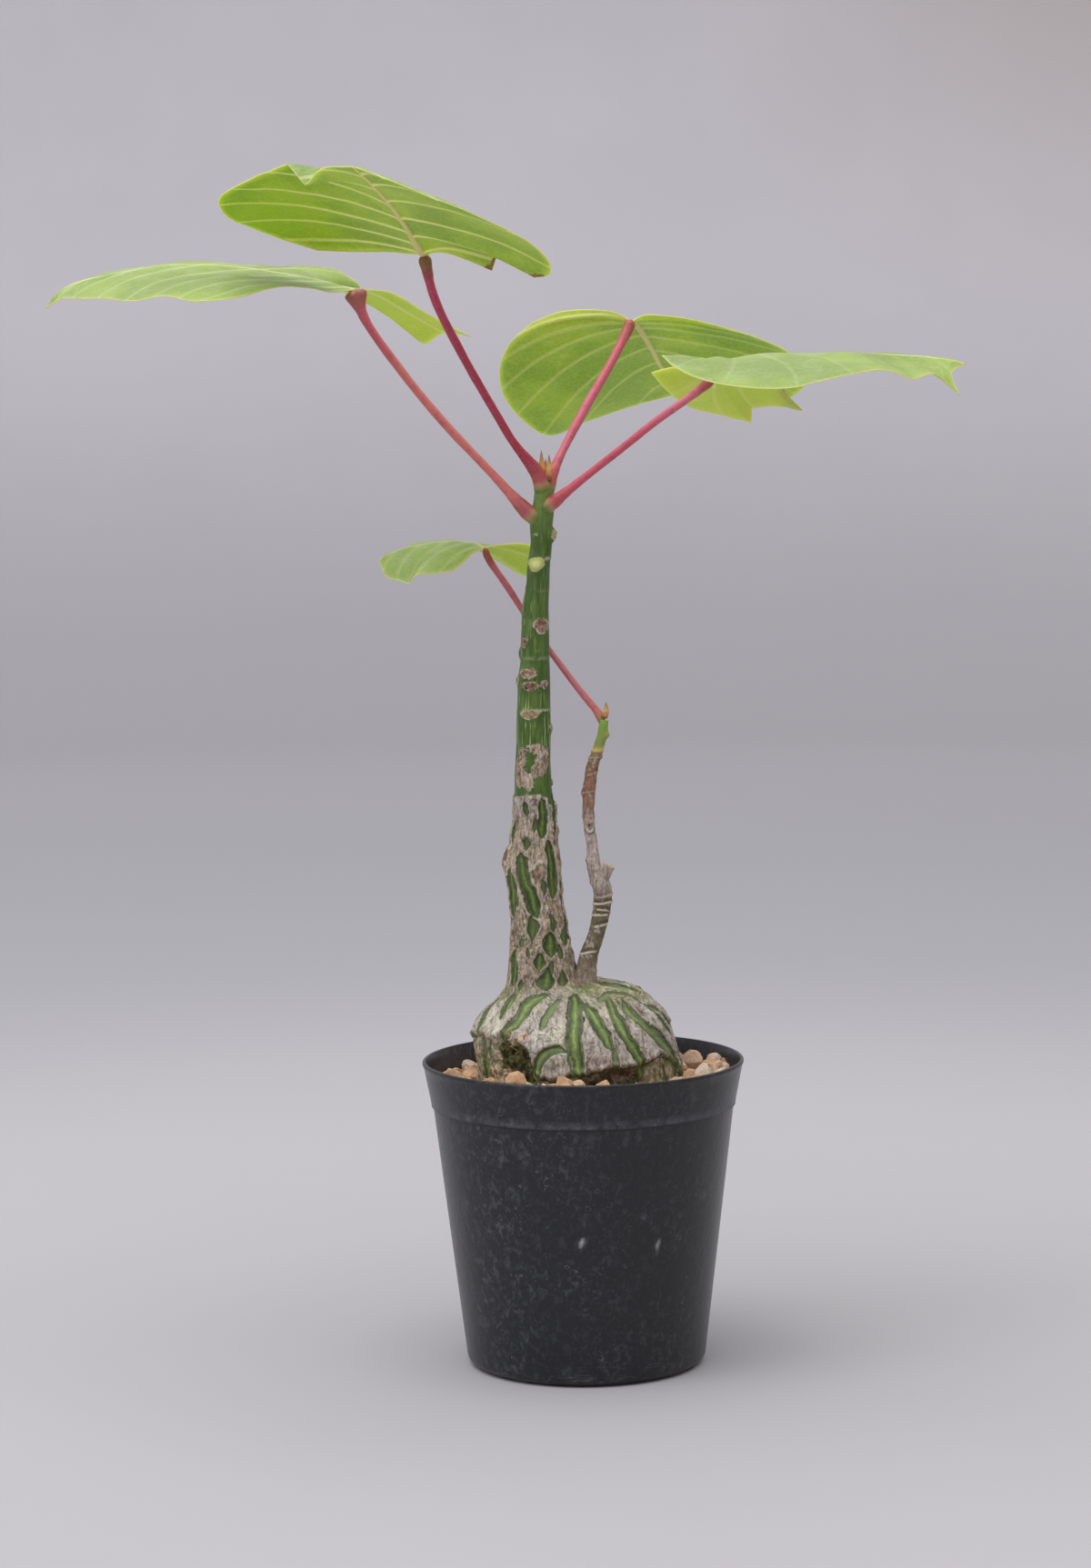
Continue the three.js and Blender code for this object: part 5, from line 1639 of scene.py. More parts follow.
    def back_stripes(self) -> list[Stripe]:
        """More stripes round the caudex's back, from the same random numbers as the part's source.

        Returns:
            The stripes.
        """
        state, stripes = SEED, []
        for k in range(11):
            start = 104 + 158 * k / 10
            draws = []
            for _ in range(2):
                state = (state * 1664525 + 1013904223) % 2**32
                draws.append(state / 2**32)
            end = start + 10 * (draws[0] - 0.5)
            middle = (start + end) / 2 + 5 * (draws[1] - 0.5)
            way = ((start, 117), (middle, 107), (end, 89 + 6 * draws[1]))
            stripes.append(Stripe(1.8, way, 0.25 + 0.75 * draws[0]))
        return stripes

    def back_lenses(self) -> list[Stripe]:
        """More lenses round the trunk's back: staggered rows, longer higher up, each a little askew.

        Returns:
            The lenses.
        """
        random = np.random.default_rng(SEED + 7)
        lenses = []
        for row, height in enumerate(np.arange(119, 176, 7.6)):
            radius = float(self.trunk_ring(np.array(height))[2])
            step = math.degrees(6.6 / radius)
            for azimuth in np.arange(78 + step * (row % 2) / 2, 284, step):
                jitter = random.random(4)
                if jitter[3] < 0.14:
                    continue
                length = 4.2 + 0.09 * (height - 119) + 2.6 * jitter[0]
                lean = 9 * (jitter[1] - 0.5)
                way = ((azimuth + lean, height + length), (azimuth - lean, height - length))
                lenses.append(Stripe(1.15 + 0.8 * jitter[2], way, float(0.3 + 0.7 * jitter[3])))
        return lenses

    def laid(self, stripe: Stripe, on_trunk: bool, skin: Array, normals: Array) -> Array:
        """The line of a stripe on the smooth stem.

        Its way is smoothed, read on the caudex's or the trunk's plain form, and each point is then moved
        along the skin's normal into the skin at its nearest point.

        Args:
            stripe: The stripe.
            on_trunk: Whether its azimuths and heights are the trunk's.
            skin: Points of the smooth stem.
            normals: Their normals.

        Returns:
            Points of the line.
        """
        way = np.array([(azimuth, height, 0.0) for azimuth, height in stripe.way])
        read = curve_by_length(way * [0.35, 1, 1], np.linspace(0, 1, 15)) / [0.35, 1, 1]
        surface = self.trunk_points if on_trunk else self.caudex_points
        line = surface(np.radians(read[:, 0]), read[:, 1])
        nearest = ((skin[None] - line[:, None]) ** 2).sum(-1).argmin(1)
        step = ((skin[nearest] - line) * normals[nearest]).sum(-1, keepdims=True)
        return line + step * normals[nearest]

    def stripe_marks(self, points: Array, on_trunk: Array, skin: Array,
                     normals: Array) -> tuple[Array, Array]:
        """Where the stripes and lenses lie.

        A stripe's field is the distance from its line over half the width there. The places are moved by
        noise first, the width swells by noise and narrows to the ends, slowly on long stripes and like a
        leaf on short ones, and more noise frays the edges.

        Args:
            points: Places on the smooth stem.
            on_trunk: The share to which each place is on the trunk.
            skin: Points of the whole smooth stem.
            normals: Their normals.

        Returns:
            The least field of all stripes, up to 3, and how vivid the nearest stripe is.
        """
        field_value = np.full(points.shape[:-1], 3.0)
        vivid = np.ones_like(field_value)
        ragged = 0.46 * fractal(points, 2.2, SEED + 11) + 0.22 * noise(points, 0.9, SEED + 12)
        swell = 1 + 0.24 * noise(points, 3.6, SEED + 13)
        bent = points + 0.42 * np.stack([noise(points, 2.6, SEED + 14 + k) for k in range(3)], -1)
        families = (
            ([*CAUDEX_STRIPES, *self.back_stripes()], False, 1 - on_trunk),
            ([*TRUNK_LENSES, *self.back_lenses()], True, on_trunk),
        )
        for stripes, is_trunk, weight in families:
            near = weight > 0.02
            for stripe in stripes:
                line = self.laid(stripe, is_trunk, skin, normals)
                away, share = polyline_distance(bent[near], line)
                short = step_lengths(line).sum() < 11
                out = np.abs(2 * share - 1)
                taper = (1 - out**1.7) ** 0.85 if short else (1 - out**4) ** 0.6
                half = stripe.half * np.maximum(taper, 0.1) * swell[near]
                edge = ragged[near] * min(1, stripe.half / 1.8) * ease(away, 0, 0.7 * half)
                value = np.maximum(away + edge, 0) / half + 2.5 * (1 - weight[near])
                nearer = value < field_value[near]
                field_value[near] = np.where(nearer, value, field_value[near])
                vivid[near] = np.where(nearer, stripe.vivid, vivid[near])
        return field_value, vivid

    def trunk_across(self, points: Array, azimuth: float, height: float) -> tuple[Array, Array]:
        """Distances round the trunk and along it from a place on it.

        Args:
            points: Places on the stem.
            azimuth: The place's azimuth in degrees.
            height: Its height.

        Returns:
            The distance round, and the distance up.
        """
        x, y, radius = self.trunk_ring(points[..., 2])
        angle = np.arctan2(points[..., 0] - x, y - points[..., 1]) - math.radians(azimuth)
        return wrapped(angle) * radius, points[..., 2] - height

    def marks(self, points: Array, azimuth: Array, on_trunk: Array, skin: Array,
              normals: Array) -> dict[str, Array]:
        """Everything that the finish and the relief read at the points.

        Args:
            points: Places on the smooth stem.
            azimuth: Their azimuths in radians round their own middle.
            on_trunk: The share to which each is on the trunk.
            skin: Points of the whole smooth stem.
            normals: Their normals.

        Returns:
            Fields by name. Cork is in millimetres and above 0 on cork.
        """
        stripe, vivid = self.stripe_marks(points, on_trunk, skin, normals)
        height = points[..., 2]
        around = np.degrees(wrapped(azimuth))
        cork = self.cork_top - height + self.cork_wander * fractal(points, 4.5, SEED + 21)
        for level, middle, wide, high in CORK_PATCHES:
            across, up = self.trunk_across(points, middle, level)
            patch = (1 - np.hypot(across / wide, up / high)) * min(wide, high)
            cork = np.maximum(cork, patch + 0.55 * fractal(points, 1.8, SEED + 25))
        cork = cork + 0.45 * noise(points, 1.4, SEED + 22)
        scar = np.full_like(height, 3.0)
        age, scar_up = np.ones_like(height), np.zeros_like(height)
        bent = 0.5 * noise(points, 2.0, SEED + 26), 0.4 * noise(points, 1.4, SEED + 27)
        for one in SCARS:
            across, up = self.trunk_across(points, one.azimuth, one.height)
            shift = 0.6 if one.age > 0.5 else 0.4
            apart = self.shield((across + shift * bent[0]) / one.wide, (up + shift * bent[1]) / one.high)
            apart = apart + 3 * (1 - ease(on_trunk, 0, 0.5))
            age = np.where(apart < scar, one.age, age)
            scar_up = np.where(apart < scar, np.clip(up / one.high, -1.5, 1.5), scar_up)
            scar = np.minimum(scar, apart)
        ring = np.zeros_like(height)
        for level, tilt, high_side in RING_SCARS:
            up = height - level - tilt * np.cos(azimuth - math.radians(high_side))
            ring = np.maximum(ring, bell(up + 0.15 * bent[0], 0.22))
        edges = np.array(self.plate_edge)
        ragged = 1.1 * fractal(points, 4, SEED + 23) + 0.5 * noise(points, 1.3, SEED + 24)
        above = height - np.interp(around, edges[:, 0], edges[:, 1]) + ragged
        above = above + 40 * on_trunk
        hollow = self.hollow_depth(around, height, points) / 3.2
        # Moss with painted shade in the hollows; below, a painted shadow just under the plates' lower edge
        moss = np.clip(1.9 * hollow * (around < -20), 0, 1)
        crack = bell(above + 0.5, 0.55) * ease(np.abs(around + 62), 20, 28)
        broken = ease(fractal(points, 1.7, SEED + 29), -0.35, 0.25)
        crust = self.patches(self.crusts, around, height, bent) * broken
        bleached = self.patches(self.bleached, around, height, bent)
        reach = mixed(25.0, 9.0, ease(height, 118, 138))
        fibre = np.stack([reach * np.sin(azimuth), reach * np.cos(azimuth), 0.36 * self.path(points)], -1)
        streaked = ease(height, 170, 190) * (0.25 + 0.75 * ease(height, 250, 225))
        flake = self.flakes(fibre, points)
        bare = ease(stripe, 1.0, 1.3) * ease(cork, 0, 0.6)
        # Painted shade, in damp browns, under the plates' ledge at the front
        damp_and_shade = ease(above, 0.2, -0.7) * ease(around, -6, 3) * ease(around, 42, 33) * (1 - on_trunk)
        beside_front = 0.3 + 0.7 * ease(np.abs(around), 12, 40)
        crown = ease(height, 111.5, 116) * (1 - ease(on_trunk, 0.6, 1)) * beside_front
        return {
            "stripe": stripe, "vivid": vivid, "cork": cork, "scar": scar, "scar_age": age,
            "moss": np.maximum(moss, 0.75 * crack), "crust": 1.3 * crust * (1 - on_trunk),
            "foot": ease(above, 0.2, -0.8), "ring": 0.9 * ring * ease(on_trunk, 0.5, 1), "trunk": on_trunk,
            "top": ease(height, *self.pale_top), "fibre": fibre, "streaked": streaked, "above": above,
            "scar_up": scar_up, "damp_and_shade": damp_and_shade, "crown": crown,
            "bleached": bleached * (1 - on_trunk), "crumbly": on_trunk * ease(height, 176, 166),
            # Painted highlight on each flake's lip and painted shadow at its foot
            "flake_lip_highlight": bare * bell(flake % 1 - 0.36, 0.14), "flake": flake,
            "flake_step_shadow": bare * bell(flake % 1 - 0.06, 0.09),
        }

    @staticmethod
    def patches(listed: Rows, around: Array, height: Array,
                bent: tuple[Array, Array]) -> Array:
        """Patches of the caudex, each e to the minus square of a distance bent by noise.

        Args:
            listed: The azimuth, height, half width and half height of each.
            around: Azimuths in degrees.
            height: Heights.
            bent: Noise that moves the places round and up.

        Returns:
            The largest of all at each point, from 0 to 1.
        """
        total = np.zeros_like(height)
        for middle, level, wide, high in listed:
            across = (np.radians(around - middle) * 30 + 2 * bent[0]) / wide
            up = (height - level + 2 * bent[1]) / high
            total = np.maximum(total, np.exp(-(across**2) - up**2))
        return total

    def flakes(self, fibre: Array, points: Array) -> Array:
        """A slow ragged field whose whole numbers are where one flake of cork steps up on the next.

        Args:
            fibre: Coordinates that are drawn out along the stem.
            points: Places on the stem.

        Returns:
            The field.
        """
        slow = noise(fibre, 4.2, SEED + 81) + 0.45 * noise(fibre, 2.0, SEED + 82)
        return 20 + 2.3 * slow + 0.22 * noise(points, 1.3, SEED + 83)

    @staticmethod
    def shield(across: Array, up: Array) -> Array:
        """The distance from the middle of a shield, with 1 on its outline.

        It is the root of the squares, with the level distance widened below the middle, so that the
        shape is broad above and pointed below, and with the upright one raised above, so that it is flat.

        Args:
            across: The level distance over the half width.
            up: The upright distance over the half height.

        Returns:
            The distance.
        """
        level = across * (1 + 0.5 * np.clip(-up, 0, 1.4))
        upright = np.where(up > 0, 1.15 * up * (1 - 0.2 * np.clip(np.abs(across), 0, 1)), 0.92 * up)
        return np.hypot(level, upright)

    def path(self, points: Array) -> Array:
        """How far along the stem points lie: the height, less the distance from the caudex's middle."""
        away = np.hypot(points[..., 0] + 6, points[..., 1])
        return points[..., 2] - 0.8 * away * ease(points[..., 2], 124, 112)

    def hollow_depth(self, around: Array, height: Array, points: Array) -> Array:
        """The depth of the hollows: each falls off as e to the minus sixth power of a ragged distance.

        Args:
            around: Azimuths in degrees.
            height: Heights.
            points: The places themselves, for the noise.

        Returns:
            Depths in millimetres.
        """
        depth = np.zeros_like(height)
        ragged = 1.4 * fractal(points, 4.5, SEED + 28)
        for middle, level, wide, high, deep in self.hollows:
            level_apart = (np.radians(around - middle) * 30 + ragged) / wide
            apart = np.hypot(level_apart, (height - level - ragged) / high)
            depth = depth + deep * np.exp(-(apart**6))
        return depth

    def relief(self, points: Array, azimuth: Array, on_trunk: Array, marks: dict[str, Array]) -> Array:
        """How far the skin stands off the smooth stem, in millimetres.

        Cork stands proud, steps from flake to flake and is furrowed along its fibres. Stripes are sunk
        with a low ridge in the middle and a raised lip outside. The foot below the plates' edge steps
        back and has hollows, and scars, stipule rings and the shoulders under the stalks swell.

        Args:
            points: Places on the smooth stem.
            azimuth: Their azimuths in radians.
            on_trunk: The share to which each is on the trunk.
            marks: Their marks.

        Returns:
            Distances along the normals.
        """
        stripe, cork, fibre = marks["stripe"], marks["cork"], marks["fibre"]
        around = np.degrees(wrapped(azimuth))
        corky = ease(cork, -0.3, 0.4) * ease(stripe, 0.9, 1.15)
        furrow = np.clip(1 - np.abs(noise(fibre, 2.4, SEED + 31)) / 0.16, 0, 1)
        finer = np.clip(1 - np.abs(noise(fibre, 1.4, SEED + 37)) / 0.2, 0, 1)
        rough = 0.3 * fractal(fibre, 2.6, SEED + 32) + 0.14 * fractal(points, 2.2, SEED + 33, 2)
        loose = ease(noise(points, 5, SEED + 84), -0.4, 0.4)
        crumbs = 0.3 * on_trunk * fractal(points, 1.7, SEED + 38, 2) * loose
        worn = ease(noise(points, 3.0, SEED + 34), -0.3, 0.3)
        flake = marks["flake"]
        stepped = np.floor(flake) + ease(flake % 1, 0, 0.3) - 20.5
        flaky = mixed(0.26, 0.15, on_trunk) * np.clip(stepped, -2, 2)
        bark = 0.3 + flaky + 0.7 * rough + crumbs - self.furrow_depth * furrow * worn
        bark = bark - self.fine_furrow_depth * finer * (1 - worn)
        height = corky * bark
        height = height - self.skin_depth * mixed(0.7, 0.6, on_trunk) * ease(stripe, 1.12, 0.82)
        lips = self.stripe_lip * corky * bell(stripe - 1.25, 0.2)
        height = height + self.stripe_ridge * bell(stripe, 0.22) + lips
        step = ease(marks["above"], 0.4, -0.9)
        lip = bell(marks["above"] - 0.9, 0.9)
        shown = ease(np.abs(around - 90 + 82), 108, 96)
        height = height + shown * (1 - on_trunk) * (self.plate_lip * lip - self.plate_step * step)
        height = height + step * 0.5 * fractal(points, 2.6, SEED + 35) * (1 - on_trunk)
        hollow = self.hollow_depth(around, points[..., 2], points) * (1 - on_trunk)
        height = height - hollow * (1 + 0.35 * fractal(points, 2.4, SEED + 39))
        height = height + 0.35 * noise(points, 11, SEED + 36) * mixed(1.0, 0.4, on_trunk)
        for one in SCARS:
            across, up = self.trunk_across(points, one.azimuth, one.height)
            apart = self.shield(across / one.wide, up / one.high)
            swell = one.proud * np.exp(-((apart / 1.15) ** 4)) + 0.16 * bell(apart - 1.05, 0.16)
            swell = swell - 0.3 * one.age * bell(apart, 0.55)
            height = height + ease(on_trunk, 0, 0.5) * swell
        old = ease(marks["scar"], 1.1, 0.9) * marks["scar_age"]
        height = height + 0.08 * old * fractal(points, 1.2, SEED + 40, 2)
        for level, tilt, high_side in RING_SCARS:
            up = points[..., 2] - level - tilt * np.cos(azimuth - math.radians(high_side))
            height = height + 0.16 * bell(up, 0.4) - 0.1 * bell(up + 0.8, 0.4)
        for level, middle, proud in self.shoulders:
            across, up = self.trunk_across(points, middle, level)
            height = height + proud * np.exp(-((across / 2.6) ** 2) - (up / np.where(up > 0, 1.6, 3.4)) ** 2)
        under = ease(points[..., 2], 80, 84)
        return height * under

    def build(self) -> None:
        """Makes the skin: both grids, a row of triangles that joins them, and a point at each end."""
        shapes, marks = [], []
        grids = (self.lower_grid(), self.upper_grid())
        skin = np.concatenate([grid.reshape(-1, 3) for grid, _ in grids])[::3]
        normals = np.concatenate([grid_normals(grid).reshape(-1, 3) for grid, _ in grids])[::3]
        for grid, azimuth in grids:
            turn = azimuth[None, :] + 0 * grid[..., 0]
            level = grid[..., 2] - 0.5 * ease(grid[..., 0], -24, 0)
            on_trunk = ease(level, 114.5, 119.5) * self.near_trunk(grid)
            fields = self.marks(grid, turn, on_trunk, skin, normals)
            lift = self.relief(grid, turn, on_trunk, fields)
            fields.pop("above")
            fields.pop("flake")
            shapes.append(grid + lift[..., None] * grid_normals(grid))
            marks.append(fields)
        lower, upper = shapes
        rows, wide = lower.shape[:2]
        narrow = upper.shape[1]
        first = rows * wide
        last = first + (len(upper) - 1) * narrow
        total = first + upper.shape[0] * narrow
        fine = (rows - 1) * wide + np.arange(wide)
        one, two, three = fine[::2], fine[1::2], np.roll(fine[::2], -1)
        here = first + np.arange(narrow)
        beside = np.roll(here, -1)
        joint = np.concatenate([
            np.stack(corners, -1) for corners in ((one, two, here), (two, three, beside), (two, beside, here))
        ])
        top = last + np.arange(narrow)
        ends = np.concatenate([fan(total, np.arange(wide)), fan(total + 1, top, above=True)])
        points = np.concatenate([
            lower.reshape(-1, 3), upper.reshape(-1, 3), lower[0].mean(0)[None], upper[-1].mean(0)[None],
        ])
        kept = {}
        for name in marks[0]:
            parts = [fields[name].reshape(-1, *fields[name].shape[2:]) for fields in marks]
            kept[name] = np.concatenate([*parts, parts[0][:1], parts[1][-1:]])
        faces = [grid_faces(rows, wide), grid_faces(len(upper), narrow) + first, joint, ends]
        piece = Shape(points, faces, kept).written("striped_stem", [StemSkin().material()])
        stands_for(piece, "caudex_and_trunk")

    def near_trunk(self, points: Array) -> Array:
        """1 on the trunk and its foot, and 0 further out on the crown."""
        x, y, radius = self.trunk_ring(np.maximum(points[..., 2], 116))
        return ease(np.hypot(points[..., 0] - x, points[..., 1] - y) - radius, 2.4, 0.4)


def tube_points(path: Array, radii: Array, sides: int) -> Array:
    """A tube round a path that never runs along Y.

    At each point of the path the ring lies square to the path, in the plane of two vectors: Y crossed
    with the path's direction, and that direction crossed with the first.

    Args:
        path: Points in order.
        radii: The radius at each point, alone or with an axis for the sides.
        sides: How many points a ring.

    Returns:
        Points, rows by sides by 3.
    """
    ahead = unit(np.gradient(path, axis=0))
    across = unit(np.cross([0.0, 1.0, 0.0], ahead))
    up = np.cross(ahead, across)
    turn = full_turn(sides)
    round_it = np.cos(turn)[:, None] * across[:, None] + np.sin(turn)[:, None] * up[:, None]
    radii = radii[:, None] if radii.ndim == 1 else radii
    return path[:, None] + radii[..., None] * round_it


@dataclass
class SideShoot:
    """The thin shoot beside the trunk: bark with rings of old scars, the stub of a cut twig, a green tip."""

    # x, y, height and radius along the shoot
    rows: Rows = (
        (-1.5, -4, 112, 4.6), (0.1, -4, 117.5, 3.9), (1.0, -4, 121.5, 3.3), (2.2, -3.9, 127.5, 2.8),
        (3.8, -3.5, 132, 2.55), (5.6, -3, 138, 2.55), (6.7, -2.3, 144.5, 2.85), (6.5, -1.9, 148.5, 2.9),
        (5.0, -1.2, 152, 2.4), (4.1, -0.8, 155.5, 2.0), (3.8, -0.2, 160, 1.8), (2.9, 0.5, 167, 1.8),
        (2.6, 1.2, 173, 1.85), (3.1, 2, 180, 1.9), (4.0, 2.8, 185.5, 1.9), (5.2, 3.2, 189.2, 1.7),
        (6.3, 3.5, 192.5, 1.6), (7.3, 3.8, 196, 1.5), (7.8, 4, 200, 1.4),
    )
    stub: tuple[Point, ...] = ((5.0, -1.2, 148.6), (7.0, -1.5, 152.3), (8.8, -1.8, 155.4))
    stub_radii: tuple[float, ...] = (2.6, 2.1, 1.95)
    # Rings round the bark: height, how proud, half the height of the swelling, how pale, by how many degrees
    # it reaches each way, from which azimuth, and how much it drops to the left there
    rings: Rows = (
        (128.8, 0.35, 0.6, 0.8, 60, -30, 0.3), (137.2, 0.25, 0.3, 0.9, 50, 30, 0.5),
        (140.2, 0.3, 0.35, 0.9, 70, -30, 0), (141.5, 0.3, 0.35, 0.9, 55, 30, -0.6),
        (144.0, 0.42, 0.4, 1, 180, 20, 0.25), (146.3, 0.3, 0.4, 0.5, 80, 40, 0.4),
        (154.6, 0.35, 0.8, 0.2, 80, -60, 0), (170.4, 0.2, 0.4, 0.3, 180, 0, 0),
        (177.8, 0.3, 0.6, 0.5, 90, -40, 0.4), (183.6, 0.2, 0.5, 0.5, 70, 40, 0.5),
        (188.6, 0.35, 0.6, 0.5, 180, 0, 0.3), (190.4, 0.25, 0.4, 0.2, 180, 0, 0),
    )
    steps: int = 330
    sides: int = 56
    # The height of the eye-shaped scar of an old leaf, at the front
    eye_height: float = 167.1
    # The place of the small green bump beside the tip
    green_bump: Point = (9.2, 3.6, 195.4)
    # Buds and bumps: azimuth, height, radius and how proud
    bumps: Rows = ((80, 195.4, 1.0, 0.8), (-85, 178.0, 1.1, 0.45),
                                                           (10, 168.6, 1.0, 0.3), (-70, 157.0, 1.1, 0.5))

    def shoot(self) -> Shape:
        """The shoot as a tube along a smooth curve.

        The radius runs straight from row to row, is raised at each ring by e to the minus square of the
        distance, and is roughened by noise that the green tip lacks. The scar of an old leaf is a lower
        arc with a dark heart.

        Returns:
            The shape, with marks for rings, the shade under them, the yellow collar and cut ends.
        """
        table = np.array(self.rows)
        places = np.linspace(0, len(table) - 1, self.steps)
        path = curve(table[:, :3], places)
        radius = np.interp(places, np.arange(len(table)), table[:, 3])
        points = tube_points(path, radius, self.sides)
        height = points[..., 2]
        woody = ease(height, 191, 188)
        rings, shade = np.zeros_like(height), np.zeros_like(height)
        drawn_out, even = fractal(points * [1, 1, 0.35], 1.5, SEED + 41), fractal(points, 1.1, SEED + 42)
        lift = woody * (0.22 * drawn_out + 0.14 * even)
        wobble = 0.4 * noise(points, 3.0, SEED + 43)
        azimuth = full_turn(self.sides)
        middle = path[:, None]
        outward = unit(points - middle)
        facing_front = np.degrees(np.arctan2(outward[..., 0], -outward[..., 1]))
        for level, proud, half, pale, reach, centre, drop in self.rings:
            turned = np.mod(facing_front - centre + 180, 360) - 180
            up = height - level + wobble - drop * np.sin(np.radians(turned))
            held = ease(np.abs(turned), reach + 25, reach - 5) if reach < 180 else 1.0
            lift = lift + proud * held * bell(up, half)
            rings = np.maximum(rings, pale * held * bell(up, 0.4))
            shade = np.maximum(shade, pale * held * bell(up - 0.9, 0.45))
        front = np.hypot(np.radians(facing_front) * radius[:, None], height - self.eye_height)
        lower = ease(height - self.eye_height, 0.7, -0.3) * (np.abs(facing_front) < 90)
        rings = np.maximum(rings, lower * bell(front - 1.2, 0.35))
        shade = np.maximum(shade, lower * bell(front - 1.85, 0.3))
        dot = np.hypot(np.radians(facing_front) * radius[:, None], height - self.eye_height - 0.8)
        shade = np.maximum(shade, 1.4 * bell(dot, 0.55))
        for around, level, size, proud in self.bumps:
            facing = np.array([math.sin(math.radians(around)), -math.cos(math.radians(around)), 0])
            apart = np.hypot(1.9 * (1 - outward @ facing) * radius[:, None], height - level) / size
            lift = lift + proud * bell(apart)
        flare = 1.5 * ease(height, 124, 114) * (0.7 + 0.5 * np.sin(5 * azimuth)[None, :])
        points = points + (lift + flare)[..., None] * outward
        collar = bell(height - 191.0, 0.8) * 0.8
        green_bump = bell(np.linalg.norm(points - self.green_bump, axis=-1), 1.1) * 0.6
        marks = {"ring": rings * woody, "ring_shade": shade * woody, "collar": np.maximum(collar, green_bump),
                 "cut": 0 * height}
        return Shape.tube(points, marks)

    def cut_stub(self) -> Shape:
        """The stub as a short tapered tube with a slightly domed cut face.

        Returns:
            The shape, with the shoot's marks.
        """
        share = np.linspace(0, 1, 26)
        path = curve_by_length(np.array(self.stub), share)
        radius = smooth_list(self.stub_radii, share)
        points = tube_points(path, radius, 40)
        points = points + (0.16 * fractal(points, 1.3, SEED + 45))[..., None] * unit(points - path[:, None])
        face = path[-1] + (points[-1] - path[-1]) * np.array([0.86, 0.55, 0.2])[:, None, None]
        face = face + unit(path[-1] - path[-2]) * np.array([0.22, 0.3, 0.34])[:, None, None]
        points = np.concatenate([points, face])
        rows = np.arange(len(points))[:, None] + 0 * points[..., 0]
        cut = ease(rows, 25.2, 26.2)
        marks = {"ring": 0 * cut, "ring_shade": 0 * cut, "collar": 0 * cut, "cut": 0.8 * cut}
        return Shape.tube(points, marks)

    def build(self) -> None:
        """Makes the shoot with its stub as one piece."""
        piece = write_piece("side_shoot_bark", [self.shoot(), self.cut_stub()], [ShootBark().material()])
        stands_for(piece, "side_shoot")


@dataclass
class Bud:
    """Dry pointed stipules round a tip."""

    name: str
    node: str
    scales: tuple[tuple[Point, Point, Point], ...]
    radius: float = 1.0
    bulge: float = 0.25
    steps: int = 40
    sides: int = 28

    def scale(self, knots: tuple[Point, Point, Point], number: int) -> Shape:
        """A stipule: a tube that is flattened, keeled on its back and drawn out to a point.

        Args:
            knots: The points of its middle.
            number: Which stipule it is, for its noise.

        Returns:
            The shape.
        """
        share = np.linspace(0, 1, self.steps)
        path = curve_by_length(np.array(knots), share)
        radius = self.radius * np.maximum(1 - share, 0.03) + self.bulge * np.sin(np.pi * share)
        turn = full_turn(self.sides)
        flat = 1 - 0.3 * share[:, None] * np.abs(np.sin(turn))[None, :]
        keel = 1 + 0.16 * np.cos(turn - 0.6)[None, :] ** 8
        points = tube_points(path, radius[:, None] * flat * keel, self.sides)
        ribbed = 0.05 * noise(points * [1, 1, 0.2], 0.5, SEED + 50 + number)
        points = points + ribbed[..., None] * unit(points - path[:, None])
        return Shape.tube(points, {"along": share[:, None] + 0 * points[..., 0]})

    def build(self, material: Material) -> None:
        """Makes all the stipules as one piece.

        Args:
            material: Their finish.
        """
        shapes = [self.scale(knots, k) for k, knots in enumerate(self.scales)]
        piece = write_piece(self.name, shapes, [material])
        stands_for(piece, self.node)


@dataclass(frozen=True)
class Half:
    """One half of a blade. Points are measured from the seat.

    The base margin leaves the seat and reaches the first vein's end, and the ends go round the margin to
    the tip. Teeth are the ends where the margin turns sharply. Sweep leans the veins forward and arch
    lifts them, both as shares of a vein's length. Veins are the shares of the half where side veins run.
    """

    sweep: float
    arch: float
    base: tuple[Point, ...]
    ends: tuple[Point, ...]
    teeth: tuple[int, ...] = ()
    veins: tuple[float, ...] = (0.09, 0.21, 0.34, 0.48, 0.63, 0.79, 0.91)


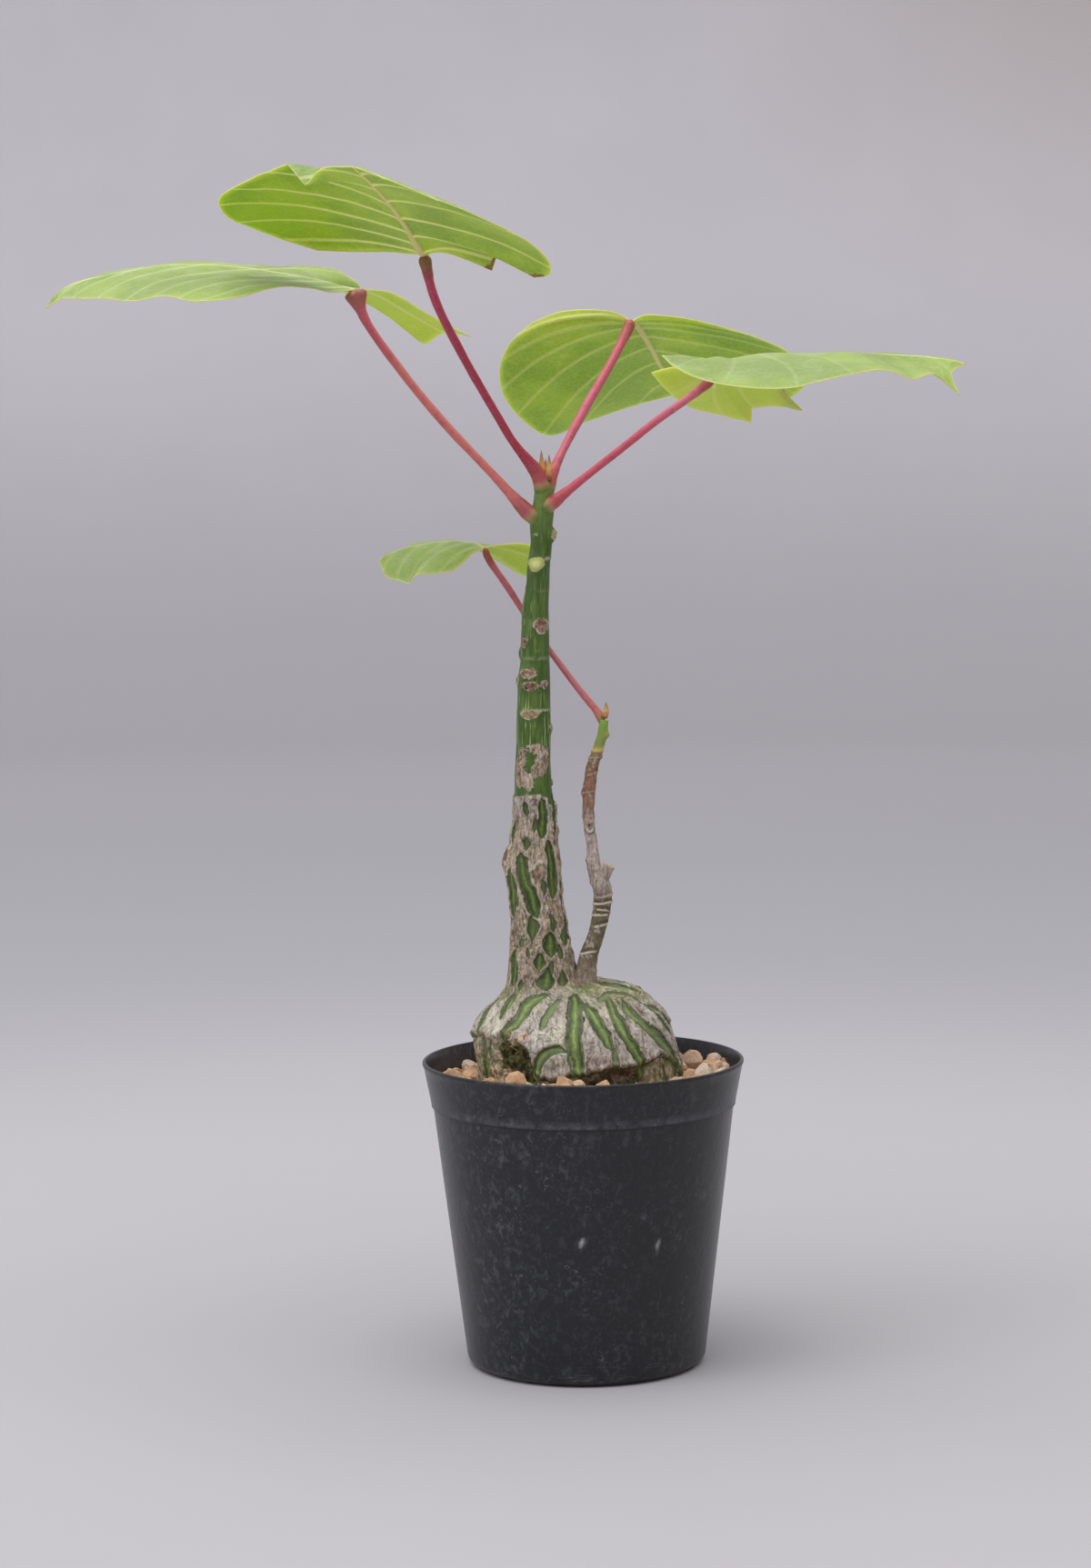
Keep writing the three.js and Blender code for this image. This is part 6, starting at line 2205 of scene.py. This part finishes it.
@dataclass
class Leaf:
    """A broad blade on its red stalk."""

    letter: str
    seat: Point
    crowding: float
    midrib: tuple[Point, ...]
    left: Half
    right: Half
    stalk: tuple[Point, ...]
    # The stalk's radius at distances from its foot, or from its top where they are below 0
    girth: Rows
    skin: StalkSkin
    # How much wider the stalk's top is from side to side
    flare: float = 0.0
    # Places on the margin, measured from the seat, where a bite has dried brown
    bitten: tuple[Point, ...] = ()
    # How strongly the side veins show
    veined: float = 1.0
    # How near the flesh is to a young leaf's yellower green: above on the left and the right, and below
    youth: tuple[float, float, float] = (0.0, 0.0, 0.0)
    thickness: float = 0.56
    margin_thickness: float = 0.26
    quilt: float = 0.45
    base_reach: float = 0.3
    # How far veins and the midrib are sunk above and stand out below, and the midrib's thinning to the tip
    vein_sink: float = 0.12
    vein_rise: float = 0.26
    rib_sink: float = 0.2
    rib_depth: float = 0.9
    rib_taper: float = 0.75

    @property
    def rib(self) -> Array:
        """The midrib's knots, from the seat to the tip."""
        return np.array([(0, 0, 0), *self.midrib], float)

    def margin(self, half: Half, places: Array) -> Array:
        """The margin of a half: one smooth curve between each tooth and the next.

        Args:
            half: Which half.
            places: Where to read it, with whole numbers at the veins' ends.

        Returns:
            One point a place.
        """
        knots = np.array([*half.ends, self.midrib[-1]], float)
        cuts = [0, *half.teeth, len(knots) - 1]
        points = np.zeros((len(places), 3))
        for low, high in zip(cuts[:-1], cuts[1:]):
            inside = (places >= low) & (places <= high)
            points[inside] = curve(knots[low : high + 1], places[inside] - low)
        return points

    def sheet(self, half: Half, shares: Array, across: Array) -> Array:
        """The middle sheet of a half, with one row a vein from the midrib to the margin.

        A row is a quadratic Bezier curve from the midrib to the margin. Its middle handle is half way,
        moved along the midrib by sweep and up by arch. Near the seat the rows are moved by what turns the
        first one into the base margin, less and less up to the base's reach.

        Args:
            half: Which half.
            shares: The rows, from 0 at the base to 1 at the tip.
            across: The columns, from 0 at the midrib to 1 at the margin.

        Returns:
            Points, rows by columns by 3.
        """
        spans = len(half.ends)

        def veins(rows: Array) -> Array:
            """The rows as Bezier curves.

            Args:
                rows: Shares from base to tip.

            Returns:
                Points, rows by columns by 3.
            """
            along = rows**self.crowding
            start = curve_by_length(self.rib, along)
            ahead = curve_by_length(self.rib, np.minimum(along + 1e-3, 1)) - curve_by_length(
                self.rib, np.maximum(along - 1e-3, 0))
            end = self.margin(half, rows * spans)
            length = np.linalg.norm(end - start, axis=1, keepdims=True)
            bend = (start + end) / 2 + unit(ahead) * length * half.sweep
            bend[:, 2:] += length * half.arch
            s = across[None, :, None]
            return (1 - s) ** 2 * start[:, None] + 2 * s * (1 - s) * bend[:, None] + s**2 * end[:, None]

        base = curve_by_length(np.array([(0, 0, 0), *half.base, half.ends[0]], float), across)
        hold = np.maximum(1 - shares / self.base_reach, 0) ** 2
        return veins(shares) + hold[:, None, None] * (base - veins(np.zeros(1))[0])

    def rows(self) -> Array:
        """The rows of both halves: even ones, closer ones beside each vein, and one at each end.

        Returns:
            Shares from 0 at the base to just short of 1 at the tip.
        """
        near = np.array([-0.012, -0.008, -0.005, -0.0025, 0, 0.0025, 0.005, 0.008, 0.012])
        veins = np.concatenate([np.array(half.veins)[:, None] + near for half in (self.left, self.right)])
        ends = [np.arange(len(half.ends) + 1) / len(half.ends) for half in (self.left, self.right)]
        rows = np.unique(np.concatenate([np.linspace(0, 1, 100), veins.ravel(), *ends]).round(4))
        exact = np.concatenate(ends).round(4)
        wide_enough = np.concatenate([[True], np.diff(rows) > 0.0018])
        rows = rows[(wide_enough | np.isin(rows, exact)) & (rows >= 0) & (rows < 0.999)]
        return rows

    def half_marks(self, half: Half, sheet: Array, shares: Array, across: Array) -> dict[str, Array]:
        """How far each point of a half lies from its veins, and how much it is puffed up between them.

        The distance is square to the vein at the same column. The puff is a squared sine between two
        neighbouring veins times a sine from the midrib to the margin.

        Args:
            half: Which half.
            sheet: Its points.
            shares: Its rows.
            across: Its columns.

        Returns:
            The marks vein, in half widths of the vein, vein_show and puff.
        """
        lines = self.sheet(half, np.array(half.veins), across)
        ahead = unit(np.gradient(lines, axis=1))
        away = np.linalg.norm(np.cross(sheet[None] - lines[:, None], ahead[:, None]), axis=-1).min(0)
        width = mixed(0.9, 0.55, across)[None, :]
        stops = np.array([0, *half.veins, 1])
        slot = np.clip(np.searchsorted(stops, shares, side="right") - 1, 0, len(stops) - 2)
        phase = (shares - stops[slot]) / (stops[slot + 1] - stops[slot])
        puff = self.quilt * np.sin(np.pi * phase)[:, None] ** 2 * np.sin(np.pi * np.minimum(1.2 * across, 1))
        show = self.veined * (0.98 - 0.3 * across)[None, :] + 0 * away
        return {"vein": away / width, "vein_show": show, "puff": puff}

    def blade(self) -> list[Shape]:
        """The blade as an upper and a lower skin joined round the margin.

        The two halves' sheets meet at the midrib. Each skin lies half the thickness off the sheet along
        its normals, the thickness falls to the margin's, and ribs and veins stand out below and are
        sunk above as bells of their distance.

        Returns:
            The upper skin with the rim, and the lower skin, which share no points.
        """
        shares = self.rows()
        across = np.unique(np.concatenate([np.linspace(0, 1, 27) ** 1.45, [0.975, 0.988, 0.996]]))
        sheets, marks = [], []
        for half in (self.left, self.right):
            sheets.append(self.sheet(half, shares, across))
            marks.append(self.half_marks(half, sheets[-1], shares, across))
        grid = np.concatenate([sheets[0][:, :0:-1], sheets[1]], axis=1)
        fields = {name: np.concatenate([left[:, :0:-1], marks[1][name]], axis=1)
                  for name, left in marks[0].items()}
        rows, columns = grid.shape[:2]
        tip = np.array(self.midrib[-1], float)
        points = np.concatenate([grid.reshape(-1, 3), tip[None]])
        flat = {name: np.concatenate([values.ravel(), [0.0]]) for name, values in fields.items()}
        apex = len(points) - 1
        faces = grid_faces(rows, columns, closed=False)
        last = (rows - 1) * columns + np.arange(columns - 1)
        fan = np.stack([last, last + 1, np.full(columns - 1, apex)], -1)
        normals = self.point_normals(points, [faces, fan])
        rim_line = np.concatenate([grid[0][::-1][columns // 2 :], grid[:, 0], tip[None], grid[::-1, -1],
                                   grid[0][::-1][: columns // 2 + 1]])
        edge = np.minimum(polyline_distance(points, rim_line[::2])[0], 6)
        rib = polyline_distance(points, curve_by_length(self.rib, np.linspace(0, 1, 40)))
        rib_width = mixed(1.15, 0.4, rib[1])
        rib_mark = np.minimum(rib[0] / rib_width, 4)
        points_waved = points + normals * self.waves(points)[:, None]
        scorch = np.full(len(points), 3.0)
        for place in self.bitten:
            scorch = np.minimum(scorch, np.linalg.norm(points - np.array(place), axis=1) / 1.5)
        half_thick = 0.5 * mixed(self.margin_thickness, self.thickness, ease(edge, 0, 2.5))
        vein_bell = bell(flat["vein"], 0.9) * flat["vein_show"]
        rib_bell = bell(rib_mark)
        fade = 1 - self.rib_taper * rib[1]
        lift_up = flat["puff"] + half_thick - self.vein_sink * vein_bell - self.rib_sink * rib_bell * fade
        lift_down = flat["puff"] - half_thick - self.vein_rise * vein_bell - self.rib_depth * rib_bell * fade
        seat = np.array(self.seat)
        upper = points_waved + normals * lift_up[:, None] + seat
        lower = points_waved + normals * lift_down[:, None] + seat
        is_right = np.append(np.tile(np.arange(columns) > columns // 2, rows), False)
        kept = {"vein": flat["vein"], "vein_show": flat["vein_show"], "rib": rib_mark, "edge": edge,
                "scorch": scorch, "youth_upper": np.where(is_right, self.youth[1], self.youth[0]),
                "youth_under": np.full(len(points), self.youth[2])}
        return self.skins(upper, lower, faces, fan, kept, rows, columns)

    def waves(self, points: Array) -> Array:
        """Slow uneven waves of the sheet, in millimetres."""
        return 0.4 * noise(points + 3 * ord(self.letter), 15, SEED + 61) + 0.14 * noise(points, 5, SEED + 62)

    @staticmethod
    def point_normals(points: Array, blocks: list[Indices]) -> Array:
        """Normals at the points: the sum of the crossed diagonals or edges of the faces that meet there.

        Args:
            points: The points.
            blocks: Faces, of three or four corners a block.

        Returns:
            Unit vectors.
        """
        normals = np.zeros_like(points)
        for block in blocks:
            corners = points[block]
            if block.shape[1] == 4:
                facing = np.cross(corners[:, 2] - corners[:, 0], corners[:, 3] - corners[:, 1])
            else:
                facing = np.cross(corners[:, 1] - corners[:, 0], corners[:, 2] - corners[:, 0])
            for k in range(block.shape[1]):
                np.add.at(normals, block[:, k], facing)
        return unit(normals)

    @staticmethod
    def skins(upper: Array, lower: Array, faces: Indices, fan: Indices, kept: dict[str, Array], rows: int,
              columns: int) -> list[Shape]:
        """One closed shape in two parts: the upper faces, and the lower faces with the rim.

        Args:
            upper: The upper points.
            lower: The lower points.
            faces: Four-cornered faces of a sheet.
            fan: The triangles that close it at the tip.
            kept: Marks at the sheet's points.
            rows: The sheet's rows.
            columns: Its columns.

        Returns:
            The shapes with slots 0 for above and 1 for below.
        """
        count = len(upper)
        apex = count - 1
        left = np.arange(rows) * columns
        right = left + columns - 1
        rim = np.concatenate([
            np.stack([np.arange(columns - 1), np.arange(1, columns)], -1),
            np.stack([right[:-1], right[1:]], -1), [[right[-1], apex], [apex, left[-1]]],
            np.stack([left[1:], left[:-1]], -1),
        ])
        wall = np.stack([rim[:, 0], rim[:, 0] + count, rim[:, 1] + count, rim[:, 1]], -1)
        both = {name: np.concatenate([values, values]) for name, values in kept.items()}
        points = np.concatenate([upper, lower])
        under = [faces[:, ::-1] + count, fan[:, ::-1] + count, wall]
        none = {name: values[:0] for name, values in both.items()}
        return [Shape(points, [faces, fan], both), Shape(points[:0], under, none, slot=1)]

    def stalk_shape(self) -> Shape:
        """The stalk as a tube along a smooth curve that ends rounded in the blade.

        Its radius is eased from each place of its girth to the next, is rounded off at the top like a
        ball, and a flared top widens from side to side over its last 7 mm.

        Returns:
            The shape, with the distances from both ends as marks.
        """
        share = np.linspace(0, 1, 130)
        path = curve_by_length(np.array([*self.stalk, self.seat], float), share)
        length = float(step_lengths(path).sum())
        away = share * length
        knots = np.array([(at if at >= 0 else length + at, radius) for at, radius in self.girth])
        radius = read_table(knots, 0, away)[1]
        radius = radius * np.sqrt(1 - np.clip(1 - (length - away) / 2.0, 0, 0.985) ** 2)
        turn = full_turn(36)
        wide = 1 + self.flare * ease(away, length - 7, length - 0.5)[:, None] * np.abs(np.cos(turn))[None, :]
        points = tube_points(path, radius[:, None] * wide, len(turn))
        out = unit(points - path[:, None])
        uneven = 0.07 * noise(points, 6, SEED + 71) + 0.03 * noise(points, 1.2, SEED + 72)
        level = np.zeros(points.shape[:2])
        marks = {"from_foot": away[:, None] + level, "from_top": (length - away)[:, None] + level}
        return Shape.tube(points + uneven[..., None] * out, marks)

    def build(self, above: Material, below: Material) -> None:
        """Makes the blade and the stalk.

        Args:
            above: The blade's upper finish.
            below: Its lower finish.
        """
        top, bottom = self.blade()
        bottom.faces = [block - len(top.points) for block in bottom.faces]
        blade = write_piece(f"blade_{self.letter}", [top, bottom], [above, below])
        stands_for(blade, f"leaf_blade_{self.letter}")
        name = f"stalk_{self.letter}"
        stalk = self.stalk_shape().written(name, [self.skin.material(name)])
        stands_for(stalk, f"leaf_stalk_{self.letter}")


LEAVES = (
    Leaf(
        "a", (-44.5, -26, 342), 1.25, ((-3.5, -16, 6), (-7.5, -32, 12), (-12.5, -52, 18), (-16.5, -68, 21.5)),
        Half(0.12, 0.07, ((5.5, -3, 0.5), (12.5, -10, -2)),
             ((20.7, -15, -5.7), (22.3, -16.5, -1.2), (27.3, -19.5, -1.9), (33.5, -24, -8), (37.5, -27, -7.5),
              (37.5, -36, -4), (31, -48, 1.5), (19, -61, 7), (6.5, -69, 11.5), (-6, -72, 17)),
             (1, 2, 3), (0.07, 0.28, 0.46, 0.63, 0.8, 0.92)),
        Half(0.1, 0.07, ((-10, 6, 1), (-20, 13, 1.5)),
             ((-33, 18, 2.5), (-49, 23, 8), (-59.5, 18, 12.5), (-61.5, 8, 17), (-56, -6, 20),
              (-45.5, -22, 23), (-37.5, -34, 24.5), (-32, -41, 18), (-26.5, -51, 22)),
             (6, 7), (0.07, 0.19, 0.31, 0.44, 0.58, 0.74, 0.88)),
        ((-10, -0.2, 268), (-10.4, -0.7, 272), (-11.4, -1.4, 275.5), (-12.9, -2.4, 278), (-18.8, -6.2, 285.8),
         (-23.1, -9, 293.1), (-33, -16.3, 311), (-41.6, -23.6, 329.3)),
        ((0, 2.0), (4, 2.5), (7.6, 2.3), (10.5, 2.15), (14, 1.75), (18, 1.4), (23, 1.25), (45, 1.28),
         (-9, 1.3), (-5, 1.65), (-2, 2.0), (-0.01, 1.9)),
        StalkSkin(srgb(180, 84, 86), srgb(174, 50, 76), srgb(140, 98, 56), srgb(190, 64, 92),
                  green_reach=5.0),
        bitten=((19.5, -14.2, -5.3), (20.7, -15, -5.7), (21.6, -15.8, -3.5), (27.3, -19.5, -1.9),
                (29.5, -21, -4), (31.5, -22.5, -6), (33.5, -24, -8), (35.2, -25, -7.9)),
    ),
    Leaf(
        "b", (-67, 2, 333), 1.6,
        ((-5, 3, 1.6), (-19, 6, 4.6), (-36.5, 6, 7.2), (-53, 3, 8), (-72, -1, 5.5), (-87.5, -4, 1.5),
         (-93.5, -6, -4.5)),
        Half(0.16, 0.05, ((-6, -11, -1), (-14.5, -26, 0), (-22.5, -38, -1), (-30, -46, -3.5)),
             ((-37, -50, -4.5), (-45, -50, -4.5), (-53, -47, -3), (-62, -41, -4), (-71.5, -31, -3),
              (-80, -20, -2.5), (-88, -10, -2)), (6,)),
        Half(0.1, 0.04, ((10.5, 12, -0.5), (22, 25, -7)),
             ((34.5, 40, -13.5), (26.5, 43, -12), (19.5, 48, -15.5), (10.5, 50, -7), (1, 48, -1.5),
              (-1.5, 45, 3.5), (-7.5, 42, 8), (-11.5, 42, 6), (-28.5, 44, 8.5), (-48, 40, 10),
              (-69.5, 26, 7), (-83, 10, 3)), (2, 6)),
        ((-10.8, -0.6, 260.4), (-12.6, -1.1, 262.5), (-15.2, -0.8, 264.8), (-25.1, -0.1, 275.8),
         (-40.6, 0.6, 292.6), (-53.3, 1.2, 308.5), (-63.9, 1.8, 324.1)),
        ((0, 1.7), (3, 2.4), (6, 2.5), (8.5, 2.25), (11.5, 1.8), (15, 1.45), (25, 1.28), (60, 1.32),
         (-12, 1.3), (-8, 1.5), (-5, 1.8), (-2, 1.9), (-0.01, 1.9)),
        StalkSkin(srgb(178, 88, 90), srgb(214, 118, 112), srgb(164, 96, 80), srgb(200, 92, 104),
                  green_reach=4.2),
        flare=0.95, veined=0.6, youth=(0.08, 0.1, 0.5),
    ),
    Leaf(
        "c", (18, 28, 323.5), 2.2, ((2, 5, -1.5), (6.5, 22, -8), (11, 40, -15), (22, 64, -21.5)),
        Half(-0.22, 0.06, ((-5.5, 0, 2.5), (-14, 3, 3.5), (-22.5, 7, 3)),
             ((-31, 12, 0), (-38.5, 18, -6.5), (-42, 27, -15), (-40.5, 36, -23.5), (-34.5, 46, -31),
              (-26.5, 54, -35.5), (-14.5, 59, -31.5), (2.5, 64, -26)),
             (), (0.08, 0.2, 0.33, 0.46, 0.6, 0.74, 0.88)),
        Half(-0.05, 0.05, ((4.5, -1, 1.5), (14.5, 0, 0.5)),
             ((27, 3, -2), (38.5, 9, -5.5), (48, 18, -9.5), (54.5, 29, -14.5), (56, 40, -21), (50, 50, -26),
              (36.5, 60, -25.5)), (5,)),
        ((-8.9, 0.8, 268), (-8.1, 1.7, 272.4), (-6.9, 3.1, 276.7), (3.1, 13.4, 296), (10.7, 20.5, 308.8),
         (16.5, 26.4, 319.8)),
        ((0, 1.5), (5, 1.9), (9, 1.75), (13, 1.4), (17, 1.25), (30, 1.4), (-9, 1.35), (-5, 1.65), (-2, 1.8),
         (-0.01, 1.7)),
        StalkSkin(srgb(196, 92, 90), srgb(206, 100, 118), srgb(172, 88, 76), srgb(200, 92, 106),
                  green_reach=4.0),
        veined=0.45,
    ),
    Leaf(
        "d", (41.5, -18, 304), 1.55,
        ((3, 1, 4.5), (11.5, 3, 7), (26.5, 6, 7.5), (49, 9, 7), (65.5, 10, 6), (77, 10, 3.5)),
        Half(-0.2, 0.05, ((-5, 8, 3.5), (-11, 16, 4)),
             ((-18, 22, 2.5), (-14, 28, -2), (-7, 36, -7.5), (4, 44, -10.5), (14, 53.5, -13),
              (14, 48.5, -8.5), (21.5, 53, -8), (30.2, 58, -9.3), (26, 55.5, -4.5), (25, 54, -0.5),
              (28, 52.5, 3), (35, 51, 4.8), (45, 48, 5.5), (56, 39, 5.5), (68, 26, 5)),
             (4, 5, 7)),
        Half(0.1, 0.05, ((-1, -9, 4.5), (-8, -22, 6.5)),
             ((-16, -34, 6.5), (-12.5, -43, 3), (-5.5, -52, -0.4), (7.5, -57, -3.1), (21, -57, -3.4),
              (32.5, -52, -1.1), (40, -46, 0.4), (49, -37, 1.5), (58, -26, -1), (66, -14, 0.5),
              (74, -2, -5.5), (72.5, 5, 1)), (6, 8, 10)),
        ((-10.4, -0.6, 264.1), (-8.3, -2, 266.4), (-5.7, -2.4, 268.4), (3.1, -3.9, 275.2),
         (14.1, -7.6, 283.6), (25.2, -11.6, 292.2), (36.4, -15.5, 300)),
        ((0, 1.5), (2.8, 2.2), (6, 2.1), (9, 1.65), (12.5, 1.35), (18, 1.2), (25, 1.15), (-9, 1.2), (-5, 1.4),
         (-2, 1.6), (-0.01, 1.6)),
        StalkSkin(srgb(192, 84, 88), srgb(208, 84, 106), srgb(178, 84, 78), srgb(216, 110, 130),
                  green_reach=4.0),
        veined=0.3, youth=(0.03, 0.03, 0.5),
    ),
    Leaf(
        "e", (-28.5, 12, 253.5), 1.55,
        ((-3, 1, 1.5), (-9.5, 2, 2), (-19.5, 2, 1), (-27.5, -1, -1), (-32.5, -4, -3.5)),
        Half(0.14, 0.05, ((-3.5, -10, -1.5), (-6, -15, -4)),
             ((-9.5, -20, -6.5), (-16, -25, -7), (-20.5, -27, -7.5), (-22.5, -26, -10), (-25.5, -22, -9),
              (-30, -15, -8)), (3,), (0.1, 0.3, 0.5, 0.7, 0.88)),
        Half(0.1, 0.05, ((4, 4, 0.5), (10.5, 8, 1)),
             ((16, 13, 0), (17, 22, -6), (12.5, 28, -10), (6, 30, -7), (-0.5, 28, -2), (-8.5, 25, 0.5),
              (-20, 18, 0), (-29.5, 6, -2.5)), (), (0.1, 0.26, 0.44, 0.64, 0.84)),
        ((7.2, 4.4, 199.4), (6.2, 4.7, 201.7), (-0.8, 6.1, 210.7), (-13, 8.6, 227.6), (-20.9, 10.5, 240.2),
         (-27.5, 12, 250.3)),
        ((0, 1.2), (2, 1.4), (5, 1.1), (25, 0.95), (-9, 1.02), (-5, 1.15), (-0.01, 1.1)),
        StalkSkin(srgb(208, 112, 106), srgb(206, 120, 126), srgb(160, 84, 62), srgb(194, 100, 108),
                  green_reach=1.4),
        thickness=0.5, veined=0.35, youth=(0.08, 0.08, 0.38),
    ),
)

UPPER_SKIN = LeafSkin(
    LeafSide.UPPER, srgb(124, 150, 58), srgb(150, 174, 74), srgb(196, 208, 142), srgb(204, 206, 140),
    srgb(206, 210, 146), 0.4, 0.22,
)
UNDER_SKIN = LeafSkin(
    LeafSide.UNDER, srgb(142, 167, 40), srgb(168, 187, 54), srgb(226, 226, 150), srgb(222, 208, 144),
    srgb(212, 214, 136), 0.5, young=srgb(216, 224, 70),
)

BUDS = (
    Bud("tip_stipules", "tip_bud", (
        ((-9.9, -0.5, 274.2), (-10.3, -0.8, 278.6), (-10.5, -1, 283.6)),
        ((-8.6, -0.7, 274.2), (-8.1, -1.1, 277.8), (-8.1, -1.1, 282)),
        ((-9.4, 0.4, 274.2), (-9.3, 0.6, 277.6), (-9.2, 0.6, 280.8)),
    ), 1.15),
    Bud("shoot_stipule", "side_shoot_bud", (((7.8, 4, 200.7), (8.5, 4.1, 202.6), (8.5, 4.2, 205.6)),)),
)


@dataclass
class Studio:
    """A pale seamless bowl round the part, soft light from above, and the photo's camera."""

    floor_radius: float = 2.4
    bend_radius: float = 0.9
    wall_top: float = 2.2
    floor_drop: float = 0.0002
    paper: Colour = srgb(186, 184, 187)
    far_paper: Colour = srgb(169, 168, 173)
    wall: Colour = srgb(212, 209, 214)
    warm_wall: Colour = srgb(186, 174, 164)
    cloud: Colour = srgb(176, 174, 180)
    sky: Colour = (0.96, 0.965, 1.0, 1.0)
    sky_strength: float = 0.95
    overhead_power: float = 31.5
    window_power: float = 10
    # The camera's place in metres, its focal length in pixels of the photo's long side, and its turns
    camera_place: Point = (0.0, -1.15, 0.2872)
    focal_share: float = 4116 / 1725
    yaw: float = -0.524
    pitch: float = 5.29
    roll: float = -0.759

    def backdrop(self) -> None:
        """The bowl: a flat floor, a quarter circle up, and a wall, turned round the part."""
        bend = np.radians(np.linspace(0, 90, 24))
        radius = np.concatenate([[0.05, 0.5, 1.2], self.floor_radius + self.bend_radius * np.sin(bend),
                                 [self.floor_radius + self.bend_radius]])
        height = np.concatenate([[0, 0, 0], self.bend_radius * (1 - np.cos(bend)), [self.wall_top]])
        turn = full_turn(160)
        x, y = radius[:, None] * np.cos(turn), radius[:, None] * np.sin(turn)
        points = np.stack([x, y, height[:, None] - self.floor_drop + 0 * x], -1) / MM
        count = points.shape[0] * points.shape[1]
        hub = fan(count, np.arange(len(turn)), above=True)
        flat = np.concatenate([points.reshape(-1, 3), [[0, 0, -self.floor_drop / MM]]])
        faces = grid_faces(points.shape[0], len(turn))[:, ::-1]
        b = Bench("seamless_paper")
        height = b.axis("Z")
        reach = b.put("VectorMath", {0: b.mm}, operation="LENGTH").outputs["Value"]
        # Painted shade and light: the floor darkens from 350 mm out and lightens past 1300 mm, and the wall
        # is painted lighter
        far = b.less(b.span(reach, 350, 950), b.span(reach, 1300, 2300, 0, 0.55))
        shaded = b.mix(far, self.paper, self.far_paper)
        colour = b.mix(b.span(height, 20, 520), shaded, self.wall)
        right = b.times(b.span(b.axis("X"), 0, 700), b.span(height, 300, 900))
        colour = b.mix(b.times(right, 0.6), colour, self.warm_wall)
        colour = b.mix(b.span(b.noise(0.004, 3), 0.35, 0.65, 0, 0.1), colour, self.cloud)
        paper = b.finish(Base_Color=colour, Roughness=0.9, Specular_IOR_Level=0.15)
        piece = Shape(flat, [faces, hub]).written("backdrop", [paper])

    def lamp(self, name: str, place: Point, size: float, power: float, colour: Colour) -> None:
        """A square soft light that faces the plant.

        Args:
            name: Its name.
            place: Where it hangs, in metres.
            size: The length of its sides.
            power: Its power in watts.
            colour: Its colour.
        """
        data = bpy.data.lights.new(name, "AREA")
        data.shape, data.size, data.energy, data.color = "SQUARE", size, power, colour[:3]
        lamp = bpy.data.objects.new(name, data)
        lamp.location = place
        aim = Vector((0, 0, 0.15)) - Vector(place)
        lamp.rotation_mode = "QUATERNION"
        lamp.rotation_quaternion = aim.to_track_quat("-Z", "Y")
        bpy.context.scene.collection.objects.link(lamp)

    def light(self) -> None:
        """The sky through the bowl's open top, a wide light overhead and a weak one from the left."""
        world = bpy.data.worlds.new("studio")
        world.use_nodes = True
        background = world.node_tree.nodes["Background"]
        background.inputs["Color"].default_value = self.sky
        background.inputs["Strength"].default_value = self.sky_strength
        bpy.context.scene.world = world
        self.lamp("overhead", (-0.35, -0.45, 2.5), 2.0, self.overhead_power, (1.0, 0.985, 0.96, 1.0))
        self.lamp("window", (-2.0, -1.2, 1.5), 1.4, self.window_power, (0.94, 0.96, 1.0, 1.0))

    def camera(self) -> None:
        """The photo's camera: its axes come from its yaw, its pitch down and its roll."""
        yaw, pitch, roll = (math.radians(x) for x in (self.yaw, self.pitch, self.roll))
        ahead = Vector((math.sin(yaw) * math.cos(pitch), math.cos(yaw) * math.cos(pitch), -math.sin(pitch)))
        level = Vector((math.cos(yaw), -math.sin(yaw), 0))
        plumb = level.cross(ahead)
        right = math.cos(roll) * level + math.sin(roll) * plumb
        up = -math.sin(roll) * level + math.cos(roll) * plumb
        data = bpy.data.cameras.new("camera")
        data.sensor_fit, data.sensor_width = "AUTO", 36
        data.lens = self.focal_share * data.sensor_width
        data.clip_start, data.clip_end = 0.01, 50
        camera = bpy.data.objects.new("camera", data)
        bpy.context.scene.collection.objects.link(camera)
        turned = Matrix((right, up, -ahead)).transposed().to_4x4()
        camera.matrix_world = Matrix.Translation(self.camera_place) @ turned
        bpy.context.scene.camera = camera

    def build(self) -> None:
        """Sets up the bowl, the lights, the camera and plain colour handling."""
        self.backdrop()
        self.light()
        self.camera()
        bpy.context.scene.view_settings.view_transform = "Standard"


def dress_soil() -> None:
    """Gives the soil's own node its finish."""
    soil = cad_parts["soil"]
    material = PottingSoil().material()
    soil.data.materials.clear()
    soil.data.materials.append(material)
    LOG.info("soil keeps its own solid")


def main() -> None:
    """Builds the whole part in order."""
    logging.basicConfig(level=logging.INFO, format="%(message)s")
    pot = Pot()
    pot.build()
    dress_soil()
    TopDressing(pot).build()
    StripedStem().build()
    SideShoot().build()
    scale = BudScale().material()
    for bud in BUDS:
        bud.build(scale)
    above, below = UPPER_SKIN.material(), UNDER_SKIN.material()
    for leaf in LEAVES:
        leaf.build(above, below)
    Studio().build()


if __name__ == "__main__":
    main()
